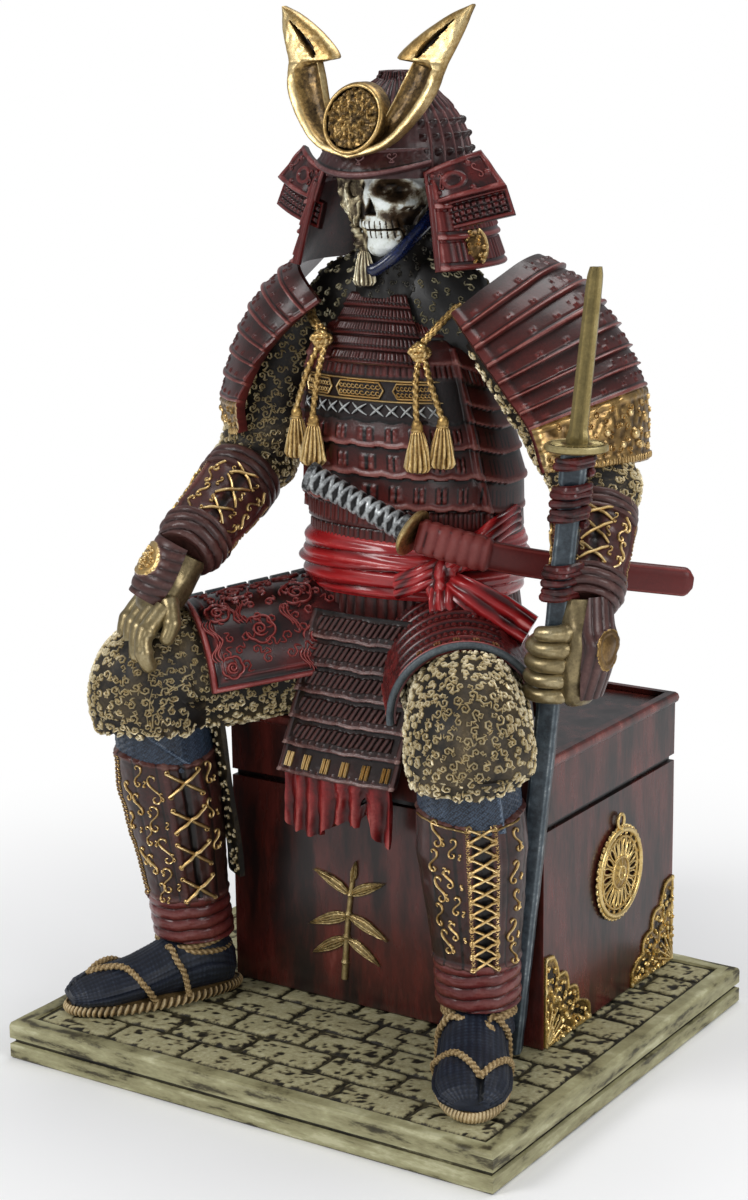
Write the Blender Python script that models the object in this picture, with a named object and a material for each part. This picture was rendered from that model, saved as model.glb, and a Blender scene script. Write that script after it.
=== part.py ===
"""Seated samurai statuette of cast resin: a stone-look plinth, a lidded chest and the figure on it.

Sizes below are millimetres and become metres where a mesh is made. The origin lies under the
middle of the plinth, the figure faces -Y and its own left hand is towards +X.
"""
from math import cos, pi, radians, sin

import bmesh
import bpy
from mathutils import Matrix, Vector

MM = 0.001
CLEARANCE = 0.3

# Plinth
PLINTH_WIDTH = 180.0
PLINTH_DEPTH = 164.0
PLINTH_HEIGHT = 12.7
PLINTH_ROUNDING = 1.6
PLINTH_GROOVE_DEPTH = 1.2
PLINTH_GROOVE_HEIGHT = 6.0
BORDER_WIDTH = 5.5
STONE_COURSE = 13.9
STONE_LENGTH = 29.0
STONE_JOINT = 1.0
STONE_RELIEF = 0.9

# Chest
CHEST_WIDTH = 117.0
CHEST_DEPTH = 88.5
CHEST_HEIGHT = 94.3
CHEST_OFFSET = 9.0
CHEST_APRON = 69.0
LID_HEIGHT = 22.4
LID_GROOVE = 1.4
RIM_HEIGHT = 3.2
RIM_OVERHANG = 0.9
TRAY_WALL = 3.0
TRAY_DEPTH = 2.0

# Chest fittings
MEDALLION_RADIUS = 15.5
MEDALLION_THICKNESS = 1.8
MEDALLION_SPOKES = 20
MEDALLION_SET_BACK = 48.0
MEDALLION_UP = 44.0
BRACKET_SIZE = 30.0
BRACKET_THICKNESS = 0.9
SPRIG_HEIGHT = 37.0
SPRIG_THICKNESS = 1.2
SPRIG_UP = 27.0
SPRIG_LEFT = -14.2

# Figure, measured from the middle of the chest's front edge and up from the rim of its lid
HEAD_UP = 161.0
HELMET_RADIUS = 21.8
HELMET_HEIGHT = 27.0
CREST_RISE = 43.0
CREST_SPREAD = 34.0
CREST_THICKNESS = 3.4
DISC_RADIUS = 10.5
KNEE_SPREAD = 58.0
KNEE_REACH = 29.0
KNEE_UP = 15.0
KNEE_RADIUS = 19.5
THIGH_RADIUS = 18.0
SHIN_RADIUS = 15.0
ANKLE_RADIUS = 10.0
ANKLE_UP = 27.0
FOOT_LENGTH = 60.0
SOLE_THICKNESS = 3.2
SOLE_WIDTH = 25.0
LAME_COUNT = 7
LAME_THICKNESS = 1.8
LAME_LIP = 0.9
CORD_RADIUS = 1.3
TASSEL_LENGTH = 14.0
APRON_ROWS = 6
APRON_WIDTH = 43.0
APRON_LENGTH = 53.0
PLATE_THICKNESS = 2.0
SASH_HEIGHT = 18.0
SASH_THICKNESS = 3.2

# Arms carried by the figure
HILT_LENGTH = 38.0
HILT_RADIUS = 3.6
KATANA_GUARD_RADIUS = 7.2
KATANA_GUARD_THICKNESS = 1.6
SCABBARD_HEIGHT = 9.0
SCABBARD_THICKNESS = 4.6
POLE_WIDTH = 6.6
POLE_SHAFT_LENGTH = 192.0
POLE_GUARD_RADIUS = 9.4
POLE_GUARD_THICKNESS = 2.4
POLE_BLADE_WIDTH = 5.2
POLE_BLADE_LENGTH = 50.0

CHEST_FRONT = -PLINTH_DEPTH / 2 + CHEST_APRON
SEAT_UP = PLINTH_HEIGHT + CHEST_HEIGHT
CHEST_LEFT = CHEST_OFFSET - CHEST_WIDTH / 2
CHEST_RIGHT = CHEST_OFFSET + CHEST_WIDTH / 2

for leftover in list(bpy.data.objects):
    bpy.data.objects.remove(leftover, do_unlink=True)

PARTS = bpy.data.collections.new("samurai_statuette")
CUTTERS = bpy.data.collections.new("cutters")
bpy.context.scene.collection.children.link(PARTS)
bpy.context.scene.collection.children.link(CUTTERS)


def finish(name, colour, roughness, metallic=0.0):
    """One painted or gilt finish, made once and shared by name."""
    material = bpy.data.materials.get(name) or bpy.data.materials.new(name)
    material.use_nodes = True
    shader = material.node_tree.nodes["Principled BSDF"]
    shader.inputs["Base Color"].default_value = (*colour, 1.0)
    shader.inputs["Roughness"].default_value = roughness
    shader.inputs["Metallic"].default_value = metallic
    return material


STONE = finish("khaki stone paint", (0.33, 0.30, 0.19), 0.75)
LACQUER = finish("oxblood lacquer", (0.13, 0.035, 0.03), 0.4)
ARMOUR = finish("red-brown armour lacquer", (0.10, 0.035, 0.035), 0.35)
PLATE_RED = finish("embossed red plate", (0.20, 0.03, 0.03), 0.35)
BROCADE = finish("black cloth with gilt scrolls", (0.16, 0.13, 0.08), 0.5, 0.3)
SASH_RED = finish("glossy red cloth", (0.33, 0.015, 0.02), 0.25)
GILT = finish("antique gilt", (0.55, 0.38, 0.12), 0.35, 0.8)
BONE = finish("bone white", (0.72, 0.72, 0.66), 0.4)
STEEL_WRAP = finish("black and silver wrap", (0.25, 0.26, 0.27), 0.4, 0.5)
POLE_BLUE = finish("blue-grey shaft", (0.06, 0.08, 0.10), 0.4)


def fig(x, y, h):
    """A place on the figure: x to its left, y back from the chest's front, h up from the lid."""
    return Vector((x, CHEST_FRONT + y, SEAT_UP + h))


def make_object(name, points, faces, material, collection=PARTS):
    """A mesh from points in millimetres, with its faces turned outwards."""
    bm = bmesh.new()
    corners = [bm.verts.new(Vector(p) * MM) for p in points]
    for face in faces:
        bm.faces.new([corners[i] for i in face])
    bmesh.ops.remove_doubles(bm, verts=bm.verts, dist=0.00001)
    bmesh.ops.recalc_face_normals(bm, faces=bm.faces)
    mesh = bpy.data.meshes.new(name)
    bm.to_mesh(mesh)
    bm.free()
    mesh.materials.append(material)
    made = bpy.data.objects.new(name, mesh)
    collection.objects.link(made)
    return made


def loft(name, rings, material, collection=PARTS):
    """A closed solid through rings that all have as many points, capped at both ends."""
    count = len(rings[0])
    points = [p for ring in rings for p in ring]
    faces = [tuple(range(count)), tuple(range(len(points) - count, len(points)))]
    for row in range(len(rings) - 1):
        for i in range(count):
            near = row * count + i
            beside = row * count + (i + 1) % count
            faces.append((near, beside, beside + count, near + count))
    return make_object(name, points, faces, material, collection)


def oval(centre, across, along, a, b, sides, power=2.0):
    """Points round a rounded section; a power above 2 makes it squarer."""
    ring = []
    for i in range(sides):
        turn = 2 * pi * i / sides
        c, s = cos(turn), sin(turn)
        reach_a = a * (abs(c) ** (2 / power)) * (1 if c >= 0 else -1)
        reach_b = b * (abs(s) ** (2 / power)) * (1 if s >= 0 else -1)
        ring.append(centre + across * reach_a + along * reach_b)
    return ring


def limb(name, stations, sides, material, side=Vector((0, 0, 1)), power=2.0, collection=PARTS):
    """A solid along a bent line: each station is a centre and its two half widths."""
    centres = [Vector(s[0]) for s in stations]
    rings = []
    for i, (centre, a, b) in enumerate(stations):
        ahead = centres[min(i + 1, len(centres) - 1)] - centres[max(i - 1, 0)]
        along = side.cross(ahead).normalized()
        across = ahead.cross(along).normalized()
        rings.append(oval(Vector(centre), across, along, a, b, sides, power))
    return loft(name, rings, material, collection)


def blend(points, t):
    """A smooth line through points, read at t from 0 to 1."""
    points = [Vector(p) for p in points]
    spans = len(points) - 1
    place = min(max(t, 0.0), 1.0) * spans
    i = min(int(place), spans - 1)
    f = place - i
    p1, p2 = points[i], points[i + 1]
    p0 = points[i - 1] if i > 0 else p1 * 2 - p2
    p3 = points[i + 2] if i + 2 <= spans else p2 * 2 - p1
    return 0.5 * (2 * p1 + (p2 - p0) * f + (2 * p0 - 5 * p1 + 4 * p2 - p3) * f * f
                  + (3 * p1 - p0 - 3 * p2 + p3) * f ** 3)


def lames(name, surface, edges, columns, thickness, lip, material, start=0.0, end=1.0):
    """Overlapping rows on a curved surface(u, v): every row's lower edge stands proud by a lip.

    edges lists the rows' limits down the surface, and the inner face stays smooth.
    """
    def normal(u, v):
        step = 0.01
        across = surface(min(u + step, 1), v) - surface(max(u - step, 0), v)
        down = surface(u, min(v + step, 1)) - surface(u, max(v - step, 0))
        return down.cross(across).normalized()

    rings = []
    for column in range(columns + 1):
        u = start + (end - start) * column / columns
        ring = []
        for top, bottom in zip(edges, edges[1:]):
            ring.append(surface(u, top))
            ring.append(surface(u, bottom) + normal(u, bottom) * lip)
        for level in reversed(edges):
            ring.append(surface(u, level) - normal(u, level) * thickness)
        rings.append(ring)
    return loft(name, rings, material)


def box(name, low, high, material, collection=PARTS):
    """A cube primitive stretched between two corners."""
    bm = bmesh.new()
    bmesh.ops.create_cube(bm, size=1.0)
    low, high = Vector(low), Vector(high)
    size = high - low
    place = Matrix.Translation((low + high) / 2 * MM) @ Matrix.Diagonal((*(size * MM), 1.0))
    bmesh.ops.transform(bm, matrix=place, verts=bm.verts)
    mesh = bpy.data.meshes.new(name)
    bm.to_mesh(mesh)
    bm.free()
    mesh.materials.append(material)
    made = bpy.data.objects.new(name, mesh)
    collection.objects.link(made)
    return made


def apply_modifiers(target):
    """Keep what the modifiers make as the object's own mesh."""
    view = bpy.context.evaluated_depsgraph_get()
    mesh = bpy.data.meshes.new_from_object(target.evaluated_get(view))
    bm = bmesh.new()
    bm.from_mesh(mesh)
    bmesh.ops.remove_doubles(bm, verts=bm.verts, dist=0.000001)
    bmesh.ops.dissolve_degenerate(bm, edges=bm.edges, dist=0.000001)
    bm.to_mesh(mesh)
    bm.free()
    target.modifiers.clear()
    target.data = mesh


def combine(target, other, operation, solver="EXACT"):
    """Join or cut two closed solids; the second one is used up."""
    modifier = target.modifiers.new("combine", "BOOLEAN")
    modifier.operation = operation
    modifier.solver = solver
    modifier.object = other
    bpy.context.view_layer.update()
    apply_modifiers(target)
    bpy.data.objects.remove(other, do_unlink=True)


def join(target, *others):
    for other in others:
        combine(target, other, "UNION")
    return target


def keep_main_body(target):
    """Leave only the largest of the bodies that a trim leaves behind."""
    bm = bmesh.new()
    bm.from_mesh(target.data)
    bmesh.ops.remove_doubles(bm, verts=bm.verts, dist=0.000001)
    bm.faces.ensure_lookup_table()
    waiting = set(bm.faces)
    bodies = []
    while waiting:
        first = waiting.pop()
        body = {first}
        edge_of_body = [first]
        while edge_of_body:
            face = edge_of_body.pop()
            for edge in face.edges:
                for beside in edge.link_faces:
                    if beside in waiting:
                        waiting.remove(beside)
                        body.add(beside)
                        edge_of_body.append(beside)
        bodies.append(body)
    bodies.sort(key=lambda body: sum(face.calc_area() for face in body))
    spare = [face for body in bodies[:-1] for face in body]
    bmesh.ops.delete(bm, geom=spare, context="FACES")
    loose = [edge for edge in bm.edges if not edge.link_faces]
    bmesh.ops.delete(bm, geom=loose, context="EDGES")
    bm.to_mesh(target.data)
    bm.free()


def trim(target, *neighbours, gap=CLEARANCE):
    """Cut a piece back until it clears each neighbour by the gap.

    The grown copies nearly touch themselves in places, where the exact solver loses the piece.
    """
    for neighbour in neighbours:
        grown = neighbour.copy()
        grown.data = neighbour.data.copy()
        CUTTERS.objects.link(grown)
        grown.hide_render = True
        grown.display_type = "WIRE"
        bm = bmesh.new()
        bm.from_mesh(grown.data)
        bm.normal_update()
        moves = [(v, v.normal * (gap * MM * min(v.calc_shell_factor(), 1.5))) for v in bm.verts]
        for vertex, move in moves:
            vertex.co += move
        bm.to_mesh(grown.data)
        bm.free()
        combine(target, grown, "DIFFERENCE", "MANIFOLD")
    keep_main_body(target)
    return target


def extrude_outline(name, outline, thickness, place, material, collection=PARTS, holes=()):
    """A flat 2D outline given thickness; place maps its x and y into the model."""
    curve = bpy.data.curves.new(name, "CURVE")
    curve.dimensions = "2D"
    curve.fill_mode = "BOTH"
    curve.extrude = thickness * MM / 2
    for points in (outline, *holes):
        spline = curve.splines.new("POLY")
        spline.points.add(len(points) - 1)
        for point, (x, y) in zip(spline.points, points):
            point.co = (x * MM, y * MM, 0.0, 1.0)
        spline.use_cyclic_u = True
    drawn = bpy.data.objects.new(name + "_outline", curve)
    bpy.context.scene.collection.objects.link(drawn)
    bpy.context.view_layer.update()
    view = bpy.context.evaluated_depsgraph_get()
    mesh = bpy.data.meshes.new_from_object(drawn.evaluated_get(view))
    bm = bmesh.new()
    bm.from_mesh(mesh)
    bmesh.ops.remove_doubles(bm, verts=bm.verts, dist=0.00001)
    bmesh.ops.transform(bm, matrix=place, verts=bm.verts)
    bmesh.ops.recalc_face_normals(bm, faces=bm.faces)
    bm.to_mesh(mesh)
    bm.free()
    mesh.materials.clear()
    mesh.materials.append(material)
    made = bpy.data.objects.new(name, mesh)
    collection.objects.link(made)
    bpy.data.objects.remove(drawn, do_unlink=True)
    return made


def stone_plinth():
    """Slab with a groove round its edge and raised paving stones inside a plain border."""
    half_w, half_d = PLINTH_WIDTH / 2, PLINTH_DEPTH / 2
    bed = PLINTH_HEIGHT - STONE_RELIEF
    profile = [
        (0.0, 0.0), (0.0, PLINTH_GROOVE_HEIGHT - 0.8), (PLINTH_GROOVE_DEPTH, PLINTH_GROOVE_HEIGHT),
        (0.0, PLINTH_GROOVE_HEIGHT + 0.8), (0.0, PLINTH_HEIGHT - PLINTH_ROUNDING),
        (PLINTH_ROUNDING, PLINTH_HEIGHT), (BORDER_WIDTH, PLINTH_HEIGHT), (BORDER_WIDTH + 0.5, bed),
    ]
    rings = []
    for inset, z in profile:
        w, d = half_w - inset, half_d - inset
        rings.append([Vector(p) for p in ((-w, -d, z), (w, -d, z), (w, d, z), (-w, d, z))])
    plinth = loft("stone_plinth", rings, STONE)
    inner_w, inner_d = half_w - BORDER_WIDTH - STONE_JOINT, half_d - BORDER_WIDTH - STONE_JOINT
    courses = max(1, round(2 * inner_d / STONE_COURSE))
    per_course = max(1, round(2 * inner_w / STONE_LENGTH))
    course, length = 2 * inner_d / courses, 2 * inner_w / per_course
    stones = []
    for row in range(courses):
        joints = [-inner_w + length * (i + 0.5 * (row % 2)) for i in range(per_course + 1)]
        joints = [-inner_w] + [x for x in joints if abs(x) < inner_w - length / 4] + [inner_w]
        low_y = -inner_d + course * row
        for west, east in zip(joints, joints[1:]):
            stones.append(box("stone", (west + STONE_JOINT / 2, low_y + STONE_JOINT / 2, bed - 0.6),
                              (east - STONE_JOINT / 2, low_y + course - STONE_JOINT / 2, PLINTH_HEIGHT),
                              STONE, CUTTERS))
    paving = stones[0]
    paving.data = merged_mesh(stones)
    for stone in stones[1:]:
        bpy.data.objects.remove(stone, do_unlink=True)
    return join(plinth, paving)


def merged_mesh(objects):
    """One mesh that holds several objects' separate solids."""
    bm = bmesh.new()
    for item in objects:
        bm.from_mesh(item.data)
    mesh = bpy.data.meshes.new("merged")
    bm.to_mesh(mesh)
    bm.free()
    return mesh


def chest():
    """Moulded box with a groove where its lid would part, a rounded rim and a sunk tray on top."""
    base = PLINTH_HEIGHT + CLEARANCE
    groove = SEAT_UP - LID_HEIGHT
    tray = SEAT_UP - TRAY_DEPTH
    profile = [
        (0.0, base), (0.0, groove - LID_GROOVE / 2), (LID_GROOVE, groove - LID_GROOVE / 4),
        (LID_GROOVE, groove + LID_GROOVE / 4), (0.0, groove + LID_GROOVE / 2),
        (0.0, SEAT_UP - RIM_HEIGHT), (-RIM_OVERHANG, SEAT_UP - RIM_HEIGHT + RIM_OVERHANG),
        (-RIM_OVERHANG, SEAT_UP - RIM_OVERHANG), (0.0, SEAT_UP),
        (TRAY_WALL - RIM_OVERHANG, SEAT_UP), (TRAY_WALL, tray),
    ]
    back = CHEST_FRONT + CHEST_DEPTH
    rings = []
    for inset, z in profile:
        left, right = CHEST_LEFT + inset, CHEST_RIGHT - inset
        front, rear = CHEST_FRONT + inset, back - inset
        rings.append([Vector(p) for p in ((left, front, z), (right, front, z), (right, rear, z),
                                          (left, rear, z))])
    return loft("chest", rings, LACQUER)


def facing(origin, right, up):
    """A frame whose x and y lie in a face, for flat outlines."""
    right, up = Vector(right), Vector(up)
    out = right.cross(up)
    place = Matrix((right, up, out)).transposed().to_4x4()
    place.translation = Vector(origin) * MM
    return place


def chest_medallion():
    """Openwork metal charm with a bail loop: two rings of spokes round a chrysanthemum boss."""
    seat_x = CHEST_RIGHT + CLEARANCE + MEDALLION_THICKNESS / 2
    place = facing((seat_x, CHEST_FRONT + MEDALLION_SET_BACK, PLINTH_HEIGHT + MEDALLION_UP),
                   (0, 1, 0), (0, 0, 1))
    round_points = [(MEDALLION_RADIUS * cos(2 * pi * i / 30), MEDALLION_RADIUS * sin(2 * pi * i / 30))
                    for i in range(30)]
    slots = []
    for inner, outer in ((0.42, 0.6), (0.68, 0.88)):
        for i in range(0, MEDALLION_SPOKES, 2):
            turn = 2 * pi * i / MEDALLION_SPOKES
            half = 0.6 * pi / MEDALLION_SPOKES * 1.2
            slots.append([(r * MEDALLION_RADIUS * cos(turn + s), r * MEDALLION_RADIUS * sin(turn + s))
                          for r, s in ((inner, -half), (outer, -half), (outer, half), (inner, half))])
    disc = extrude_outline("chest_medallion", round_points, MEDALLION_THICKNESS, place, GILT,
                           holes=slots)
    boss = [(MEDALLION_THICKNESS * 0.4, 0.38), (MEDALLION_THICKNESS * 0.8, 0.3),
            (MEDALLION_THICKNESS * 1.1, 0.12)]
    rings = [[Vector((seat_x + out, CHEST_FRONT + MEDALLION_SET_BACK
                      + MEDALLION_RADIUS * share * cos(2 * pi * i / 12),
                      PLINTH_HEIGHT + MEDALLION_UP + MEDALLION_RADIUS * share * sin(2 * pi * i / 12)))
              for i in range(12)] for out, share in boss]
    bail_up = PLINTH_HEIGHT + MEDALLION_UP + MEDALLION_RADIUS + 0.6
    bail = limb("bail", [((seat_x, CHEST_FRONT + MEDALLION_SET_BACK + 2.4 * cos(pi * i / 6),
                           bail_up - 1.0 + 2.4 * sin(pi * i / 6)), 0.7, 0.7) for i in range(7)],
                6, GILT, side=Vector((1, 0, 0)), collection=CUTTERS)
    return join(disc, loft("boss", rings, GILT, CUTTERS), bail)


def corner_bracket(name, corner_y, direction):
    """Stamped filigree corner with a stepped, scalloped edge and curled piercings."""
    size = BRACKET_SIZE
    place = facing((CHEST_RIGHT + CLEARANCE + BRACKET_THICKNESS / 2, corner_y,
                    PLINTH_HEIGHT + CLEARANCE), (0, 1, 0), (0, 0, 1))
    lobes = [(0.16, 1.0), (0.24, 0.93), (0.22, 0.82), (0.36, 0.76), (0.42, 0.66), (0.4, 0.55),
             (0.56, 0.5), (0.62, 0.4), (0.6, 0.32), (0.78, 0.28), (0.86, 0.2), (0.98, 0.16),
             (1.0, 0.06), (0.98, 0.0)]
    outline = [(0.0, 0.0), (0.0, 0.97), (0.07, 1.0)] + lobes
    outline = [(x * size * direction, y * size) for x, y in outline]
    holes = []
    for x, y, a, b in ((0.13, 0.2, 0.05, 0.1), (0.13, 0.5, 0.05, 0.12), (0.33, 0.14, 0.09, 0.05),
                       (0.6, 0.13, 0.12, 0.05), (0.3, 0.4, 0.06, 0.09), (0.11, 0.8, 0.04, 0.08)):
        holes.append([((x + a * cos(2 * pi * i / 8)) * size * direction,
                       (y + b * sin(2 * pi * i / 8)) * size) for i in range(8)])
    return extrude_outline(name, outline, BRACKET_THICKNESS, place, GILT, holes=holes)


def chest_emblem():
    """Gilt bamboo sprig in low relief: two jointed canes and their leaves."""
    place = facing((SPRIG_LEFT + SPRIG_HEIGHT * 0.25, CHEST_FRONT - CLEARANCE - SPRIG_THICKNESS / 2,
                    PLINTH_HEIGHT + SPRIG_UP), (1, 0, 0), (0, 0, 1))
    stem = [(-0.06, -0.5), (0.0, -0.5), (0.06, 0.0), (0.09, 0.46), (0.05, 0.46), (0.01, 0.0)]
    pieces = [stem]
    for root, turn, length, width in (((0.05, 0.3), 28, 0.4, 0.09), ((0.04, 0.3), 152, 0.42, 0.09),
                                      ((0.03, 0.1), -18, 0.42, 0.1), ((0.03, 0.1), 196, 0.44, 0.1),
                                      ((0.07, 0.42), 78, 0.2, 0.06), ((0.0, -0.12), 205, 0.4, 0.1),
                                      ((0.02, -0.12), -25, 0.36, 0.09)):
        c, s = cos(radians(turn)), sin(radians(turn))
        leaf = [(-0.02, -0.012), (0.3 * length, -width / 2), (0.6 * length, -width * 0.42),
                (length, 0.0), (0.6 * length, width * 0.42), (0.3 * length, width / 2), (-0.02, 0.012)]
        pieces.append([(root[0] + x * c - y * s, root[1] + x * s + y * c) for x, y in leaf])
    made = []
    for i, piece in enumerate(pieces):
        thickness = SPRIG_THICKNESS - 0.07 * i
        leaf_place = place @ Matrix.Translation((0, 0, 0.004 * i * MM))
        made.append(extrude_outline("chest_emblem" if i == 0 else "leaf",
                                    [(x * SPRIG_HEIGHT, y * SPRIG_HEIGHT) for x, y in piece],
                                    thickness, leaf_place, GILT, PARTS if i == 0 else CUTTERS))
    return join(made[0], *made[1:])


# The body's sections: height above the lid, middle x and y, half width, half depth
BODY = [
    (-TRAY_DEPTH + CLEARANCE, 2.0, 36.0, 33.0, 27.0), (8.0, 2.0, 35.0, 36.0, 29.5),
    (22.0, 2.0, 32.0, 36.0, 28.5), (41.0, 2.5, 31.0, 34.0, 26.0), (59.0, 3.0, 31.0, 34.0, 25.5),
    (78.0, 3.0, 31.0, 35.5, 26.0), (93.0, 1.5, 29.5, 35.0, 24.0), (108.0, 0.0, 28.5, 32.0, 20.5),
    (119.0, 0.0, 27.5, 28.0, 18.0), (127.0, 0.0, 26.5, 19.0, 12.5), (137.0, 0.0, 25.5, 11.0, 8.5),
]
BODY_ROWS = [-TRAY_DEPTH + CLEARANCE, 8.0, 22.0, 41.0, 52.0, 59.0, 66.0, 72.5, 78.0, 83.5, 90.0,
             97.0, 103.0, 111.0, 119.0, 127.0, 137.0]
BODY_POWER = 2.3


def body_at(height):
    """Middle x, middle y, half width and half depth of the body at a height above the lid."""
    for low, high in zip(BODY, BODY[1:]):
        if height <= high[0]:
            share = max(0.0, (height - low[0]) / (high[0] - low[0]))
            share = share * share * (3 - 2 * share)
            return [a + (b - a) * share for a, b in zip(low[1:], high[1:])]
    return list(BODY[-1][1:])


def on_body(turn, height, out=0.0):
    """A place on the body's skin: turn is 0 at the front and 90 at the figure's left."""
    x, y, wide, deep = body_at(height)
    c, s = cos(radians(turn)), sin(radians(turn))
    across = (abs(s) ** (2 / BODY_POWER)) * (1 if s >= 0 else -1)
    ahead = (abs(c) ** (2 / BODY_POWER)) * (1 if c >= 0 else -1)
    return fig(x + (wide + out) * across, y - (deep + out) * ahead, height)


def torso_armour():
    """Cuirass of lacquered rows over the hips, with the neck above it."""
    sides = 16
    rings = []
    for low, high in zip(BODY_ROWS, BODY_ROWS[1:]):
        lip = LAME_LIP if high > 22.0 and high < 120.0 else 0.0
        rings.append([on_body(360 * i / sides, low, lip) for i in range(sides)])
        rings.append([on_body(360 * i / sides, high) for i in range(sides)])
    return loft("torso_armour", rings, ARMOUR)


def throat_guard():
    """Bib of five lacquered rows that hangs from the chin over the cuirass."""
    def surface(u, v):
        x = (2 * u - 1) * (9.0 + 8.5 * v)
        return fig(x, 13.6 - 8.0 * v + 0.02 * x * x, 136.0 - 21.0 * v)
    return lames("throat_guard", surface, [i / 5 for i in range(6)], 8, LAME_THICKNESS, 0.7, ARMOUR)


def waist_sash():
    """Wide cloth sash wound twice round the waist, knotted in front with two short tails."""
    sides = 16
    low, high = 41.5, 41.5 + SASH_HEIGHT
    rings = []
    for share, out in ((0.0, 0.4), (0.2, 1.0), (0.5, 0.75), (0.8, 1.0), (1.0, 0.35)):
        height = low + (high - low) * share
        rings.append([on_body(360 * i / sides, height, SASH_THICKNESS * out) for i in range(sides)])
    sash = loft("waist_sash", rings, SASH_RED)
    knot_at = on_body(38, 50.0, SASH_THICKNESS + 1.0)
    knot = limb("knot", [
        (knot_at + Vector((-1, 1, 8)), 3.2, 3.6), (knot_at + Vector((0, -1, 4)), 5.0, 5.6),
        (knot_at + Vector((0, -1.5, 0)), 4.0, 4.4), (knot_at + Vector((0, -1, -4)), 5.0, 5.6),
        (knot_at + Vector((1, 1, -8)), 3.4, 3.8)],
        10, SASH_RED, side=Vector((0, 1, 0)), collection=CUTTERS)
    tails = []
    for end, wide in ((Vector((9.0, -4.0, -21.0)), 5.0), (Vector((29.0, 3.0, -12.0)), 5.4)):
        tails.append(limb("tail", [
            (knot_at, 2.2, 3.0), (knot_at + end * 0.35, 2.4, wide * 0.8),
            (knot_at + end * 0.75, 1.9, wide), (knot_at + end, 1.3, wide * 0.9)],
            8, SASH_RED, side=Vector((0, 1, 0)), collection=CUTTERS))
    return join(sash, knot, *tails)


# Legs: the figure's right leg has side -1 and its left leg +1
def leg_points(side):
    hip = fig(2 + side * 17.0, 28.0, 22.0)
    knee = fig(side * KNEE_SPREAD, -KNEE_REACH, KNEE_UP)
    ankle = Vector((side * (KNEE_SPREAD - 3.5), CHEST_FRONT - 17.5, PLINTH_HEIGHT + ANKLE_UP))
    return hip, knee, ankle


def leg(name, side):
    """Wide brocade trousers over the knee, a knee band, a lacquered shin guard and the sock."""
    hip, knee, ankle = leg_points(side)
    trousers = limb(name, [
        (hip, THIGH_RADIUS + 2.0, THIGH_RADIUS + 3.0),
        (hip.lerp(knee, 0.3), THIGH_RADIUS + 1.5, THIGH_RADIUS + 2.0),
        (hip.lerp(knee, 0.7), THIGH_RADIUS + 1.0, THIGH_RADIUS),
        (knee + Vector((-side * 4, 8, 2)), KNEE_RADIUS, THIGH_RADIUS),
        (knee + Vector((side * 1, -1, -2)), KNEE_RADIUS, THIGH_RADIUS),
        (knee + Vector((side * 3, -9, -6)), KNEE_RADIUS * 0.72, THIGH_RADIUS * 0.62),
        (knee + Vector((side * 3.5, -13, -8)), KNEE_RADIUS * 0.35, THIGH_RADIUS * 0.3)],
        14, BROCADE)
    drop = ankle - knee
    hem = limb("hem", [
        (knee + Vector((0, 2, 6)), KNEE_RADIUS - 2, KNEE_RADIUS - 3),
        (knee + Vector((0, 0, -3)), KNEE_RADIUS + 1, KNEE_RADIUS - 1),
        (knee + Vector((0, 0, -10)), KNEE_RADIUS + 0.5, KNEE_RADIUS - 1),
        (knee + Vector((0, 0, -15)), KNEE_RADIUS - 2.5, KNEE_RADIUS - 4)],
        14, BROCADE, side=Vector((0, 1, 0)), collection=CUTTERS)
    shin = limb("shin", [
        (knee + drop * 0.1, SHIN_RADIUS - 1, SHIN_RADIUS - 1),
        (knee + drop * 0.29, SHIN_RADIUS + 0.4, SHIN_RADIUS),
        (knee + drop * 0.31, SHIN_RADIUS + 1.6, SHIN_RADIUS + 1.2),
        (knee + drop * 0.45, SHIN_RADIUS + 1.0, SHIN_RADIUS + 1.2),
        (knee + drop * 0.88, ANKLE_RADIUS + 2.0, ANKLE_RADIUS + 2.2),
        (knee + drop * 0.9, ANKLE_RADIUS + 3.0, ANKLE_RADIUS + 3.0),
        (knee + drop * 1.06, ANKLE_RADIUS + 2.2, ANKLE_RADIUS + 2.2),
        (knee + drop * 1.08, ANKLE_RADIUS - 0.5, ANKLE_RADIUS - 0.5),
        (knee + drop * 1.22, ANKLE_RADIUS - 0.5, ANKLE_RADIUS)],
        12, BROCADE, side=Vector((0, 1, 0)), collection=CUTTERS)
    return join(trousers, hem, shin)


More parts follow.
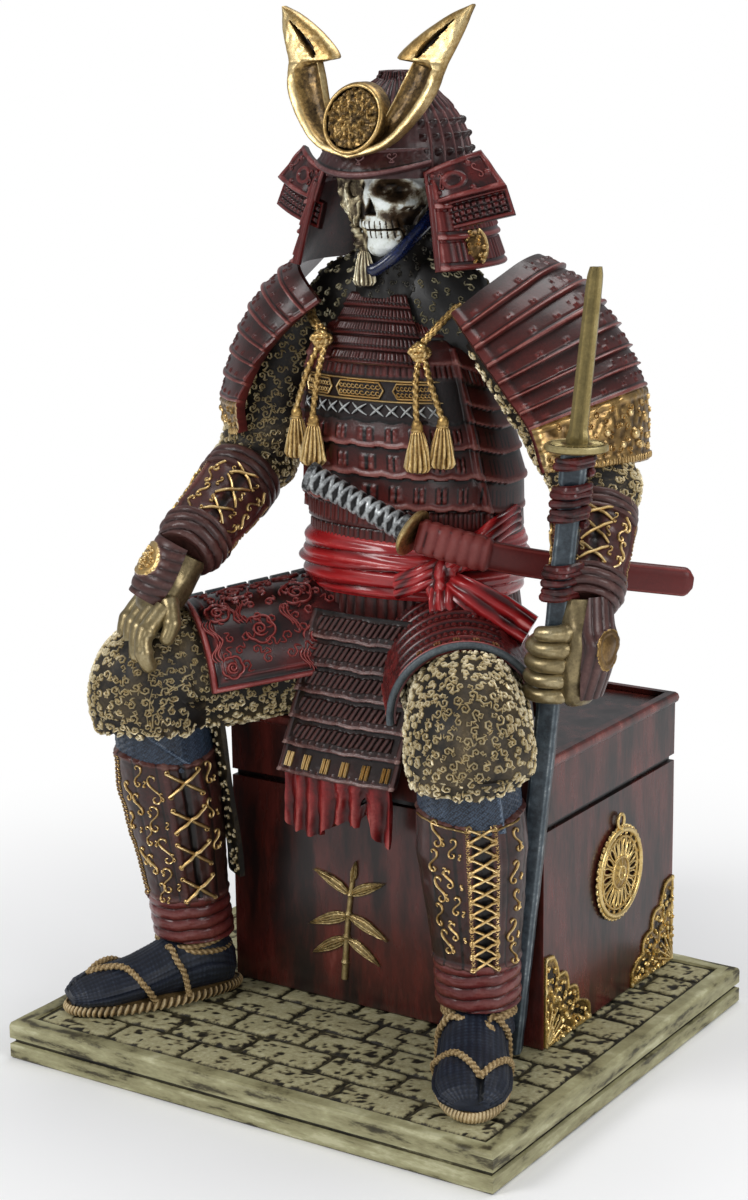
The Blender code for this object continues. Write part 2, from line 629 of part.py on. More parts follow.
def foot(name, side):
    """Split-toe sock on a straw sandal, turned a little outwards."""
    ankle = leg_points(side)[2]
    toe_turn = radians(34.0 if side < 0 else 30.0)
    ahead = Vector((side * sin(toe_turn), -cos(toe_turn), 0))
    across = Vector((-ahead.y, ahead.x, 0))
    floor = PLINTH_HEIGHT + CLEARANCE
    heel = Vector((ankle.x, ankle.y, floor)) - ahead * 15.0 - Vector((side * 1.5, 0, 0))
    outline = []
    for i in range(20):
        turn = 2 * pi * i / 20
        wide = SOLE_WIDTH / 2 * (0.86 + 0.14 * cos(turn))
        outline.append((FOOT_LENGTH / 2 * (1 + cos(turn)), wide * sin(turn)))
    rings = [[heel + ahead * x + across * y + Vector((0, 0, z)) for x, y in outline]
             for z in (0.0, SOLE_THICKNESS)]
    sandal = loft(name, rings, GILT)
    sock = limb("sock", [
        (heel + ahead * 4 + Vector((0, 0, SOLE_THICKNESS + 7)), 7.5, 7.5),
        (heel + ahead * 12 + Vector((0, 0, SOLE_THICKNESS + 10)), 11.0, 9.5),
        (heel + ahead * 22.4 + Vector((0, 0, SOLE_THICKNESS + 8.3)), 10.0, 9.5),
        (heel + ahead * 36 + Vector((0, 0, SOLE_THICKNESS + 5.0)), 6.6, 10.4),
        (heel + ahead * 49 + Vector((0, 0, SOLE_THICKNESS + 3.8)), 5.0, 10.6),
        (heel + ahead * (FOOT_LENGTH - 2.5) + Vector((0, 0, SOLE_THICKNESS + 2.6)), 3.2, 7.0)],
        12, BROCADE, collection=CUTTERS)
    return join(sandal, sock)


def thigh_plate(name, side):
    """Curved plate over the thigh: a plain embossed field inside and scale rows outside."""
    hip, knee, _ = leg_points(side)
    ahead = (knee - hip).normalized()
    inward = Vector((0, 0, 1)).cross(ahead).normalized() * -side
    up = ahead.cross(inward) * -side

    def surface(u, v):
        turn = radians(92 - 188 * u)
        radius = THIGH_RADIUS + 5.8 - 1.8 * v
        place = hip.lerp(knee, 0.16 + 0.66 * v)
        return place + inward * radius * sin(turn) + up * radius * cos(turn)
    return lames(name, surface, [0.0, 0.33, 0.66, 1.0], 8, PLATE_THICKNESS * side, 0.6 * side,
                 PLATE_RED)


def front_apron():
    """Hanging plate of six braided rows in front of the seat."""
    def surface(u, v):
        x = -19.5 + 3.0 * (1 - v) + APRON_WIDTH * u
        bow = 2.0 * (1 - (2 * u - 1) ** 2)
        return fig(x - 7.0 * v + 3.0, -1.0 - 6.5 * v - bow, 38.0 - APRON_LENGTH * v)
    edges = [i / APRON_ROWS for i in range(APRON_ROWS + 1)]
    return lames("front_apron", surface, edges, 6, LAME_THICKNESS, 0.8, ARMOUR)


def apron_cloth():
    """Torn red cloth gathered in folds under the apron."""
    folds = 18
    rings = []
    for v in (0.0, 0.4, 0.75, 1.0):
        front, back = [], []
        for i in range(folds + 1):
            u = i / folds
            depth = 1.1 * cos(pi * i) * v
            ragged = 3.5 * sin(2.3 * pi * u) * v
            height = 38.0 - APRON_LENGTH - CLEARANCE - (17.0 + ragged) * v + 1.4 * (1 - v)
            x = -22.0 + APRON_WIDTH * 0.92 * u
            y = -7.6 - 3.0 * (1 - (2 * u - 1) ** 2)
            front.append(fig(x, y + depth - 1.2, height))
            back.append(fig(x, y + depth + 1.2, height))
        rings.append(front + list(reversed(back)))
    return loft("apron_cloth", rings, SASH_RED)


# Arms
def arm_points(side):
    if side < 0:
        return (fig(-34.0, 25.0, 126.0), fig(-44.0, 24.0, 104.0), fig(-50.0, 19.0, 79.0),
                fig(-49.0, -22.0, 56.0), fig(-56.0, -30.0, 38.0))
    return (fig(38.0, 23.0, 122.0), fig(56.0, 26.0, 102.0), fig(73.0, 22.0, 80.0),
            fig(83.0, -4.0, 52.0), fig(78.5, -9.0, 33.0))


def sleeve(name, side):
    """Brocade sleeve and lacquered forearm guard with rolled cloth cuffs."""
    shoulder, upper, elbow, wrist, _ = arm_points(side)
    fore = wrist - elbow
    return limb(name, [
        (shoulder + Vector((-side * 8, 0, 0)), 11.0, 10.0), (shoulder, 12.5, 12.5), (upper, 13.5, 13.5),
        (upper.lerp(elbow, 0.6), 12.5, 12.5), (elbow + fore * 0.05, 11.5, 11.5),
        (elbow + fore * 0.2, 11.0, 11.0), (elbow + fore * 0.22, 12.6, 12.4),
        (elbow + fore * 0.34, 12.6, 12.4), (elbow + fore * 0.36, 11.2, 11.0),
        (elbow + fore * 0.8, 10.2, 10.0), (elbow + fore * 0.82, 11.4, 11.0),
        (elbow + fore * 0.95, 11.2, 11.0), (wrist, 8.0, 8.0)], 12, BROCADE, side=Vector((side, 0, 0.2)))


def right_hand():
    """Gloved hand that rests on the knee, fingers bent down over it."""
    wrist, palm = arm_points(-1)[3:]
    ahead = (palm - wrist).normalized()
    hand = limb("right_hand", [(wrist + ahead * 3, 7.5, 7.0), (wrist + ahead * 9, 9.5, 7.0),
                               (palm, 10.0, 6.5), (palm + ahead * 4, 9.0, 5.5)],
                10, GILT, side=Vector((1, -0.6, 0)))
    fingers = []
    for i, reach in enumerate((13.0, 15.0, 15.0, 12.0)):
        root = palm + Vector((-8.0 + 5.2 * i, 3.5 - 3.6 * i, -1.0)) + ahead * 2
        fingers.append(limb("finger", [(root, 2.7, 2.7),
                                       (root + Vector((-1.0, -4.5, -reach * 0.3)), 2.8, 2.8),
                                       (root + Vector((0.0, -5.0, -reach * 0.75)), 2.5, 2.5),
                                       (root + Vector((1.0, -3.0, -reach)), 1.8, 1.8)],
                            6, GILT, side=Vector((1, 0.1, 0)), collection=CUTTERS))
    thumb = limb("thumb", [(palm + Vector((8, -2, 4)), 3.0, 3.0), (palm + Vector((12, -6, -1)), 2.8, 2.8),
                           (palm + Vector((11, -9, -7)), 2.2, 2.2)], 8, GILT, side=Vector((0, 1, 0)),
                 collection=CUTTERS)
    return join(hand, *fingers, thumb)


def pole_line(height):
    """A place on the pole's axis, by its height above the plinth."""
    foot_at = Vector((59.0, CHEST_FRONT - POLE_WIDTH / 2 - 1.7, PLINTH_HEIGHT))
    lean = Vector((0.128, -0.032, 1.0))
    return foot_at + lean * height


def left_hand():
    """Gloved fist closed round the pole."""
    wrist, grip = arm_points(1)[3:]
    height = grip.z - PLINTH_HEIGHT
    fist = limb("left_hand", [(pole_line(height - 9), 7.0, 7.0), (pole_line(height - 6), 9.0, 8.5),
                              (pole_line(height + 6), 9.5, 9.0), (pole_line(height + 10), 8.0, 7.5)],
                12, GILT, side=Vector((0, 1, 0)))
    fingers = []
    for i in range(4):
        middle = pole_line(height - 6.5 + 4.4 * i)
        fingers.append(limb("finger", [(middle + Vector((-7.0, 2, 0)), 2.3, 2.3),
                                       (middle + Vector((-7.5, -5.5, 0)), 2.7, 2.7),
                                       (middle + Vector((0.3, -8.6, 0.2)), 2.8, 2.8),
                                       (middle + Vector((6.5, -5.5, 0.5)), 2.4, 2.4)],
                            6, GILT, collection=CUTTERS))
    palm = limb("palm", [(wrist.lerp(grip, 0.3), 7.0, 7.0), (grip + Vector((4, 4, 2)), 8.5, 8.0),
                         (grip + Vector((1, 2, -3)), 8.0, 7.0)], 10, GILT, side=Vector((0, 1, 0)),
                collection=CUTTERS)
    return join(fist, palm, *fingers)


GUARD_LINES = {
    1: ([(36, -1, 133), (47, -3, 121), (56, -3, 110), (63, -2, 100.5), (67, -1, 88)],
        [(46, 25, 147), (63, 26, 136.5), (74, 27, 122), (80.5, 27, 109.5), (82, 27, 88)],
        [(38, 49, 143), (53, 51, 133), (63, 52, 118), (69, 52, 105.5), (71, 51, 85)]),
    -1: ([(-15, 5, 133), (-27, 4, 124), (-37, 3, 113), (-44, 3, 100.0), (-45, 5, 90)],
         [(-29, 13, 144.5), (-45, 15, 132), (-56, 17, 116), (-62.5, 19, 99), (-60, 19, 87)],
         [(-40, 43, 143), (-56, 45, 129), (-66, 46, 115), (-72, 46, 100), (-70, 45, 86)]),
}


def shoulder_guard(name, side):
    """Seven lacquered lames that step down over the shoulder to a gilt plate."""
    lines = GUARD_LINES[side]

    def surface(u, v):
        front, middle, back = (blend([fig(*p) for p in line], v) for line in lines)
        if side < 0:
            u = 1 - u
        return front * (1 - u) * (1 - 2 * u) + middle * 4 * u * (1 - u) + back * u * (2 * u - 1)
    edges = [0.75 * i / LAME_COUNT for i in range(LAME_COUNT + 1)] + [1.0]
    return lames(name, surface, edges, 8, LAME_THICKNESS, LAME_LIP, ARMOUR)


# Head: everything on it is placed from the middle of the helmet's rim
def head(x, y, h):
    return fig(1.0 + x, 26.0 + y, HEAD_UP + 10.5 + h)


def skull():
    """Bare skull: sockets, nose hole, cheek bones and jaw, under the helmet."""
    cranium = limb("skull", [
        (head(1.0, -7.0, -24.5), 7.0, 5.0), (head(0.8, -7.5, -21.5), 8.8, 6.8),
        (head(0.6, -6.5, -16.5), 10.0, 8.6), (head(0.4, -5.0, -10.0), 12.2, 11.0),
        (head(0.2, -3.5, -5.0), 13.6, 13.0), (head(0, -1.0, 2.0), 14.5, 14.0),
        (head(0, 0, 6.0), 12.5, 12.5)], 14, BONE, side=Vector((0, 1, 0)))
    for x in (-5.8, 6.6):
        socket = limb("socket", [(head(x, -19, -4.2), 3.6, 3.4), (head(x * 0.9, -10, -4.2), 2.8, 2.6)],
                      10, BONE, collection=CUTTERS)
        combine(cranium, socket, "DIFFERENCE", "MANIFOLD")
    nose = limb("nose", [(head(0.9, -19, -9.8), 1.8, 2.4), (head(0.9, -11, -9.3), 1.2, 1.8)], 6, BONE,
                collection=CUTTERS)
    combine(cranium, nose, "DIFFERENCE", "MANIFOLD")
    neck = limb("neck", [(head(0, -2, -35), 11.5, 11.0), (head(0, -1, -18), 10.0, 10.0)], 12, BONE,
                side=Vector((0, 1, 0)), collection=CUTTERS)
    mask = limb("mask", [(head(-8.8, -13.4, -2.5), 3.2, 2.4), (head(-8.4, -14.6, -8.0), 3.6, 2.8),
                         (head(-5.4, -15.2, -14.0), 2.6, 2.2), (head(-4.0, -15.3, -20.0), 2.4, 2.0),
                         (head(-3.2, -15.2, -31.0), 2.6, 2.4)],
                8, GILT, side=Vector((0, 1, 0)), collection=CUTTERS)
    return join(cranium, neck, mask)


def helmet():
    """Ribbed bowl, a pleated crown piece and a peak over the brow."""
    ribs = 16
    rings = []
    for share, scale in ((0.0, 1.0), (0.2, 1.01), (0.45, 0.94), (0.68, 0.79), (0.88, 0.52)):
        ring = []
        for i in range(ribs * 2):
            turn = pi * i / ribs
            radius = HELMET_RADIUS * scale * (1.0 if i % 2 else 0.965)
            ring.append(head(radius * sin(turn), -radius * 1.04 * cos(turn), HELMET_HEIGHT * share))
        rings.append(ring)
    for height, radius in ((24.4, 11.8), (27.5, 6.0), (30.0, 1.8)):
        rings.append([head(radius * (1.0 if i % 2 else 0.88) * sin(pi * i / ribs),
                           -radius * (1.0 if i % 2 else 0.88) * cos(pi * i / ribs), height)
                      for i in range(ribs * 2)])
    bowl = loft("helmet", rings, ARMOUR)

    def peak_surface(u, v):
        turn = radians(-50 + 100 * u)
        radius = HELMET_RADIUS + 0.2 + 3.0 * v
        drop = 7.0 * v + 2.0 * v * sin(turn) ** 2
        return head(radius * sin(turn), -radius * 1.06 * cos(turn), 7.0 - drop)
    return join(bowl, lames("peak", peak_surface, [0.0, 1.0], 10, 1.6, 0.0, ARMOUR))


def neck_guard():
    """Three flared rows round the back of the neck, the upper ones turned back as flaps in front."""
    def surface(u, v):
        turn = radians(54 + 252 * u)
        radius = HELMET_RADIUS + 2.7 + 7.6 * v ** 0.8
        return head(radius * sin(turn), -radius * 1.04 * cos(turn), -0.5 - 27.0 * v)
    guard = lames("neck_guard", surface, [0.0, 0.33, 0.66, 1.0], 12, 1.8, 0.9, ARMOUR)
    flaps = []
    for side in (-1, 1):
        for corners in (((17.5, -14.0, 1.5), (32.0, -4.5, 8.0), (41.5, -5.5, -2.5), (20.5, -16.0, -8.5)),
                        ((19.0, -13.0, -8.9), (40.0, -3.0, -2.6), (43.5, -3.5, -11.0), (21.0, -13.5, -17.0))):
            def flap(u, v, corners=corners, side=side):
                top_in, top_out, low_out, low_in = (Vector(c) for c in corners)
                place = top_in.lerp(top_out, u).lerp(low_in.lerp(low_out, u), v)
                return head(side * place.x, place.y - 2.0 * sin(pi * u), place.z)
            flaps.append(lames("flap", flap, [0.0, 1.0], 4, 1.9 * side, 0.0, PLATE_RED))
    return join(guard, *flaps)


def helmet_crest():
    """Pair of broad gilt horns with barbed tips behind a round badge, leaning back as they rise."""
    centre = head(1.2, -23.6, 17.5)
    half = [(0.0, -0.36), (0.34, -0.26), (0.57, -0.05), (0.74, 0.21), (0.79, 0.4), (0.86, 0.57),
            (0.94, 0.8), (1.0, 1.0), (0.98, 1.02), (0.79, 0.94), (0.55, 0.785), (0.36, 0.63),
            (0.31, 0.545), (0.36, 0.52), (0.49, 0.5), (0.42, 0.34), (0.35, 0.15), (0.25, -0.03),
            (0.0, -0.12)]
    outline = half + [(-x, z) for x, z in reversed(half[1:-1])]
    outline = [(x * CREST_SPREAD, z * CREST_RISE * 0.75) for x, z in outline]
    lean = Matrix(((1, 0, 0), (0, 0.32, -1), (0, 1, 0))).to_4x4()
    lean.translation = (centre + Vector((0, 0.8, 0))) * MM
    horns = extrude_outline("helmet_crest", outline, CREST_THICKNESS, lean, GILT)
    badge_rings = []
    for radius, out in ((DISC_RADIUS - 0.5, 1.0), (DISC_RADIUS, -2.2), (DISC_RADIUS - 1.1, -3.0),
                        (DISC_RADIUS - 1.6, -2.2)):
        turns = [2 * pi * i / 20 for i in range(20)]
        badge_rings.append([centre + Vector((radius * sin(t), out + 0.25 * radius * cos(t), radius * cos(t)))
                            for t in turns])
    stem = limb("stem", [(centre + Vector((0, -0.5, -5)), 4.0, 3.0),
                         (centre + Vector((0, 8, -7)), 4.0, 3.0)], 8, GILT, collection=CUTTERS)
    return join(horns, loft("badge", badge_rings, GILT, CUTTERS), stem)


# Katana worn at the left hip
def katana_points():
    guard = fig(22.5, -1.7, 65.6)
    hilt_end = guard + Vector((-0.915, -0.1, 0.39)).normalized() * HILT_LENGTH
    tip = fig(94.0, 43.0, 49.5)
    return hilt_end, guard, tip


def katana_hilt():
    """Wrapped grip, oval in section, with a pommel cap."""
    end, guard, _ = katana_points()
    ahead = (guard - end).normalized()
    stop = guard - ahead * (KATANA_GUARD_THICKNESS / 2 + CLEARANCE)
    r = HILT_RADIUS
    return limb("katana_hilt", [(end, r * 0.7, r * 0.6), (end + ahead * 1.0, r, r * 0.9),
                                (end.lerp(stop, 0.5), r * 0.86, r * 0.8), (stop, r, r * 0.9)],
                10, STEEL_WRAP)


def katana_guard():
    """Oval hand guard between hilt and scabbard."""
    end, guard, _ = katana_points()
    ahead = (guard - end).normalized()
    half = ahead * KATANA_GUARD_THICKNESS / 2
    r = KATANA_GUARD_RADIUS
    return limb("katana_guard", [(guard - half, r, r * 1.25), (guard + half, r, r * 1.25)], 20, GILT)


def katana_scabbard():
    """Plain lacquered scabbard, gently curved, that leaves the sash at the back."""
    end, guard, tip = katana_points()
    ahead = (guard - end).normalized()
    start = guard + ahead * (KATANA_GUARD_THICKNESS / 2 + CLEARANCE)
    line = [start, start.lerp(tip, 0.3) + Vector((1.5, -2.5, -1.8)),
            start.lerp(tip, 0.65) + Vector((1, -1.5, -1.5)), tip]
    stations = []
    for i in range(7):
        t = i / 6
        taper = 0.8 if i == 6 else 1.0
        stations.append((blend(line, t), SCABBARD_HEIGHT / 2 * taper, SCABBARD_THICKNESS / 2))
    return limb("katana_scabbard", stations, 10, PLATE_RED, power=2.6)


# Pole arm held upright in the left hand
def pole_shaft():
    """Chamfered square shaft with bound lengths under its guard."""
    top = POLE_SHAFT_LENGTH
    rings = []
    half = POLE_WIDTH / 2
    for height, wide in ((CLEARANCE, half), (top - 54, half), (top - 46, half), (top - 45, half + 1.6),
                         (top - 34, half + 1.5), (top - 33, half + 0.3), (top - 22, half + 0.3),
                         (top - 21, half + 1.7), (top - 10, half + 1.5), (top - 9, half + 0.6),
                         (top - 6, half + 1.4), (top - CLEARANCE, half + 1.4)):
        centre = pole_line(height)
        c, s = cos(radians(20)), sin(radians(20))
        rings.append(oval(centre, Vector((c, s, 0)), Vector((-s, c, 0)), wide, wide, 8, 3.2))
    return loft("pole_shaft", rings, POLE_BLUE)


def pole_guard():
    """Oval guard seated on the shaft's top."""
    rings = []
    for share, radius in ((0.0, 0.8), (0.25, 1.0), (0.7, 1.0), (1.0, 0.8)):
        height = POLE_SHAFT_LENGTH + POLE_GUARD_THICKNESS * share
        rings.append(oval(pole_line(height), Vector((1, 0, 0)), Vector((0, 1, 0)),
                          POLE_GUARD_RADIUS * radius, POLE_GUARD_RADIUS * radius * 0.85, 20))
    return loft("pole_guard", rings, GILT)


def pole_blade():
    """Straight narrow blade with a squared tip."""
    low = POLE_SHAFT_LENGTH + POLE_GUARD_THICKNESS + CLEARANCE
    half = POLE_BLADE_WIDTH / 2
    rings = []
    for height, wide in ((low, half + 0.5), (low + 4, half), (low + POLE_BLADE_LENGTH - 1.5, half * 0.86),
                         (low + POLE_BLADE_LENGTH, half * 0.7)):
        rings.append(oval(pole_line(height), Vector((0.9, 0.3, 0)), Vector((-0.3, 0.9, 0)), wide,
                          wide * 0.7, 6))
    return loft("pole_blade", rings, GILT)


def tassel_cord(name, top, knot_at, ends):
    """Cord from the shoulder strap to a knot, then two strands that end in tassels."""
    r = CORD_RADIUS
    low_knot = knot_at + Vector((0, -0.5, -2.0))
    cord = limb(name, [(top, r, r), (top.lerp(knot_at, 0.5) + Vector((0, -1.5, 0)), r, r),
                       (knot_at + Vector((0, -0.5, 3)), r, r), (knot_at, r, r)], 6, GILT,
                side=Vector((0, 1, 0)))
    knot = limb("knot", [
        (knot_at + Vector((0, -0.4, 3.4)), 1.6, 1.6), (knot_at + Vector((0, -0.8, 1.2)), 2.6, 3.4),
        (knot_at + Vector((0, -0.8, -1.2)), 2.6, 3.4), (knot_at + Vector((0, -0.4, -3.4)), 1.6, 1.6)],
        8, GILT, side=Vector((0, 1, 0)), collection=CUTTERS)
    strands = []
    for end in ends:
        strands.append(limb("strand", [
            (low_knot, r, r), (low_knot.lerp(end, 0.4) + Vector((0, -1.6, 0)), r, r),
            (end + Vector((0, 0, TASSEL_LENGTH)), r, r),
            (end + Vector((0, 0, TASSEL_LENGTH * 0.9)), 2.4, 2.6),
            (end + Vector((0, -0.3, TASSEL_LENGTH * 0.4)), 3.0, 3.6), (end, 3.2, 4.3)],
            8, GILT, side=Vector((0, 1, 0)), collection=CUTTERS))
    return join(cord, knot, *strands)


plinth = stone_plinth()
box_seat = chest()
medallion = chest_medallion()
corner_bracket("front_corner_bracket", CHEST_FRONT, 1)
corner_bracket("rear_corner_bracket", CHEST_FRONT + CHEST_DEPTH, -1)
emblem = chest_emblem()

torso = torso_armour()
shaft = pole_shaft()
collar = pole_guard()
blade = pole_blade()
right_leg = trim(leg("right_leg", -1), box_seat, torso)
left_leg = trim(leg("left_leg", 1), box_seat, torso, shaft)
right_foot = trim(foot("right_foot", -1), right_leg)
left_foot = trim(foot("left_foot", 1), left_leg, shaft)

hilt = trim(katana_hilt(), torso)
tsuba = trim(katana_guard(), torso)
scabbard = trim(katana_scabbard(), torso, tsuba)
sash = trim(waist_sash(), torso, right_leg, left_leg, tsuba, scabbard)
apron = trim(front_apron(), torso, sash, right_leg, left_leg)
cloth = trim(apron_cloth(), apron, right_leg, left_leg, box_seat)
right_plate = trim(thigh_plate("right_thigh_plate", -1), box_seat, torso, sash, apron, right_leg)
left_plate = trim(thigh_plate("left_thigh_plate", 1), box_seat, torso, sash, apron, left_leg, shaft)
trim(sash, left_plate)

bib = trim(throat_guard(), torso)
right_grip = trim(right_hand(), right_leg, right_plate)
left_grip = trim(left_hand(), shaft, left_leg, left_plate)
right_arm = trim(sleeve("right_sleeve", -1), torso, right_plate, right_grip)
left_arm = trim(sleeve("left_sleeve", 1), torso, scabbard, shaft, left_plate, left_grip)
right_guard = trim(shoulder_guard("right_shoulder_guard", -1), torso, right_arm, bib)
left_guard = trim(shoulder_guard("left_shoulder_guard", 1), torso, left_arm, shaft, collar)

bone = trim(skull(), torso, bib)
bowl = trim(helmet(), bone)
nape = trim(neck_guard(), bone, torso, right_guard, left_guard)
trim(nape, bowl)
crest = trim(helmet_crest(), bowl)
right_cord = tassel_cord("right_tassel_cord", fig(-25, 14, 131), fig(-15.5, 9.4, 121.5),
                         [fig(-24, 5.6, 84), fig(-16.5, 3.4, 82.5)])
left_cord = tassel_cord("left_tassel_cord", fig(29, 16, 133.5), fig(20.0, 10.2, 119.5),
                        [fig(21.0, 4.4, 83.5), fig(28.5, 7.2, 85)])
trim(right_cord, torso, bib, right_guard, right_arm)
trim(left_cord, torso, bib, left_guard, left_arm)
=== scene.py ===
"""Looks of the seated samurai statuette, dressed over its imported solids.

The statuette is cast resin: relief is moulded, painted, washed with black and rubbed with gold.
Lengths inside the sections are millimetres; they become metres when a piece is made.
"""

from math import cos, pi, radians, sin

import bmesh
import bpy
import numpy as np
from mathutils import Matrix, Vector


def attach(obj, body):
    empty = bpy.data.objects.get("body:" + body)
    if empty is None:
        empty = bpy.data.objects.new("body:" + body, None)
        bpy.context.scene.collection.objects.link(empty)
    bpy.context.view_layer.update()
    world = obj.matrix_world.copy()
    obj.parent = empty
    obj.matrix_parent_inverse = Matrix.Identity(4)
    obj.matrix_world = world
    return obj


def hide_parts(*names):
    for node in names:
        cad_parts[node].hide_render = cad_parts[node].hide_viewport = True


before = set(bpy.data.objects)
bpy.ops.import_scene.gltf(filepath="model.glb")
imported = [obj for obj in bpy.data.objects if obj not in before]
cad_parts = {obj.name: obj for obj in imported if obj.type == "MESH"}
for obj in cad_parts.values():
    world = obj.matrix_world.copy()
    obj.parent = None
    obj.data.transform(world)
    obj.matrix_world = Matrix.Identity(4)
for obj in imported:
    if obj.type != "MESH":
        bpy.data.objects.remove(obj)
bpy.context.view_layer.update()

# The view and the light
# The photograph looks down a little from in front of the figure's left knee with a long lens.
# Broad lamps stand on both sides and above, as in a product studio, over a pale floor.
yaw, pitch, roll = radians(33.23), radians(13.67), radians(-0.7)
camera_back = Vector((sin(yaw) * cos(pitch), -cos(yaw) * cos(pitch), sin(pitch)))
level_right = (-camera_back).cross(Vector((0, 0, 1))).normalized()
level_up = level_right.cross(-camera_back)
lens_right = level_right * cos(roll) + level_up * sin(roll)
lens_up = level_up * cos(roll) - level_right * sin(roll)
camera_data = bpy.data.cameras.new("camera")
camera_data.lens = 74.11
camera_data.sensor_width = 36.0
camera_data.clip_start = 0.05
camera_data.clip_end = 20.0
camera = bpy.data.objects.new("camera", camera_data)
bpy.context.scene.collection.objects.link(camera)
camera.matrix_world = Matrix((lens_right, lens_up, camera_back)).transposed().to_4x4()
camera.location = (0.41484, -0.63563, 0.33038)
bpy.context.scene.camera = camera
bpy.context.scene.view_settings.view_transform = "Standard"

for lamp_name, lamp_at, lamp_size, lamp_power in (("key_lamp", (-0.55, -0.95, 0.85), 0.55, 7.0),
        ("side_lamp", (1.15, -0.25, 0.55), 0.6, 5.0), ("top_lamp", (0.1, 0.35, 1.2), 0.8, 6.0),
        ("front_lamp", (0.5, -1.3, 0.35), 0.5, 1.6)):
    lamp_data = bpy.data.lights.new(lamp_name, "AREA")
    lamp_data.shape = "DISK"
    lamp_data.size = lamp_size
    lamp_data.energy = lamp_power
    lamp = bpy.data.objects.new(lamp_name, lamp_data)
    lamp.location = lamp_at
    lamp.rotation_euler = (Vector((0, 0, 0.15)) - Vector(lamp_at)).to_track_quat("-Z", "Y").to_euler()
    bpy.context.scene.collection.objects.link(lamp)

world = bpy.data.worlds.new("studio")
bpy.context.scene.world = world
world.use_nodes = True
world_nodes, world_links = world.node_tree.nodes, world.node_tree.links
world_nodes.clear()
seen = world_nodes.new("ShaderNodeLightPath")
room = world_nodes.new("ShaderNodeBackground")
room.inputs["Color"].default_value = (0.9, 0.92, 0.95, 1)
room.inputs["Strength"].default_value = 0.36
paper = world_nodes.new("ShaderNodeBackground")
paper.inputs["Color"].default_value = (1, 1, 1, 1)
paper.inputs["Strength"].default_value = 1.0
shown = world_nodes.new("ShaderNodeMixShader")
world_out = world_nodes.new("ShaderNodeOutputWorld")
world_links.new(seen.outputs["Is Camera Ray"], shown.inputs["Fac"])
world_links.new(room.outputs[0], shown.inputs[1])
world_links.new(paper.outputs[0], shown.inputs[2])
world_links.new(shown.outputs[0], world_out.inputs["Surface"])

bpy.ops.object.select_all(action="DESELECT")
bpy.ops.mesh.primitive_circle_add(vertices=96, radius=3.0, fill_type="NGON", location=(0, 0, 0))
studio_floor = bpy.context.object
studio_floor.name = "studio_floor"
floor_paint = bpy.data.materials.new("floor_paper")
floor_paint.use_nodes = True
floor_nodes, floor_links = floor_paint.node_tree.nodes, floor_paint.node_tree.links
floor_shader = floor_nodes["Principled BSDF"]
floor_shader.inputs["Base Color"].default_value = (0.93, 0.93, 0.93, 1)
floor_shader.inputs["Roughness"].default_value = 0.9
floor_place = floor_nodes.new("ShaderNodeTexCoord")
floor_reach = floor_nodes.new("ShaderNodeVectorMath")
floor_reach.operation = "LENGTH"
floor_fade = floor_nodes.new("ShaderNodeMapRange")
floor_fade.interpolation_type = "SMOOTHSTEP"
floor_fade.inputs["From Min"].default_value = 0.11
floor_fade.inputs["From Max"].default_value = 0.32
floor_glow = floor_nodes.new("ShaderNodeEmission")
floor_ray = floor_nodes.new("ShaderNodeLightPath")
floor_share = floor_nodes.new("ShaderNodeMath")
floor_share.operation = "MULTIPLY"
floor_mix = floor_nodes.new("ShaderNodeMixShader")
floor_links.new(floor_place.outputs["Object"], floor_reach.inputs[0])
floor_links.new(floor_reach.outputs["Value"], floor_fade.inputs["Value"])
floor_links.new(floor_fade.outputs[0], floor_share.inputs[0])
floor_links.new(floor_ray.outputs["Is Camera Ray"], floor_share.inputs[1])
floor_links.new(floor_share.outputs[0], floor_mix.inputs["Fac"])
floor_links.new(floor_shader.outputs[0], floor_mix.inputs[1])
floor_links.new(floor_glow.outputs[0], floor_mix.inputs[2])
floor_links.new(floor_mix.outputs[0], floor_nodes["Material Output"].inputs["Surface"])
studio_floor.data.materials.append(floor_paint)

# The stone-look plinth
# A solid resin slab with a groove round its edge and rows of pitted paving inside a plain border.
# Every stone is cast with the slab; khaki paint over a black wash that stays in pits and joints.
MM = 0.001
BACK_MARK = 0.4


def fair(x):
    """A step from 0 to 1 with soft ends."""
    x = np.clip(x, 0.0, 1.0)
    return x * x * (3 - 2 * x)


def pick(kind, test):
    """In edit mode, select only the corners, edges or faces whose middle passes the test (in mm)."""
    mesh = bmesh.from_edit_mesh(bpy.context.edit_object.data)
    for everything in (mesh.faces, mesh.edges, mesh.verts):
        for thing in everything:
            thing.select = False
    for thing in getattr(mesh, kind):
        if kind == "verts":
            middle = thing.co
        elif kind == "edges":
            middle = (thing.verts[0].co + thing.verts[1].co) / 2
        else:
            middle = thing.calc_center_median()
        if test(middle / MM, thing):
            thing.select = True
    mesh.select_flush_mode()
    bmesh.update_edit_mesh(bpy.context.edit_object.data)


def start(name):
    """Name the primitive just added and settle its size, alone in the selection."""
    made = bpy.context.object
    made.name = name
    bpy.ops.object.select_all(action="DESELECT")
    made.select_set(True)
    bpy.ops.object.transform_apply(location=True, rotation=True, scale=True)
    return made


def cut_level(z):
    """Slice the shape being edited with a level plane, at a height in mm."""
    bpy.ops.mesh.select_all(action="SELECT")
    bpy.ops.mesh.bisect(plane_co=(0, 0, z * MM), plane_no=(0, 0, 1))


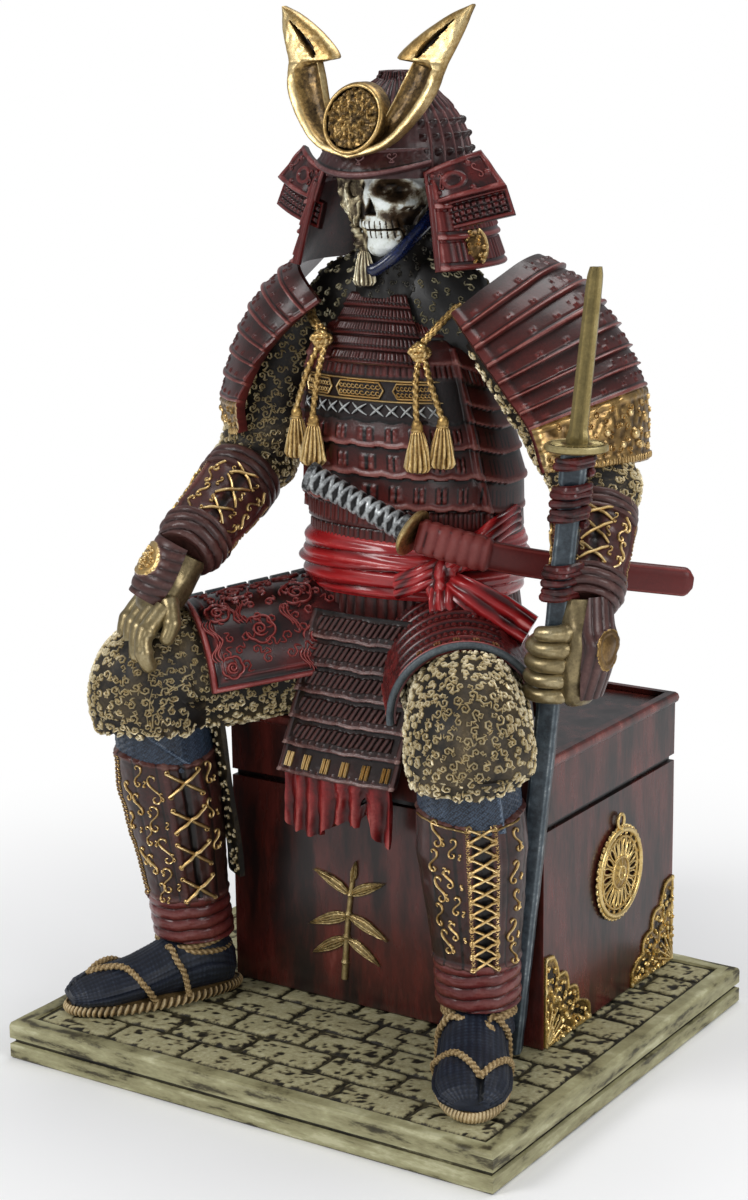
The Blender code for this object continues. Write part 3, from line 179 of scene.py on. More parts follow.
def grain(x, y, size, seed):
    """Smooth random heights from -1 to 1 that change over size."""
    table = np.random.default_rng(seed).uniform(-1, 1, (97, 89))
    gx, gy = np.asarray(x) / size + 500.3, np.asarray(y) / size + 500.7
    ix, iy = np.floor(gx).astype(int), np.floor(gy).astype(int)
    fx, fy = fair(gx - ix), fair(gy - iy)
    ix0, ix1, iy0, iy1 = ix % 97, (ix + 1) % 97, iy % 89, (iy + 1) % 89
    low = table[ix0, iy0] * (1 - fx) + table[ix1, iy0] * fx
    high = table[ix0, iy1] * (1 - fx) + table[ix1, iy1] * fx
    return low * (1 - fy) + high * fy


def form(points, quads, tris, relief, gilt, paint):
    """One closed shape, its faces turned outwards, with its paint marks."""
    points = np.asarray(points, float)
    quads = np.asarray(quads, int).reshape(-1, 4)
    tris = np.asarray(tris, int).reshape(-1, 3)
    a, b, c, d = (points[quads[:, i]] for i in range(4))
    volume = (a * np.cross(b, c)).sum() + (a * np.cross(c, d)).sum()
    if len(tris):
        a, b, c = (points[tris[:, i]] for i in range(3))
        volume += (a * np.cross(b, c)).sum()
    if volume < 0:
        quads, tris = quads[:, ::-1], tris[:, ::-1]
    count = len(points)
    relief, gilt = (np.broadcast_to(np.ravel(mark).astype(float), (count,)) for mark in (relief, gilt))
    return points, quads, tris, relief, gilt, paint


def grid_faces(rows, columns, wrap=False):
    """Corner numbers of the faces of a grid, open or joined round."""
    spans = columns if wrap else columns - 1
    r, c = np.meshgrid(np.arange(rows - 1), np.arange(spans), indexing="ij")
    beside = (c + 1) % columns
    return np.stack([r * columns + c, r * columns + beside, (r + 1) * columns + beside, (r + 1) * columns + c],
        -1).reshape(-1, 4)


def slab(face, back, relief=0.6, gilt=0.0, paint=0):
    """A thin cast wall between a worked face and its plain back, which takes every fourth line of its grid."""
    rows, columns = face.shape[:2]
    count = rows * columns
    number = np.arange(count).reshape(rows, columns)
    r, c = (np.unique(np.linspace(0, n - 1, (n + 2) // 4 + 1).round().astype(int)) for n in (rows, columns))
    back = back[r][:, c]
    plain = np.arange(back.shape[0] * back.shape[1]).reshape(back.shape[:2]) + count
    rim, plain_rim = (np.concatenate([n[0, :-1], n[:-1, -1], n[-1, :0:-1], n[:0:-1, 0]]) for n in (number, plain))
    wide, tall = columns - 1, rows - 1
    place = np.concatenate([c[:-1], wide + r[:-1], 2 * wide + tall - c[:0:-1], 2 * (wide + tall) - r[:0:-1]])
    held = plain_rim[np.searchsorted(place, np.arange(len(rim)), side="right") - 1]
    sides = np.concatenate([np.stack([rim, held, np.roll(rim, -1)], -1), np.stack([np.roll(rim[place], -1), plain_rim,
        np.roll(plain_rim, -1)], -1)])
    quads = np.concatenate([grid_faces(rows, columns), grid_faces(len(r), len(c))[:, ::-1] + count])
    relief, gilt = (np.broadcast_to(mark, (rows, columns)) for mark in (relief, gilt))
    relief = np.concatenate([relief.ravel(), np.full(len(r) * len(c), BACK_MARK)])
    gilt = np.concatenate([gilt.ravel(), gilt[r][:, c].ravel()])
    points = np.concatenate([face.reshape(-1, 3), back.reshape(-1, 3)])
    return form(points, quads, sides, relief, gilt, paint)


def sleeve_form(rings, relief=0.6, gilt=0.0, paint=0):
    """A solid through closed rings, with both ends capped."""
    rows, columns = rings.shape[:2]
    count = rows * columns
    points = np.concatenate([rings.reshape(-1, 3), rings[0].mean(0)[None], rings[-1].mean(0)[None]])
    here = np.arange(columns)
    after = np.roll(here, -1)
    last = (rows - 1) * columns
    tris = np.concatenate([np.stack([after, here, np.full(columns, count)], -1),
        np.stack([here + last, after + last, np.full(columns, count + 1)], -1)])
    marks = []
    for mark in (relief, gilt):
        mark = np.broadcast_to(mark, (rows, columns)).ravel()
        marks.append(np.concatenate([mark, mark[:1], mark[-1:]]))
    return form(points, grid_faces(rows, columns, True), tris, marks[0], marks[1], paint)


def piece(name, forms, finishes, nodes=(), smooth=50):
    """One object from cast forms, riding on the statuette and standing for its nodes."""
    points, faces, reliefs, gilts, paints = [], [], [], [], []
    base = 0
    for corners, quads, tris, relief, gilt, paint in forms:
        points.append(corners)
        faces += (quads + base).tolist() + (tris + base).tolist()
        paints += [paint] * (len(quads) + len(tris))
        reliefs.append(relief)
        gilts.append(gilt)
        base += len(corners)
    mesh = bpy.data.meshes.new(name)
    mesh.from_pydata((np.concatenate(points) * MM).tolist(), [], faces)
    for mark, values in (("relief", reliefs), ("gilt", gilts)):
        layer = mesh.attributes.new(mark, "FLOAT", "POINT")
        layer.data.foreach_set("value", np.concatenate(values).astype(np.float32))
    for finish in finishes:
        mesh.materials.append(finish)
    mesh.polygons.foreach_set("material_index", np.array(paints, np.int32))
    mesh.update()
    made = bpy.data.objects.new(name, mesh)
    bpy.context.scene.collection.objects.link(made)
    bpy.ops.object.select_all(action="DESELECT")
    made.select_set(True)
    bpy.context.view_layer.objects.active = made
    bpy.ops.object.shade_smooth_by_angle(angle=radians(smooth))
    hang_on(made, nodes)
    return made


def hang_on(made, nodes=()):
    """Fix a finished piece to the statuette and let it stand for its nodes."""
    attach(made, "root")
    if nodes:
        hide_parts(*nodes)


def mark_all(made, relief, gilt=0.0):
    """Give a piece made by hand the same marks as the cast forms."""
    for mark, value in (("relief", relief), ("gilt", gilt)):
        layer = made.data.attributes.new(mark, "FLOAT", "POINT")
        layer.data.foreach_set("value", np.full(len(made.data.vertices), value, np.float32))


def node(tree, kind, **settings):
    """A shader node with its plain settings."""
    made = tree.nodes.new(kind)
    for key, value in settings.items():
        setattr(made, key, value)
    return made


def sums(tree, how, first, second=None):
    """One arithmetic step between sockets or plain numbers."""
    made = node(tree, "ShaderNodeMath", operation=how)
    for i, term in enumerate((first, second)):
        if term is None:
            continue
        if isinstance(term, (int, float)):
            made.inputs[i].default_value = term
        else:
            tree.links.new(term, made.inputs[i])
    return made.outputs[0]


def cloudy(tree, size, detail=3.0, rough=0.6, stretch=None):
    """Noise in the piece's own space; size is in mm."""
    place = node(tree, "ShaderNodeTexCoord").outputs["Object"]
    if stretch:
        mapping = node(tree, "ShaderNodeMapping")
        mapping.inputs["Scale"].default_value = stretch
        tree.links.new(place, mapping.inputs["Vector"])
        place = mapping.outputs[0]
    made = node(tree, "ShaderNodeTexNoise")
    made.inputs["Scale"].default_value = 1000.0 / size
    made.inputs["Detail"].default_value = detail
    made.inputs["Roughness"].default_value = rough
    tree.links.new(place, made.inputs["Vector"])
    return made.outputs["Fac"]


def ramp(tree, value, stops):
    """Colours along a value from 0 to 1."""
    made = node(tree, "ShaderNodeValToRGB")
    bar = made.color_ramp
    while len(bar.elements) < len(stops):
        bar.elements.new(0.5)
    for element, (at, colour) in zip(bar.elements, stops):
        element.position = at
        element.color = (*colour, 1)
    tree.links.new(value, made.inputs["Fac"])
    return made.outputs["Color"]


GOLD = [(0.0, (0.03, 0.018, 0.008)), (0.3, (0.16, 0.09, 0.03)), (0.62, (0.52, 0.33, 0.11)), (1.0, (0.86, 0.66, 0.34))]


def painted(name, stops, rough=0.42, blotch=0.3, speck=0.35, size=9.0, coat=0.15, gold=GOLD, bump=0.25, metal=0.0,
        stretch=None, fine=0.8):
    """Painted resin: the wash stays in the hollows, the rubbing catches what stands proud.

    The piece's marks say how proud each place is and how much of it is gilt.
    """
    finish = bpy.data.materials.new(name)
    finish.use_nodes = True
    tree = finish.node_tree
    shader = tree.nodes["Principled BSDF"]
    proud = node(tree, "ShaderNodeAttribute", attribute_name="relief").outputs["Fac"]
    gilt = node(tree, "ShaderNodeAttribute", attribute_name="gilt").outputs["Fac"]
    broad = cloudy(tree, size, 4.0, 0.6, stretch)
    fleck = cloudy(tree, fine, 3.0, 0.65, stretch)
    level = sums(tree, "ADD", proud, sums(tree, "MULTIPLY", sums(tree, "SUBTRACT", broad, 0.5), blotch * 2))
    level = sums(tree, "ADD", level, sums(tree, "MULTIPLY", sums(tree, "SUBTRACT", fleck, 0.5), speck * 2))
    colour = ramp(tree, level, stops)
    worn_gilt = sums(tree, "ADD", gilt, sums(tree, "MULTIPLY", sums(tree, "SUBTRACT", fleck, 0.5), 0.5))
    share = node(tree, "ShaderNodeMapRange", interpolation_type="SMOOTHSTEP")
    share.inputs["From Min"].default_value = 0.3
    share.inputs["From Max"].default_value = 0.65
    tree.links.new(worn_gilt, share.inputs["Value"])
    mix = node(tree, "ShaderNodeMix", data_type="RGBA")
    tree.links.new(share.outputs[0], mix.inputs[0])
    tree.links.new(colour, mix.inputs[6])
    tree.links.new(ramp(tree, level, gold), mix.inputs[7])
    tree.links.new(mix.outputs[2], shader.inputs["Base Color"])
    shine = sums(tree, "MULTIPLY", share.outputs[0], 0.85)
    if metal:
        shine = sums(tree, "MAXIMUM", shine, metal)
    tree.links.new(shine, shader.inputs["Metallic"])
    tree.links.new(sums(tree, "ADD", sums(tree, "MULTIPLY", sums(tree, "SUBTRACT", 0.5, broad), 0.35), rough),
        shader.inputs["Roughness"])
    shader.inputs["Specular IOR Level"].default_value = 0.32
    shader.inputs["Coat Weight"].default_value = coat * 0.7
    shader.inputs["Coat Roughness"].default_value = 0.22
    if bump:
        lift = node(tree, "ShaderNodeBump")
        lift.inputs["Strength"].default_value = bump
        lift.inputs["Distance"].default_value = 0.0002
        tree.links.new(fleck, lift.inputs["Height"])
        tree.links.new(lift.outputs["Normal"], shader.inputs["Normal"])
    return finish


stone_paint = painted("khaki_stone_paint", [(0.0, (0.012, 0.010, 0.006)), (0.3, (0.06, 0.05, 0.028)),
    (0.5, (0.27, 0.24, 0.13)), (0.75, (0.38, 0.35, 0.20)), (1.0, (0.52, 0.50, 0.33))], rough=0.62, blotch=0.22,
    speck=0.42, size=7.0, coat=0.0, bump=0.5, fine=1.1)
border_paint = painted("khaki_border_paint", [(0.0, (0.012, 0.011, 0.006)), (0.32, (0.07, 0.06, 0.03)),
    (0.5, (0.25, 0.23, 0.12)), (0.8, (0.36, 0.34, 0.19)), (1.0, (0.5, 0.48, 0.3))], rough=0.5, blotch=0.26, speck=0.42,
    size=9.0, coat=0.05, bump=0.4, fine=1.3, stretch=(0.3, 0.3, 1.2))
plinth_w, plinth_d, plinth_h, border, bed = 180.0, 164.0, 12.7, 5.5, 0.9
bpy.ops.mesh.primitive_cube_add(size=1, location=(0, 0, plinth_h / 2 * MM))
bpy.context.object.scale = (plinth_w * MM, plinth_d * MM, plinth_h * MM)
plinth_slab = start("plinth_slab")
bpy.ops.object.mode_set(mode="EDIT")
for level in (0.6, 5.0, 5.7, 6.3, 7.0, 11.0, 11.7, 12.3):
    cut_level(level)
for level, pull in ((0.0, 0.5), (5.7, 1.3), (6.3, 1.3), (11.7, 0.15), (12.3, 0.5), (12.7, 1.3)):
    pick("verts", lambda at, thing: abs(at.z - level) < 0.05)
    bpy.ops.transform.resize(value=(1 - 2 * pull / plinth_w, 1 - 2 * pull / plinth_d, 1))
pick("faces", lambda at, thing: thing.normal.z > 0.9 and at.z > plinth_h - 0.1)
bpy.ops.mesh.inset(thickness=(border - 1.3) * MM)
bpy.ops.mesh.inset(thickness=0.5 * MM)
bpy.ops.transform.translate(value=(0, 0, -bed * MM))
bpy.ops.mesh.inset(thickness=0.8 * MM)
bpy.ops.mesh.select_all(action="DESELECT")
pick("edges", lambda at, thing: thing.calc_length() > 100 * MM)
bpy.ops.mesh.subdivide(number_cuts=18)
bpy.ops.object.mode_set(mode="OBJECT")
mark_all(plinth_slab, 0.62)
corner_at = np.array([corner.co for corner in plinth_slab.data.vertices]) / MM
x, y, z = corner_at.T
along = np.where(np.abs(np.abs(y) - plinth_d / 2) < np.abs(np.abs(x) - plinth_w / 2), x, y)
worn = grain(along, z * 3, 6.0, 4) * 0.3 + grain(along, z, 2.0, 5) * 0.3
inside = (np.abs(x) < plinth_w / 2 - border - 0.4) & (np.abs(y) < plinth_d / 2 - border - 0.4) & (z > 11)
edge = np.where(inside | ((z > 5.5) & (z < 6.5)), 0.1, np.where(z < 0.5, 0.3, 0.62))
chips = (edge + worn * np.where(inside, 0.3, 1.0)).astype(np.float32)
plinth_slab.data.attributes["relief"].data.foreach_set("value", chips)
corner_at[:, 2] += np.where(~inside & (z > 12), worn * 0.35, 0)
plinth_slab.data.vertices.foreach_set("co", (corner_at * MM).astype(np.float32).ravel())
plinth_slab.data.materials.append(border_paint)
bpy.ops.object.shade_smooth_by_angle(angle=radians(30))
hang_on(plinth_slab, ["stone_plinth"])

stone_forms = []
inner_w, inner_d = plinth_w / 2 - border - 0.9, plinth_d / 2 - border - 0.9
courses, per_course = 11, 6
course_w, stone_l = 2 * inner_d / courses, 2 * inner_w / per_course
for row in range(courses):
    joints = [-inner_w + stone_l * (i + 0.5 * (row % 2)) for i in range(per_course + 1)]
    joints = [-inner_w] + [x for x in joints if abs(x) < inner_w - stone_l / 4] + [inner_w]
    low_y = -inner_d + course_w * row
    for west, east in zip(joints, joints[1:]):
        nx, ny = max(8, int((east - west) / 0.85)), 16
        s, t = np.meshgrid(np.linspace(-1, 1, nx), np.linspace(-1, 1, ny))
        half_x, half_y = (east - west) / 2 - 0.6, course_w / 2 - 0.6
        trim = 1 - 0.10 * (np.abs(s * t)) ** 6
        x = (west + east) / 2 + s * half_x * (1 - (1 - trim) * 0.35)
        y = low_y + course_w / 2 + t * half_y * trim
        x, y = x + grain(x, y, 3.5, 11) * 0.22, y + grain(x, y, 3.0, 12) * 0.22
        edge = np.minimum((1 - np.abs(s)) * half_x, (1 - np.abs(t)) * half_y)
        round_off = (1 - fair(edge / 1.1)) * 0.55
        pits = np.clip(grain(x, y, 1.7, 13) + 0.6 * grain(x, y, 0.9, 14) - 0.42, 0, 1)
        long_pits = np.clip(grain(x * 0.45, y, 1.5, 15) + 0.5 * grain(x, y, 3.6, 17) - 0.5, 0, 1)
        dip = np.minimum(pits + long_pits, 1.0)
        z = plinth_h - 0.1 - round_off - dip * 0.6 + grain(x, y, 5.0, 16) * 0.12
        face = np.stack([x, y, z], -1)
        under = np.stack([x, y, np.full_like(z, plinth_h - bed - 0.3)], -1)
        stone_forms.append(slab(face, under, 0.74 - round_off * 0.7 - dip * 1.5, 0.0))
piece("paving_stones", stone_forms, [stone_paint], ["stone_plinth"], 60)

# The chest
# A lidded box with a moulded lid line, a rolled rim and a shallow tray on top, where the figure sits.
# It is cast with the plinth and painted oxblood, rubbed with black along grain and edges.
chest_low, chest_high = np.array((-49.5, -13.0, 12.7)), np.array((67.5, 75.5, 107.0))
chest_size, chest_middle = chest_high - chest_low, (chest_low + chest_high) / 2
chest_paint = painted("oxblood_chest_paint", [(0.0, (0.002, 0.001, 0.001)), (0.32, (0.014, 0.005, 0.004)),
    (0.52, (0.052, 0.011, 0.008)), (0.78, (0.115, 0.020, 0.015)), (1.0, (0.24, 0.07, 0.055))], rough=0.3, blotch=0.62,
    speck=0.16, size=17.0, coat=0.5, stretch=(2.2, 2.2, 0.5), bump=0.12, fine=2.4)
bpy.ops.mesh.primitive_cube_add(size=1, location=chest_middle * MM)
bpy.context.object.scale = chest_size * MM
chest_box = start("chest_box")
bpy.ops.object.mode_set(mode="EDIT")
for level in (13.3, 30.0, 48.0, 66.0, 83.5, 83.9, 85.3, 85.7, 103.2, 103.8, 105.0, 106.3):
    cut_level(level)
for step in (-57.3, -56.0, -38.0, -19.0, 0.0, 19.0, 38.0, 56.0, 57.3):
    for axis, share in ((0, 1.0), (1, chest_size[1] / chest_size[0])):
        spot, facing = chest_middle.copy(), np.zeros(3)
        spot[axis] += step * share
        facing[axis] = 1
        bpy.ops.mesh.select_all(action="SELECT")
        bpy.ops.mesh.bisect(plane_co=spot * MM, plane_no=facing)
for level, pull in ((12.7, 0.4), (83.5, 0.05), (83.9, 1.3), (85.3, 1.3), (85.7, 0.05), (103.8, -0.7), (105.0, -1.0),
        (106.3, -0.7), (107.0, 0.0)):
    pick("verts", lambda at, thing: abs(at.z - level) < 0.05)
    bpy.ops.transform.resize(value=(1 - 2 * pull / chest_size[0], 1 - 2 * pull / chest_size[1], 1),
        center_override=(*(chest_middle[:2] * MM), level * MM))
pick("faces", lambda at, thing: thing.normal.z > 0.9 and at.z > 106.9 and abs(at.x
    - chest_middle[0]) < 57.5 and abs(at.y - chest_middle[1]) < 43.3)
bpy.ops.mesh.inset(thickness=1.4 * MM)
bpy.ops.mesh.inset(thickness=0.5 * MM)
bpy.ops.transform.translate(value=(0, 0, -1.9 * MM))
bpy.ops.mesh.inset(thickness=0.5 * MM)
bpy.ops.object.mode_set(mode="OBJECT")
mark_all(chest_box, 0.5)
x, y, z = (np.array([corner.co for corner in chest_box.data.vertices]) / MM).T
outer_x, outer_y = np.abs(x - chest_middle[0]) - chest_size[0] / 2, np.abs(y - chest_middle[1]) - chest_size[1] / 2
corner_edge = (outer_x > -0.6) & (outer_y > -0.6)
chips = (0.5 + 0.22 * corner_edge + 0.24 * ((z > 104.5) & (z < 106.9) & ((outer_x > -0.5) | (outer_y > -0.5))) - 0.45
    * ((z > 83.7) & (z < 85.5)) - 0.22 * (z < 13) + 0.14 * grain(x + y, z, 14.0, 181) - 0.18
    * ((z < 106.0) & (z > 104.9) & (outer_x < -2) & (outer_y < -2)))
chest_box.data.attributes["relief"].data.foreach_set("value", chips.astype(np.float32))
chest_box.data.materials.append(chest_paint)
bpy.ops.object.shade_smooth_by_angle(angle=radians(32))
hang_on(chest_box, ["chest"])

# The cuirass and the neck above it
# The body armour: lacquered rows laced together, a black band with gold cartouches across the chest
# and smooth plates under the arms. It is cast with the body, painted oxblood and rubbed grey.


def hump(x, middle, width):
    """A round ridge, 1 at its middle and 0 one width away."""
    return np.sqrt(np.clip(1 - ((x - middle) / width) ** 2, 0, 1))


def raised(grid, off, rise):
    """A grid pushed out along its directions, in mm."""
    return grid + off * np.asarray(rise)[..., None]


def wrapped(grid, relief=0.6, gilt=0.0, paint=0):
    """A solid through rings whose last point repeats the first."""
    return sleeve_form(grid[:, :-1], np.broadcast_to(relief, grid.shape[:2])[:, :-1], gilt, paint)


seat_z, chest_front = 107.0, -13.0
body_stations = np.array([(-1.7, 2.0, 36.0, 33.0, 27.0), (8.0, 2.0, 35.0, 36.0, 29.5), (22.0, 2.0, 32.0, 36.0, 28.5),
    (41.0, 2.5, 31.0, 34.0, 26.0), (59.0, 3.0, 31.0, 34.0, 25.5), (78.0, 3.0, 31.0, 35.5, 26.0), (93.0, 1.5, 29.5, 35.0,
    24.0), (108.0, 0.0, 28.5, 32.0, 20.5), (119.0, 0.0, 27.5, 28.0, 18.0), (127.0, 0.0, 26.5, 19.0, 12.5),
    (137.0, 0.0, 25.5, 11.0, 8.5)])


def fig(x, y, h):
    """Points on the figure: x to its left, y back from the chest's front, h up from the lid."""
    return np.stack(np.broadcast_arrays(np.asarray(x, float), np.asarray(y, float) + chest_front, np.asarray(h, float)
        + seat_z), -1)


def body_skin(turn, h, out=0.0):
    """The body's skin, by turn in degrees from the front towards the figure's left."""
    turn, h = np.broadcast_arrays(np.radians(turn), np.asarray(h, float))
    x, y, wide, deep = (np.interp(h, body_stations[:, 0], body_stations[:, i]) for i in (1, 2, 3, 4))
    across = np.abs(np.sin(turn)) ** (2 / 2.3) * np.sign(np.sin(turn))
    ahead = np.abs(np.cos(turn)) ** (2 / 2.3) * np.sign(np.cos(turn))
    return fig(x + (wide + out) * across, y - (deep + out) * ahead, h)


def outward(grid, wrap=False, away=None):
    """Unit directions off a surface, away from a point or from the middle of each ring."""
    down = np.gradient(grid, axis=0)
    beside = np.roll(grid, -1, 1) - np.roll(grid, 1, 1) if wrap else np.gradient(grid, axis=1)
    off = np.cross(beside, down)
    off /= np.linalg.norm(off, axis=-1, keepdims=True) + 1e-9
    middle = grid.mean(1, keepdims=True) if away is None else np.asarray(away, float)
    facing = np.sign((off * (grid - middle)).sum(-1).mean())
    return off * (facing if facing else 1.0)


def lay(grid, off, u, v, lift=0.0):
    """Points and directions on a worked surface, at shares u across and v down it."""
    rows, columns = grid.shape[:2]
    x, y = np.clip(u, 0, 1) * (columns - 1), np.clip(v, 0, 1) * (rows - 1)
    i, j = np.minimum(x.astype(int), columns - 2), np.minimum(y.astype(int), rows - 2)
    f, g = (x - i)[..., None], (y - j)[..., None]

    def read(values):
        return ((values[j, i] * (1 - f) + values[j, i + 1] * f) * (1 - g) + (values[j + 1, i] * (1 - f)
            + values[j + 1, i + 1] * f) * g)
    direction = read(off)
    return read(grid) + direction * np.asarray(lift)[..., None], direction


def beads(paths, directions, width, height, gilt=1.0, paint=0, taper=0.35, low=0.15, sharp=False):
    """Raised round lines laid on a surface; paths holds many lines of as many points."""
    paths, directions = np.asarray(paths, float), np.asarray(directions, float)
    if paths.ndim == 2:
        paths, directions = paths[None], directions[None]
    count, length = paths.shape[:2]
    ahead = np.gradient(paths, axis=1)
    across = np.cross(ahead, directions)
    across /= np.linalg.norm(across, axis=-1, keepdims=True) + 1e-9
    section = np.array([(-1.0, -0.35), (-0.72, 0.55), (0.0, 1.0), (0.72, 0.55), (1.0, -0.35)])
    marks = np.array([low, 0.6, 0.95, 0.6, low])
    if sharp:
        section, marks = np.array([(-0.95, -0.35), (0.0, 0.95), (0.95, -0.35)]), np.array([low + 0.25, 0.95, low
            + 0.25])
    n = len(section)
    size = np.ones(length)
    if taper < 1:
        size = taper + (1 - taper) * np.clip(np.minimum(np.arange(length), np.arange(length)[::-1]) / 2.0, 0, 1)
    width = np.asarray(width, float) * size
    points = (paths[:, :, None] + across[:, :, None] * (section[:, 0] * width[:, None])[None, :, :, None]
        + directions[:, :, None] * (section[:, 1] * height * size[:, None])[None, :, :, None])
    i, k = np.meshgrid(np.arange(length - 1), np.arange(n), indexing="ij")
    quads = np.stack([i * n + k, i * n + (k + 1) % n, (i + 1) * n + (k + 1) % n, (i + 1) * n + k], -1).reshape(-1, 4)
    end = (length - 1) * n
    tris = np.array([(0, j + 1, j) for j in range(1, n - 1)] + [(end, end + j, end + j + 1) for j in range(1, n - 1)])
    step = (np.arange(count) * length * n)[:, None, None]
    return form(points.reshape(-1, 3), (quads[None] + step).reshape(-1, 4), (tris[None] + step).reshape(-1, 3),
        np.tile(marks, count * length), gilt, paint)


def rope(path, radius, sides=7, gilt=0.0, paint=0, relief=0.6, lumps=0.0, lump_length=2.0):
    """A round cord along a path; lumps gives it the swell of twisted strands."""
    path = np.asarray(path, float)
    ahead = np.gradient(path, axis=0)
    ahead /= np.linalg.norm(ahead, axis=1, keepdims=True) + 1e-9
    across = np.cross(ahead[0], (0.31, 0.52, 0.79))
    rings, marks = [], []
    reach = np.concatenate([[0], np.cumsum(np.linalg.norm(np.diff(path, axis=0), axis=1))])
    radius = np.broadcast_to(radius, len(path))
    turn = np.arange(sides) * 2 * pi / sides
    for at, way, r, s in zip(path, ahead, radius, reach):
        across = across - way * across.dot(way)
        across /= np.linalg.norm(across) + 1e-9
        along = np.cross(way, across)
        swell = np.cos(2 * (turn + s * pi / lump_length)) if lumps else 0 * turn
        rings.append(at + (across * np.cos(turn)[:, None] + along * np.sin(turn)[:, None])
            * (r * (1 + lumps * swell))[:, None])
        marks.append(relief + 0.3 * swell)
    return sleeve_form(np.array(rings), np.array(marks), gilt, paint)


def curve_through(points, count):
    """A smooth line through points, read evenly."""
    points = np.asarray(points, float)
    spans = len(points) - 1
    t = np.linspace(0, spans, count)
    i = np.minimum(t.astype(int), spans - 1)
    f = (t - i)[:, None]
    padded = np.concatenate([[2 * points[0] - points[1]], points, [2 * points[-1] - points[-2]]])
    p0, p1, p2, p3 = padded[i], padded[i + 1], padded[i + 2], padded[i + 3]
    return 0.5 * (2 * p1 + (p2 - p0) * f + (2 * p0 - 5 * p1 + 4 * p2 - p3) * f * f + (3 * p1 - p0 - 3 * p2 + p3)
        * f ** 3)


def curls(grid, off, allowed, pitch, size, width, height, seed, gilt=1.0, paint=0, length=12):
    """Scrollwork: spirals with hooked tails, scattered evenly where allowed(u, v) says so."""
    rng = np.random.default_rng(seed)
    rows, columns = grid.shape[:2]
    across, down = np.gradient(grid, axis=1), np.gradient(grid, axis=0)
    area = np.linalg.norm(np.cross(across, down), axis=-1)[:-1, :-1].ravel()
    cell = rng.choice(len(area), 12000, p=area / area.sum())
    tries = np.stack([(cell % (columns - 1) + rng.uniform(0, 1, 12000)) / (columns - 1), (cell // (columns - 1)
        + rng.uniform(0, 1, 12000)) / (rows - 1)], -1)
    at, direction = lay(grid, off, tries[:, 0], tries[:, 1])
    good = np.nonzero(allowed(tries[:, 0], tries[:, 1], at))[0]
    kept = []
    for i in good:
        if not kept or np.min(((at[kept] - at[i]) ** 2).sum(1)) > pitch * pitch:
            kept.append(i)
    if not kept:
        return []
    seeds = tries[kept]
    step_u, step_v = np.linalg.norm(across, axis=-1) * (columns - 1), np.linalg.norm(down, axis=-1) * (rows - 1)
    ui, vi = (seeds[:, 0] * (columns - 1)).astype(int), (seeds[:, 1] * (rows - 1)).astype(int)
    scale_u, scale_v = np.maximum(step_u[vi, ui], 3.0), np.maximum(step_v[vi, ui], 3.0)
    t = np.linspace(0, 1, length)
    spin = np.where(t < 0.68, t / 0.68, 1.0) * 2.6 * pi
    radius = np.where(t < 0.68, 0.18 + 0.82 * t / 0.68, 1.0 + (t - 0.68) * 2.3)
    hand = rng.choice([-1, 1], len(kept))[:, None]
    turn = rng.uniform(0, 2 * pi, len(kept))[:, None]
    spin_all = spin[None] - np.where(t > 0.68, (t - 0.68) * 2.4, 0)[None]
    amount = size * rng.uniform(0.8, 1.15, len(kept))[:, None] * radius[None]
    x = amount * np.cos(spin_all * hand + turn)
    y = amount * np.sin(spin_all * hand + turn)
    u, v = seeds[:, :1] + x / scale_u[:, None], seeds[:, 1:] + y / scale_v[:, None]
    closed = np.abs(grid[:, 0] - grid[:, -1]).max() < 0.8
    inside = ((closed | ((u > 0.002) & (u < 0.998))) & (v > 0.002) & (v < 0.998)).all(1)
    lines, ways = lay(grid, off, u % 1 if closed else u, v, np.full(u.shape, height * 0.2))
    return [beads(lines[inside], ways[inside], width, height, gilt, paint, sharp=True)] if inside.any() else []


RED_STOPS = [(0.0, (0.002, 0.001, 0.001)), (0.32, (0.021, 0.005, 0.004)), (0.58, (0.072, 0.011, 0.009)),
    (0.82, (0.13, 0.022, 0.018)), (1.0, (0.26, 0.095, 0.08))]
armour_paint = painted("oxblood_armour_paint", RED_STOPS, rough=0.36, blotch=0.22, speck=0.16, size=11.0, coat=0.3,
    fine=0.7)
black_scroll_paint = painted("black_scroll_paint", [(0.0, (0.003, 0.003, 0.003)), (0.5, (0.012, 0.011, 0.010)),
    (1.0, (0.06, 0.055, 0.05))], rough=0.45, gold=[(0.0, (0.012, 0.010, 0.007)), (0.35, (0.09, 0.075, 0.04)),
    (0.65, (0.34, 0.30, 0.19)), (1.0, (0.72, 0.68, 0.5))], fine=0.7)
silver_lace_paint = painted("silver_lace_paint", [(0.0, (0.01, 0.01, 0.01)), (0.5, (0.2, 0.21, 0.21)),
    (1.0, (0.72, 0.75, 0.74))], rough=0.4, metal=0.3)


def row_profile(share, lip=0.95, roll=0.3):
    """How far a laced row stands out, from its tucked top to its rolled lower edge."""
    return 0.15 + (lip - 0.15) * share ** 1.1 + roll * hump(share, 0.9, 0.09)


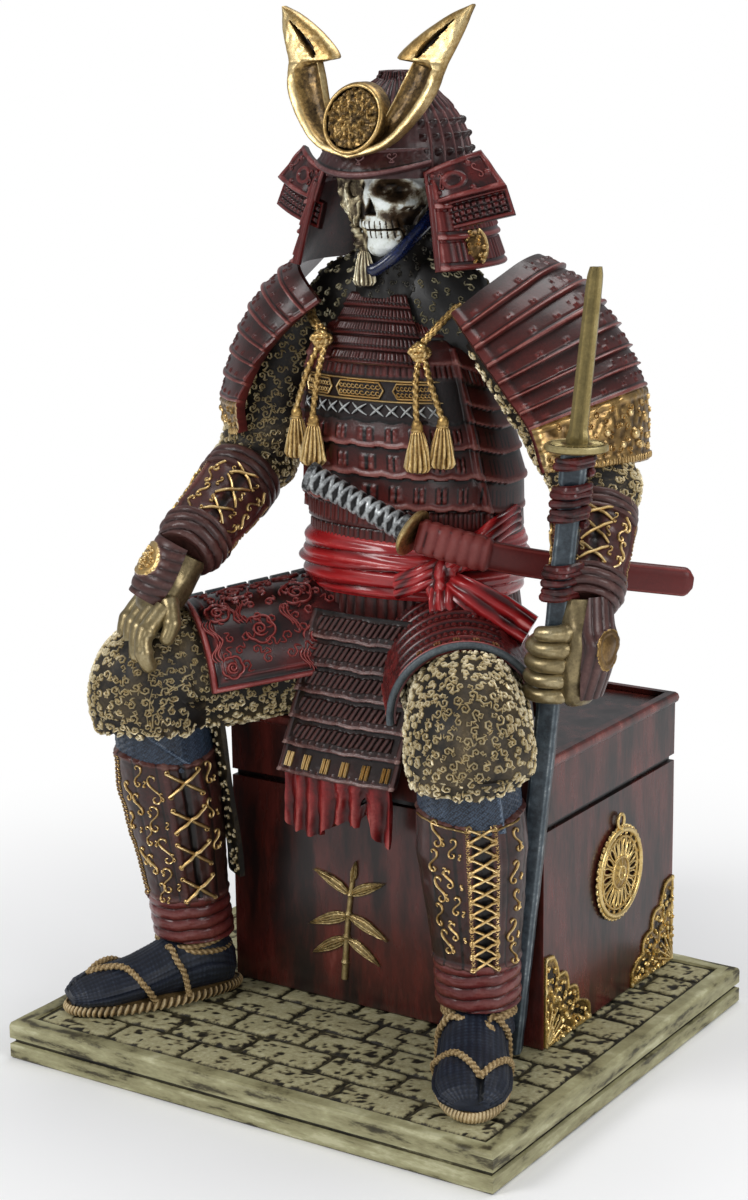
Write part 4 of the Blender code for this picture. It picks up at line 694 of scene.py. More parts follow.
fine_turns = np.linspace(-88, 104, 226)
torso_turns = np.concatenate([fine_turns, np.linspace(107, 269, 56)])
torso_heights = np.linspace(129.0, 56.0, 160)
turns, heights = np.meshgrid(torso_turns, torso_heights)
chest_reach = 33.5
front_arc = np.radians(turns) * chest_reach
side_blend = fair((np.abs(turns - 4) - 52) / 8)
scallop = 0.75 * np.abs(np.cos(pi * front_arc / 7.3)) * (1 - side_blend)
low_wave = heights + np.where((heights < 98) & (heights > 69), scallop, 0) + side_blend * 3.5 * fair((np.abs(turns)
    - 50) / 40)
torso_rise = np.full(turns.shape, 0.2)
torso_mark = np.full(turns.shape, 0.52)
row_tops = [129.0, 122.0, 114.7, 110.0, 103.2, 98.0, 89.9, 80.7, 71.1, 63.7, 56.0]
for top, low in zip(row_tops, row_tops[1:]):
    here = (low_wave <= top) & (low_wave > low)
    share = np.clip((top - low_wave) / (top - low), 0, 1)
    rise = row_profile(share)
    mark = 0.30 + 0.42 * share + 0.3 * hump(share, 0.9, 0.1) - 0.45 * (share < 0.08)
    if low >= 70 and top <= 98:
        for shift in (-0.95, 0.95):
            near = (front_arc + shift + 3.65) % 7.3 - 3.65
            for level in (0.36, 0.60):
                knot = hump(near, 0, 0.72) * hump(share, level, 0.125) * (side_blend < 0.3)
                rise = rise + 0.55 * knot
                mark = mark + 0.35 * knot - 0.25 * (np.abs(near) > 0.72) * (np.abs(near) < 1.1) * (np.abs(share
                    - 0.48) < 0.25)
    if top in (71.1, 63.7, 129.0):
        scale = (front_arc % 1.75) / 1.75
        rib = hump(scale, 0.5, 0.44) * fair(share / 0.12) * (share < 0.8)
        rise = rise + 0.5 * rib
        mark = mark * 0.5 + 0.45 * rib
    if top == 114.7:
        scale = (front_arc % 2.3) / 2.3
        rib = hump(scale, 0.5, 0.46) * (share < 0.85)
        rise = rise * 0.4 + 0.45 * rib
        mark = 0.2 + 0.45 * rib
    if top in (110.0, 103.2):
        flat = 1 - side_blend
        rise = rise * (1 - flat) + 0.35 * flat
        mark = mark * (1 - flat) + 0.1 * flat
    torso_rise = np.where(here, rise, torso_rise)
    torso_mark = np.where(here, mark, torso_mark)
panel_edge = hump(np.abs(turns - 3), 58 + (heights < 82) * (82 - heights) * 0.6, 3.2) * (heights > 66) * (heights < 119)
torso_rise = torso_rise + 1.5 * panel_edge + 0.6 * fair((60 - np.abs(turns - 3)) / 4) * (heights > 70)
torso_mark = torso_mark + 0.3 * panel_edge
torso_rise = torso_rise * fair((129.5 - heights) / 1.5)
torso_skin = body_skin(turns, heights)
torso_off = outward(torso_skin, True)
torso_face = raised(torso_skin, torso_off, torso_rise)
hip_turns, hip_heights = np.meshgrid(torso_turns, np.linspace(56.0, -1.2, 16))
hip_pleats = hump((np.radians(hip_turns) * chest_reach + 0.05 * hip_heights) % 3.1, 1.55, 1.5)
cowl_turn, cowl_ring = np.meshgrid(np.linspace(0, 2 * pi, 121), np.linspace(0.06, pi - 0.06, 70))
cowl_folds = grain(30 * np.cos(cowl_turn) * np.sin(cowl_ring), 22 * np.sin(cowl_turn) + 12 * np.cos(cowl_ring), 6.0, 45)
cowl = fig(0.5, 27.5, 127.0) + np.stack([(35 + 0.8 * cowl_folds) * np.sin(cowl_ring) * np.cos(cowl_turn),
    (13 + 0.8 * cowl_folds) * np.sin(cowl_ring) * np.sin(cowl_turn), (22.5 + 0.8 * cowl_folds) * np.cos(cowl_ring)], -1)
neck_turns, neck_heights = np.meshgrid(np.linspace(-180, 174, 60), np.linspace(139.0, 126.0, 16))
neck_grid = body_skin(neck_turns, neck_heights, 0.3)
torso_forms = [sleeve_form(torso_face, torso_mark, 0.0, 0), sleeve_form(body_skin(hip_turns, hip_heights, -0.6 + 0.9
    * hip_pleats), 0.12 + 0.45 * hip_pleats, 0.0, 0), wrapped(cowl, 0.3 + 0.25 * cowl_folds, 0.25, 1),
    sleeve_form(neck_grid, 0.2, 0.0, 1)]
front_u = fine_turns[-1] - fine_turns[0]


def on_front(arc, height, lift=0.0):
    """Places on the worked front of the cuirass, by arc from its middle and height above the lid."""
    turn = np.degrees(np.asarray(arc, float) / chest_reach)
    rows, columns = torso_face.shape[0], len(fine_turns)
    u = (turn - fine_turns[0]) / front_u
    v = (129.0 - np.asarray(height, float)) / 73.0
    return lay(torso_skin[:, :columns], torso_off[:, :columns], u, v, lift)


for height in (109.7, 103.4):
    line, way = on_front(np.linspace(-26, 26, 70), np.full(70, height), np.full(70, 1.35))
    torso_forms.append(beads(line, way, 0.35, 0.35, 1.0, 0))
for middle in (-19.0, -2.0, 16.0):
    outline = np.array([(-7.4, 0), (-6.0, 2.3), (6.0, 2.3), (7.4, 0), (6.0, -2.3), (-6.0, -2.3), (-7.4, 0)])
    path = np.concatenate([np.linspace(a, b, 7)[:-1] for a, b in zip(outline, outline[1:])] + [outline[-1:]])
    line, way = on_front(middle + path[:, 0], 106.6 + path[:, 1], np.full(len(path), 1.3))
    torso_forms.append(beads(line, way, 0.34, 0.45, 1.0, 0, taper=1))
    for i in range(9):
        for j in (-1, 1):
            s = np.linspace(0, 2.1 * pi, 10)
            path = np.stack([middle - 5.6 + 1.4 * i + (0.25 + 0.1 * s) * np.cos(s * j), 106.6 + j * 0.95
                + (0.25 + 0.1 * s) * np.sin(s)], -1)
            line, way = on_front(path[:, 0], path[:, 1], np.full(10, 1.15))
            torso_forms.append(beads(line, way, 0.26, 0.4, 1.0, 0))
for i in range(11):
    middle = -25 + 4.7 * i
    for slant in (-1, 1):
        s = np.linspace(-1, 1, 8)
        line, way = on_front(middle + slant * s * 1.9, 100.6 + s * 1.7, 1.25 + 0.35 * (1 - s * s) + 0.1 * slant)
        torso_forms.append(beads(line, way, 0.42, 0.45, 0.0, 2))
torso_forms += curls(neck_grid, outward(neck_grid, True), lambda u, v, at: np.ones(len(u), bool), 3.2, 0.9, 0.32, 0.45,
    21, 0.8, 1)
torso_forms += curls(cowl, outward(cowl), lambda u, v, at: v < 0.55, 3.6, 1.3, 0.36, 0.5, 22, 0.8, 1)
piece("cuirass", torso_forms, [armour_paint, black_scroll_paint, silver_lace_paint], ["torso_armour"])

# The throat guard
# A bib of small laced scales that hangs from the chin over the cuirass, five rows deep.
# It is moulded with the body and painted in the same dark red.


def shares(columns, rows):
    """Shares from 0 to 1 across and down a grid."""
    return np.meshgrid(np.linspace(0, 1, columns), np.linspace(0, 1, rows))


u, v = shares(116, 96)
bib_x = (2 * u - 1) * (10.0 + 9.5 * v)
bib_skin = fig(bib_x + 0.6, 12.4 - 8.0 * v + 0.021 * bib_x * bib_x, 136.0 - 21.0 * v - 0.004 * bib_x * bib_x)
bib_off = outward(bib_skin, away=fig(0, 60, 120))
bib_rise, bib_mark = np.zeros(u.shape), np.zeros(u.shape)
for i in range(5):
    share = np.clip(v * 5 - i, 0, 1)
    here = (v * 5 >= i) & (v * 5 <= i + 1)
    scales = 20 + 3 * i
    scale = (u * scales) % 1
    rib = hump(scale, 0.5, 0.45) * fair((share - 0.04) / 0.15) * (share < 0.66)
    dots = hump(scale, 0.5, 0.3) * hump(share, 0.8, 0.07)
    rise = 0.1 + 0.6 * share + 0.42 * rib + 0.3 * dots + 0.3 * hump(share, 0.92, 0.08)
    mark = 0.22 + 0.4 * rib * (0.6 + 0.4 * share) + 0.4 * hump(share, 0.92, 0.09) + 0.25 * dots
    bib_rise, bib_mark = np.where(here, rise, bib_rise), np.where(here, mark, bib_mark)
piece("throat_bib", [slab(raised(bib_skin, bib_off, bib_rise), bib_skin - bib_off * 1.3, bib_mark)], [armour_paint],
    ["throat_guard"])

# The shoulder guards
# Seven lacquered lames step down over each shoulder to a gilt plate with raised scrolls and bosses.
# Each lame has a rolled lower edge, rivet heads along it and short laced stitches.
guard_lines = {1: ([(36, -1, 133), (47, -3, 121), (56, -3, 110), (63, -2, 100.5), (67, -1, 88)],
    [(46, 25, 147), (63, 26, 136.5), (74, 27, 122), (80.5, 27, 109.5), (82, 27, 88)], [(38, 49, 143), (53, 51, 133),
    (63, 52, 118), (69, 52, 105.5), (71, 51, 85)]), -1: ([(-15, 5, 133), (-27, 4, 124), (-37, 3, 113), (-44, 3, 100.0),
    (-45, 5, 90)], [(-29, 13, 144.5), (-45, 15, 132), (-56, 17, 116), (-62.5, 19, 99), (-60, 19, 87)],
    [(-40, 43, 143), (-56, 45, 129), (-66, 46, 115), (-72, 46, 100), (-70, 45, 86)])}
guard_paint = painted("shoulder_lame_paint", RED_STOPS, rough=0.33, blotch=0.26, speck=0.14, size=14.0, coat=0.35,
    gold=[(0.0, (0.02, 0.012, 0.006)), (0.3, (0.12, 0.07, 0.025)), (0.65, (0.42, 0.26, 0.09)), (1.0, (0.8, 0.6, 0.3))])
for side, node_name in ((1, "left_shoulder_guard"), (-1, "right_shoulder_guard")):
    rows, columns = 176, 118
    lines = [curve_through(fig(*np.array(line).T), rows) for line in guard_lines[side]]
    u = np.linspace(0, 1, columns)[None, :, None]
    front, middle, rear = (line[:, None] for line in lines)
    skin = front * (1 - u) * (1 - 2 * u) + middle * 4 * u * (1 - u) + rear * u * (2 * u - 1)
    off = outward(skin, away=fig(side * 30, 30, 95))
    u, v = shares(columns, rows)
    arc = u * 74
    place = v / 0.75 * 7
    lame = np.minimum(np.floor(place), 7)
    share = np.where(lame < 7, place - lame, (v - 0.75) / 0.25)
    rise = 0.1 + 1.25 * share + 0.4 * hump(share, 0.93, 0.07) - 0.25 * hump(share, 0.80, 0.05)
    mark = 0.30 + 0.28 * share + 0.36 * hump(share, 0.93, 0.1) - 0.36 * hump(share, 0.82, 0.05)
    stagger = (lame % 2) * 2.4
    dot = hump((arc + stagger) % 4.8, 2.4, 0.55) * hump(share, 0.36, 0.10) * (u > 0.42)
    stitch = (hump((arc + stagger) % 9.6, 4.2, 0.38) + hump((arc + stagger) % 9.6, 5.4, 0.38)) * hump(share, 0.62, 0.13)
    rise = rise + 0.55 * dot + 0.4 * stitch
    mark = mark + 0.3 * stitch + 0.2 * dot
    last = lame == 7
    gilt_plate = hump(share, 0.93, 0.07) * 0.6 + hump(share, 0.08, 0.06) * 0.4
    rise = np.where(last, 1.0 + gilt_plate + 0.25 * grain(arc, v * 80, 1.4, 31), rise)
    mark = np.where(last, 0.42 + 0.3 * gilt_plate + 0.2 * grain(arc, v * 80, 1.4, 31), mark)
    gilt = np.where(last & (u > 0), 1.0, 0.0)
    rim = hump(u, 0.012, 0.022) + hump(u, 0.988, 0.022)
    rise = rise + 0.5 * rim
    mark = mark + 0.3 * rim
    waves = 0.35 * grain(arc, v * 60, 12.0, 33 + side)
    face = raised(skin, off, rise + waves)
    guard_forms = [slab(face, skin - off * 1.4, mark, gilt, 0)]
    plate_rows = slice(int(rows * 0.765), int(rows * 0.985))
    plate = face[plate_rows]
    guard_forms += curls(plate, off[plate_rows], lambda a, b, at: (b > 0.12) & (b < 0.88), 3.6, 1.05, 0.34, 0.5, 41
        + side, 1.0)
    for share_u, share_v, size in ((0.46, 0.28, 1.1), (0.5, 0.62, 1.7), (0.40, 0.75, 1.2), (0.56, 0.8, 1.3),
            (0.62, 0.4, 1.5), (0.7, 0.7, 1.2), (0.3, 0.5, 1.2), (0.22, 0.7, 1.0)):
        at, way = lay(plate, off[plate_rows], np.array([share_u]), np.array([share_v]))
        ring_turn = np.linspace(0, 2 * pi, 12, endpoint=False)
        a = np.cross(way[0], (0, 0, 1.0))
        a /= np.linalg.norm(a)
        b = np.cross(way[0], a)
        rings = np.array([at[0] + way[0] * size * rise_by + (a * np.cos(ring_turn)[:, None] + b * np.sin(ring_turn)[:,
            None]) * size * wide for rise_by, wide in ((-0.2, 1.1), (0.25, 1.0), (0.6, 0.72), (0.8, 0.3))])
        guard_forms.append(sleeve_form(rings, np.linspace(0.4, 1.0, 4)[:, None], 1.0, 0))
    t = np.linspace(-0.5, 0.5, 4)[:, None]
    for s in np.linspace(0.02, 0.98, 46):
        at, way = lay(face, off, np.array([s]), np.array([0.982]))
        guard_forms.append(beads(at + np.array([[0, 0, 1.9]]) * t, np.repeat(way, 4, 0), 0.45, 0.5, 1.0, 0))
    piece(node_name.replace("shoulder_guard", "shoulder_lames"), guard_forms, [guard_paint],
        [node_name])

# The tassel cords
# A gilt cord falls from each shoulder strap to a knot and parts into two strands with tassels.
# They are cast on the cuirass and painted gold, with the strands cut in as fine grooves.
cord_gold = painted("tassel_gold_paint", [(0.0, (0.05, 0.02, 0.01)), (1.0, (0.5, 0.3, 0.1))], rough=0.4)


def tassel(top, end, width, seed):
    """A bound head and a skirt of strands that flares to its cut end."""
    top, end = np.asarray(top, float), np.asarray(end, float)
    rows, columns = 26, 44
    t = np.linspace(0, 1, rows)
    size = np.interp(t, [0, 0.06, 0.14, 0.2, 0.26, 0.6, 0.93, 1.0], [0.22, 0.42, 0.48, 0.36, 0.5, 0.82, 1.0,
        0.85]) * width
    turn = np.linspace(0, 2 * pi, columns, endpoint=False)
    strand = np.cos(turn * 13 + 0.8 * np.sin(t[:, None] * 5 + seed))
    groove = (0.10 + 0.05 * t[:, None]) * strand * (t[:, None] > 0.22)
    rings = []
    for i in range(rows):
        middle = top + (end - top) * t[i] + np.array([0.3 * sin(seed + 3 * t[i]), 0, 0])
        r = size[i] * (1 + groove[i])
        rings.append(middle + np.stack([np.cos(turn) * r, np.sin(turn) * r * 0.72, 0.35 * strand[i] * (t[i] > 0.93)],
            -1))
    return sleeve_form(np.array(rings), 0.55 + 0.42 * strand * (t[:, None] > 0.22), 1.0, 0)


for node_name, top, knot, ends in (("right_tassel_cord", fig(-25, 14, 131), fig(-15.5, 8.0, 121.5),
        (fig(-24, 4.2, 84), fig(-16.5, 2.4, 82.5))), ("left_tassel_cord", fig(29, 15, 133.5), fig(20.0, 8.6, 119.5),
        (fig(21.0, 3.4, 83.5), fig(28.5, 6.0, 85)))):
    cord_forms = []
    for shift in (-0.75, 0.75):
        path = curve_through([top, (top + knot) / 2 + (0, -2.0, 0.6), knot + (0, -0.6, 2.2)], 30) + (shift, 0, shift
            * 0.4)
        cord_forms.append(rope(path, 0.85, 8, 1.0, 0, 0.55, 0.16, 2.2))
    for k, (rx, rz) in enumerate(((3.0, 1.3), (2.2, 2.4), (2.7, 0.9))):
        t = np.linspace(0, 2 * pi, 26)
        path = knot + np.stack([rx * np.cos(t), -0.9 - 0.8 * np.sin(t + k) ** 2 - 0.5 * k, rz * np.sin(t)], -1)
        cord_forms.append(rope(path, 0.95, 8, 1.0, 0, 0.6, 0.14, 2.0))
    for k, end in enumerate(ends):
        head_top = end + (0, 0, 15.0)
        shift = (0.9 if k else -0.9)
        path = curve_through([knot + (shift, -0.6, -1.0), knot * 0.55 + head_top * 0.45 + (shift * 0.6, -1.6, 0),
            head_top + (0, -0.2, 0)], 44)
        cord_forms.append(rope(path, 0.95, 8, 1.0, 0, 0.55, 0.16, 2.4))
        cord_forms.append(tassel(head_top + (0, 0, 0.8), end, 4.1, k * 2.0))
        ring = np.linspace(0, 2 * pi, 22)
        cord_forms.append(rope(head_top + np.stack([1.6 * np.cos(ring), 1.2 * np.sin(ring), -2.2 + 0 * ring], -1), 0.5,
            6, 1.0, 0, 0.7))
    piece(node_name.replace("_cord", "s"), cord_forms, [cord_gold], [node_name])

# The legs
# Brocade trousers gather over each knee onto a woven blue band; under it a lacquered shin guard laced with gold
# cord, then rolled bindings round the ankle. All of it is one casting, black washed and rubbed with gold.


def unit(ways):
    """Rows of directions, each made one long."""
    return ways / np.linalg.norm(ways, axis=1, keepdims=True)


def sind(turn):
    """The sine of a turn in degrees."""
    return np.sin(np.radians(turn))


leg_hubs = {1: (fig(19, 28, 22), np.array((58.0, -42.0, 122.0)), np.array((54.5, -30.5, 39.7))), -1: (fig(-15, 28, 22),
    np.array((-58.0, -42.0, 122.0)), np.array((-54.5, -30.5, 39.7)))}
brocade_paint = painted("brocade_scroll_paint", [(0.0, (0.003, 0.002, 0.002)), (0.4, (0.010, 0.008, 0.006)),
    (0.75, (0.07, 0.05, 0.025)), (1.0, (0.2, 0.15, 0.08))], rough=0.55, blotch=0.4, speck=0.3, size=10.0, coat=0.0,
    gold=[(0.0, (0.03, 0.02, 0.008)), (0.3, (0.17, 0.115, 0.045)), (0.62, (0.5, 0.4, 0.21)), (1.0, (0.84, 0.76, 0.56))],
    fine=0.9)
indigo_paint = painted("indigo_woven_paint", [(0.0, (0.003, 0.004, 0.006)), (0.4, (0.014, 0.021, 0.036)),
    (0.7, (0.045, 0.072, 0.115)), (1.0, (0.19, 0.24, 0.31))], rough=0.4, blotch=0.25, speck=0.15, size=8.0, coat=0.25)
shin_paint = painted("shin_guard_paint", [(0.0, (0.003, 0.002, 0.002)), (0.4, (0.017, 0.008, 0.007)),
    (0.7, (0.062, 0.016, 0.013)), (1.0, (0.17, 0.085, 0.07))], rough=0.38, blotch=0.3, speck=0.2, size=9.0, coat=0.3)
binding_paint = painted("ankle_binding_paint", [(0.0, (0.004, 0.002, 0.002)), (0.35, (0.028, 0.005, 0.005)),
    (0.65, (0.095, 0.012, 0.011)), (1.0, (0.26, 0.08, 0.07))], rough=0.33, blotch=0.25, speck=0.12, size=10.0, coat=0.4)


def tube(centres, tall, wide, side_way, rows, columns, power=2.0):
    """Rings along a smooth line, tall towards ahead x side and wide along side; the last column repeats the first."""
    line = curve_through(centres, rows)
    sizes = curve_through(np.stack([tall, wide, wide], -1), rows)
    ahead = np.gradient(line, axis=0)
    ahead = unit(ahead)
    up = np.cross(ahead, side_way)
    up = unit(up)
    beside = np.cross(up, ahead)
    turn = np.linspace(0, 2 * pi, columns + 1)
    c, s = (np.abs(w) ** (2 / power) * np.sign(w) for w in (np.cos(turn), np.sin(turn)))
    return (line[:, None] + up[:, None] * sizes[:, 0, None, None] * c[None, :, None] + beside[:, None]
        * sizes[:, 1, None, None] * s[None, :, None])


def drawn(grid, off, u, v, x, y, width, height, gilt=1.0, paint=0, taper=0.35):
    """Raised strokes on a surface: outlines x across and y down in mm, repeated at the places u, v."""
    u, v = np.reshape(u, (-1, 1)), np.reshape(v, (-1, 1))
    rows, columns = grid.shape[:2]
    i = np.clip((u * (columns - 1)).astype(int), 0, columns - 1)
    j = np.clip((v * (rows - 1)).astype(int), 0, rows - 1)
    step_u = np.linalg.norm(np.gradient(grid, axis=1), axis=-1)[j, i] * (columns - 1)
    step_v = np.linalg.norm(np.gradient(grid, axis=0), axis=-1)[j, i] * (rows - 1)
    u, v = u + np.atleast_2d(x) / step_u, v + np.atleast_2d(y) / step_v
    line, way = lay(grid, off, u, v, np.full(u.shape, height * 0.2))
    return beads(line, way, width, height, gilt, paint, taper)


def volute(length, turns=0.85, hand=1, count=26):
    """An upright S of that length, both ends rolled in."""
    t = np.linspace(-1, 1, count)
    x, y = np.cumsum(np.cos(turns * 2 * pi * t * t)), np.cumsum(np.sin(turns * 2 * pi * t * t))
    x, y = x - x.mean(), y - y.mean()
    lean = np.arctan2(y[-1] - y[0], x[-1] - x[0])
    x, y = x * cos(lean) + y * sin(lean), y * cos(lean) - x * sin(lean)
    size = length / (x.max() - x.min())
    return y * size * hand, x * size


def leg_skin(side, turn, k, out=0.0):
    """The lower leg's skin, by turn in degrees from the front towards +x and share k from knee to ankle."""
    turn, k = np.broadcast_arrays(np.radians(turn), np.asarray(k, float))
    knee, ankle = leg_hubs[side][1:]
    deep = np.interp(k, (0.1, 0.29, 0.45, 0.88, 1.06), (14.2, 15.0, 15.6, 12.0, 12.0))
    wide = np.interp(k, (0.1, 0.29, 0.45, 0.88, 1.06), (14.2, 14.8, 15.8, 12.2, 12.0))
    return (knee + (ankle - knee) * k[..., None] + np.stack([(wide + out) * np.sin(turn), -(deep + out) * np.cos(turn),
        0 * turn], -1))


leg_turns = np.concatenate([np.linspace(-180, -76, 18), np.linspace(-73, 138, 130), np.linspace(141, 180, 9)])
for side, node_name in ((1, "left_leg"), (-1, "right_leg")):
    hip, knee, ankle = leg_hubs[side]
    thigh_way = (knee - hip) * (1, 1, 0)
    thigh_way /= np.linalg.norm(thigh_way)
    across_way = np.array([-thigh_way[1], thigh_way[0], 0])
    cloth = tube([hip, hip + (knee - hip) * 0.3, hip + (knee - hip) * 0.7, knee + (-4 * side, 8, 2), knee
        + (0, 0.5, -2.5), knee + (0, 0, -9.5), knee + (0, 0, -14.5), knee + (0, 0, -15.5)], (20, 19.5, 19, 19.6, 20.4,
        20.2, 18.0, 15.0), (20, 19.6, 18, 18, 18.6, 18.6, 16.6, 14.0), across_way, 104, 170)
    cloth_off = outward(cloth)
    u, v = shares(171, 104)
    ring = np.cos(2 * pi * u) * 20, np.sin(2 * pi * u) * 20
    folds = (1.0 * grain(ring[0] + v * 60, ring[1] + v * 33, 13.0, 51 + side) + 0.5 * grain(ring[0] * 0.6 + v * 95,
        ring[1] * 1.6, 6.0, 53 + side))
    gathers = np.cos(2 * pi * u * 19 + 3 * grain(ring[0], ring[1], 9.0, 55)) * fair((v - 0.72) / 0.12)
    folds = (folds + 0.55 * gathers) * fair((1 - v) / 0.06)
    cloth_face = raised(cloth, cloth_off, folds - 0.35)
    leg_forms = [sleeve_form(cloth_face[:, :-1], 0.42 + 0.3 * folds[:, :-1], 0.12, 0)]
    leg_forms += curls(cloth_face, cloth_off, lambda a, b, at: (b > 0.14) & (b < 0.955) & (at[:, 1] < 8)
        & (at[:, 2] > 104), 3.1, 1.5, 0.42, 0.62, 57 + side, 1.0, 0, 12)
    leg_forms += curls(cloth_face, cloth_off, lambda a, b, at: (b > 0.14) & (b < 0.97) & (at[:, 1] < 0)
        & (at[:, 2] > 104), 3.1, 0.95, 0.34, 0.45, 58 + side, 0.9, 0, 8)

    turns, k = np.meshgrid(leg_turns, np.linspace(-0.02, 0.34, 78))
    arc, drop = np.radians(turns) * 15 * side, k * 82.3
    a, b = (arc + drop) / 1.9, (arc - drop) / 1.9
    upright = (np.floor(a) + np.floor(b)) % 2 < 1
    across = np.where(upright, a % 1, b % 1)
    length = np.where(upright, b % 1, a % 1)
    woven = np.maximum(hump(across, 0.25, 0.17), hump(across, 0.75, 0.17)) * hump(length, 0.5, 0.56)
    flap_at = (-26 + 96 * (k - 0.05) / 0.27) * -side if side < 0 else 62 + 30 * (k - 0.1)
    lapped = fair((turns - flap_at) * 0.26 * -side + 0.5) if side < 0 else fair((flap_at - turns) * 0.26 + 0.5)
    ridge = hump((turns - flap_at) * 0.26, 0, 0.9)
    band = leg_skin(side, turns, k)
    band_off = outward(band)
    band_rise = 0.35 * woven * (ridge < 0.05) + 0.7 * lapped + 0.75 * ridge + 0.4 * grain(arc, drop, 9.0, 61 + side)
    band_face = raised(band, band_off, band_rise)
    leg_forms.append(wrapped(band_face, 0.2 + 0.55 * woven + 0.35 * ridge, 0.0, 1))

    turns, k = np.meshgrid(leg_turns, np.linspace(0.26, 0.905, 104))
    arc, drop = np.radians(turns) * 15, k * 82.3
    seam = 56.0 if side < 0 else 42.0
    top_edge = 0.272 + 0.03 * fair(1 - np.abs(turns - seam) / 80)
    inside = fair((k - top_edge) / 0.012)
    guard_rim = hump((k - top_edge) * 82.3, 0.9, 0.95) + hump((0.893 - k) * 82.3, 0.8, 0.95)
    split = np.abs(turns - seam) * 0.26
    strip_ridges = 0.0 * turns
    for place in ((seam - 15, seam + 15) if side > 0 else (seam - 19, seam + 19, -38.0)):
        strip_ridges = np.maximum(strip_ridges, hump((turns - place) * 0.26, 0, 1.15))
    hollow = (hump(split, 0, 3.4) if side > 0 else hump(split, 0, 1.2)) * (strip_ridges < 0.1)
    splints = hump(((turns - seam) * 0.26) % 7.6, 3.8, 3.7)
    guard_rise = (inside * (1.1 + 0.35 * splints) + 0.55 * guard_rim + 0.5 * strip_ridges - 0.7 * hollow * inside + 0.16
        * grain(arc, drop, 2.2, 63 + side) + 0.25 * grain(arc, drop, 8.0, 65))
    guard_mark = 0.5 + 0.3 * guard_rim + 0.2 * strip_ridges - 0.45 * hollow - 0.4 * (splints < 0.35)
    guard = leg_skin(side, turns, k, -0.4)
    guard_off = outward(guard)
    guard_face = raised(guard, guard_off, guard_rise)
    leg_forms.append(wrapped(guard_face, guard_mark, 0.0, 2))

    def leg_place(turn, k):
        """Shares across and down the shin guard."""
        place = np.interp(turn, leg_turns, np.linspace(0, 1, len(leg_turns)))
        return place, (np.asarray(k, float) - 0.26) / 0.645
    for strip in ((seam - 15, seam + 15) if side > 0 else (-38.0, -33.0)):
        levels = np.linspace(0.30, 0.875, 34)
        place = leg_place(np.full(34, strip), levels)
        leg_forms.append(drawn(guard_face, guard_off, *place, (-0.55, 0.0, 0.55), (-0.5, 0.0, -0.5), 0.42, 0.5, 1.0, 2))
        leg_forms.append(drawn(guard_face, guard_off, *place, (-0.5, 0.5), (0.5, 0.35), 0.42, 0.5, 1.0, 2))
    crossings = np.linspace(0.335, 0.855, 10) if side > 0 else np.array((0.38, 0.53, 0.68, 0.83))
    half_x, half_y = (3.3, 2.1) if side > 0 else (5.0, 4.0)
    place = leg_place(np.full(len(crossings), seam), crossings)
    for slant in (-1, 1):
        t = np.linspace(-1, 1, 12)
        path, way = lay(guard_face, guard_off, *(p[:, None] + q for p, q in zip(place, (slant * t[None] * half_x / 0.26
            / 360 * 157 / 106, t[None] * half_y / 82.3 / 0.645))), 0.35 + (0.75 - 0.25 * slant) * (1 - t * t)[None]
            * np.ones((len(crossings), 1)))
        leg_forms.append(beads(path, way, 0.5 if side > 0 else 0.62, 0.6, 1.0, 2, taper=0.8))
    ring = np.linspace(0, 2.2 * pi, 11)
    for sx in (-1, 1):
        for sy in (-1, 1):
            leg_forms.append(drawn(guard_face, guard_off, *place, sx * (half_x + 0.1) + 0.62 * np.cos(ring), sy
                * (half_y + 0.1) + 0.62 * np.sin(ring), 0.34, 0.55, 1.0, 2, 1))
    scroll_rows = ([(-10, (0.34, 0.45, 0.56, 0.67, 0.78), 8.2), (8, (0.39, 0.51, 0.62, 0.73), 6.0),
        (82, (0.38, 0.50, 0.62, 0.74, 0.84), 7.4)] if side > 0 else [(18, (0.40, 0.52, 0.66, 0.79), 9.0),
        (0, (0.35, 0.47, 0.60, 0.73, 0.85), 7.0), (-18, (0.42, 0.55, 0.70), 6.0), (86, (0.36, 0.5, 0.64), 7.0)])
    for n, (turn, levels, length) in enumerate(scroll_rows):
        for m, level in enumerate(levels):
            x, y = volute(length, 0.85, 1 if (n + m) % 2 else -1)
            leg_forms.append(drawn(guard_face, guard_off, *leg_place(np.array([turn + 3 * (-1) ** m]), level), x, y,
                0.38, 0.6, 1.0, 2))
            leg_forms.append(drawn(guard_face, guard_off, *leg_place(np.array([turn + 9.0]), level + 0.03), x * 0.3
                + 0.4, y * 0.28, 0.3, 0.45, 1.0, 2))
    if side > 0:
        for level in (0.32, 0.32):
            t = np.linspace(-42, 92, 90)
            line, way = lay(guard_face, guard_off, *leg_place(t, 0.292 + 0.03 * fair(1 - np.abs(t - seam) / 80)), 0.3
                + 0 * t)
            leg_forms.append(beads(line, way, 0.4, 0.45, 0.75, 2))

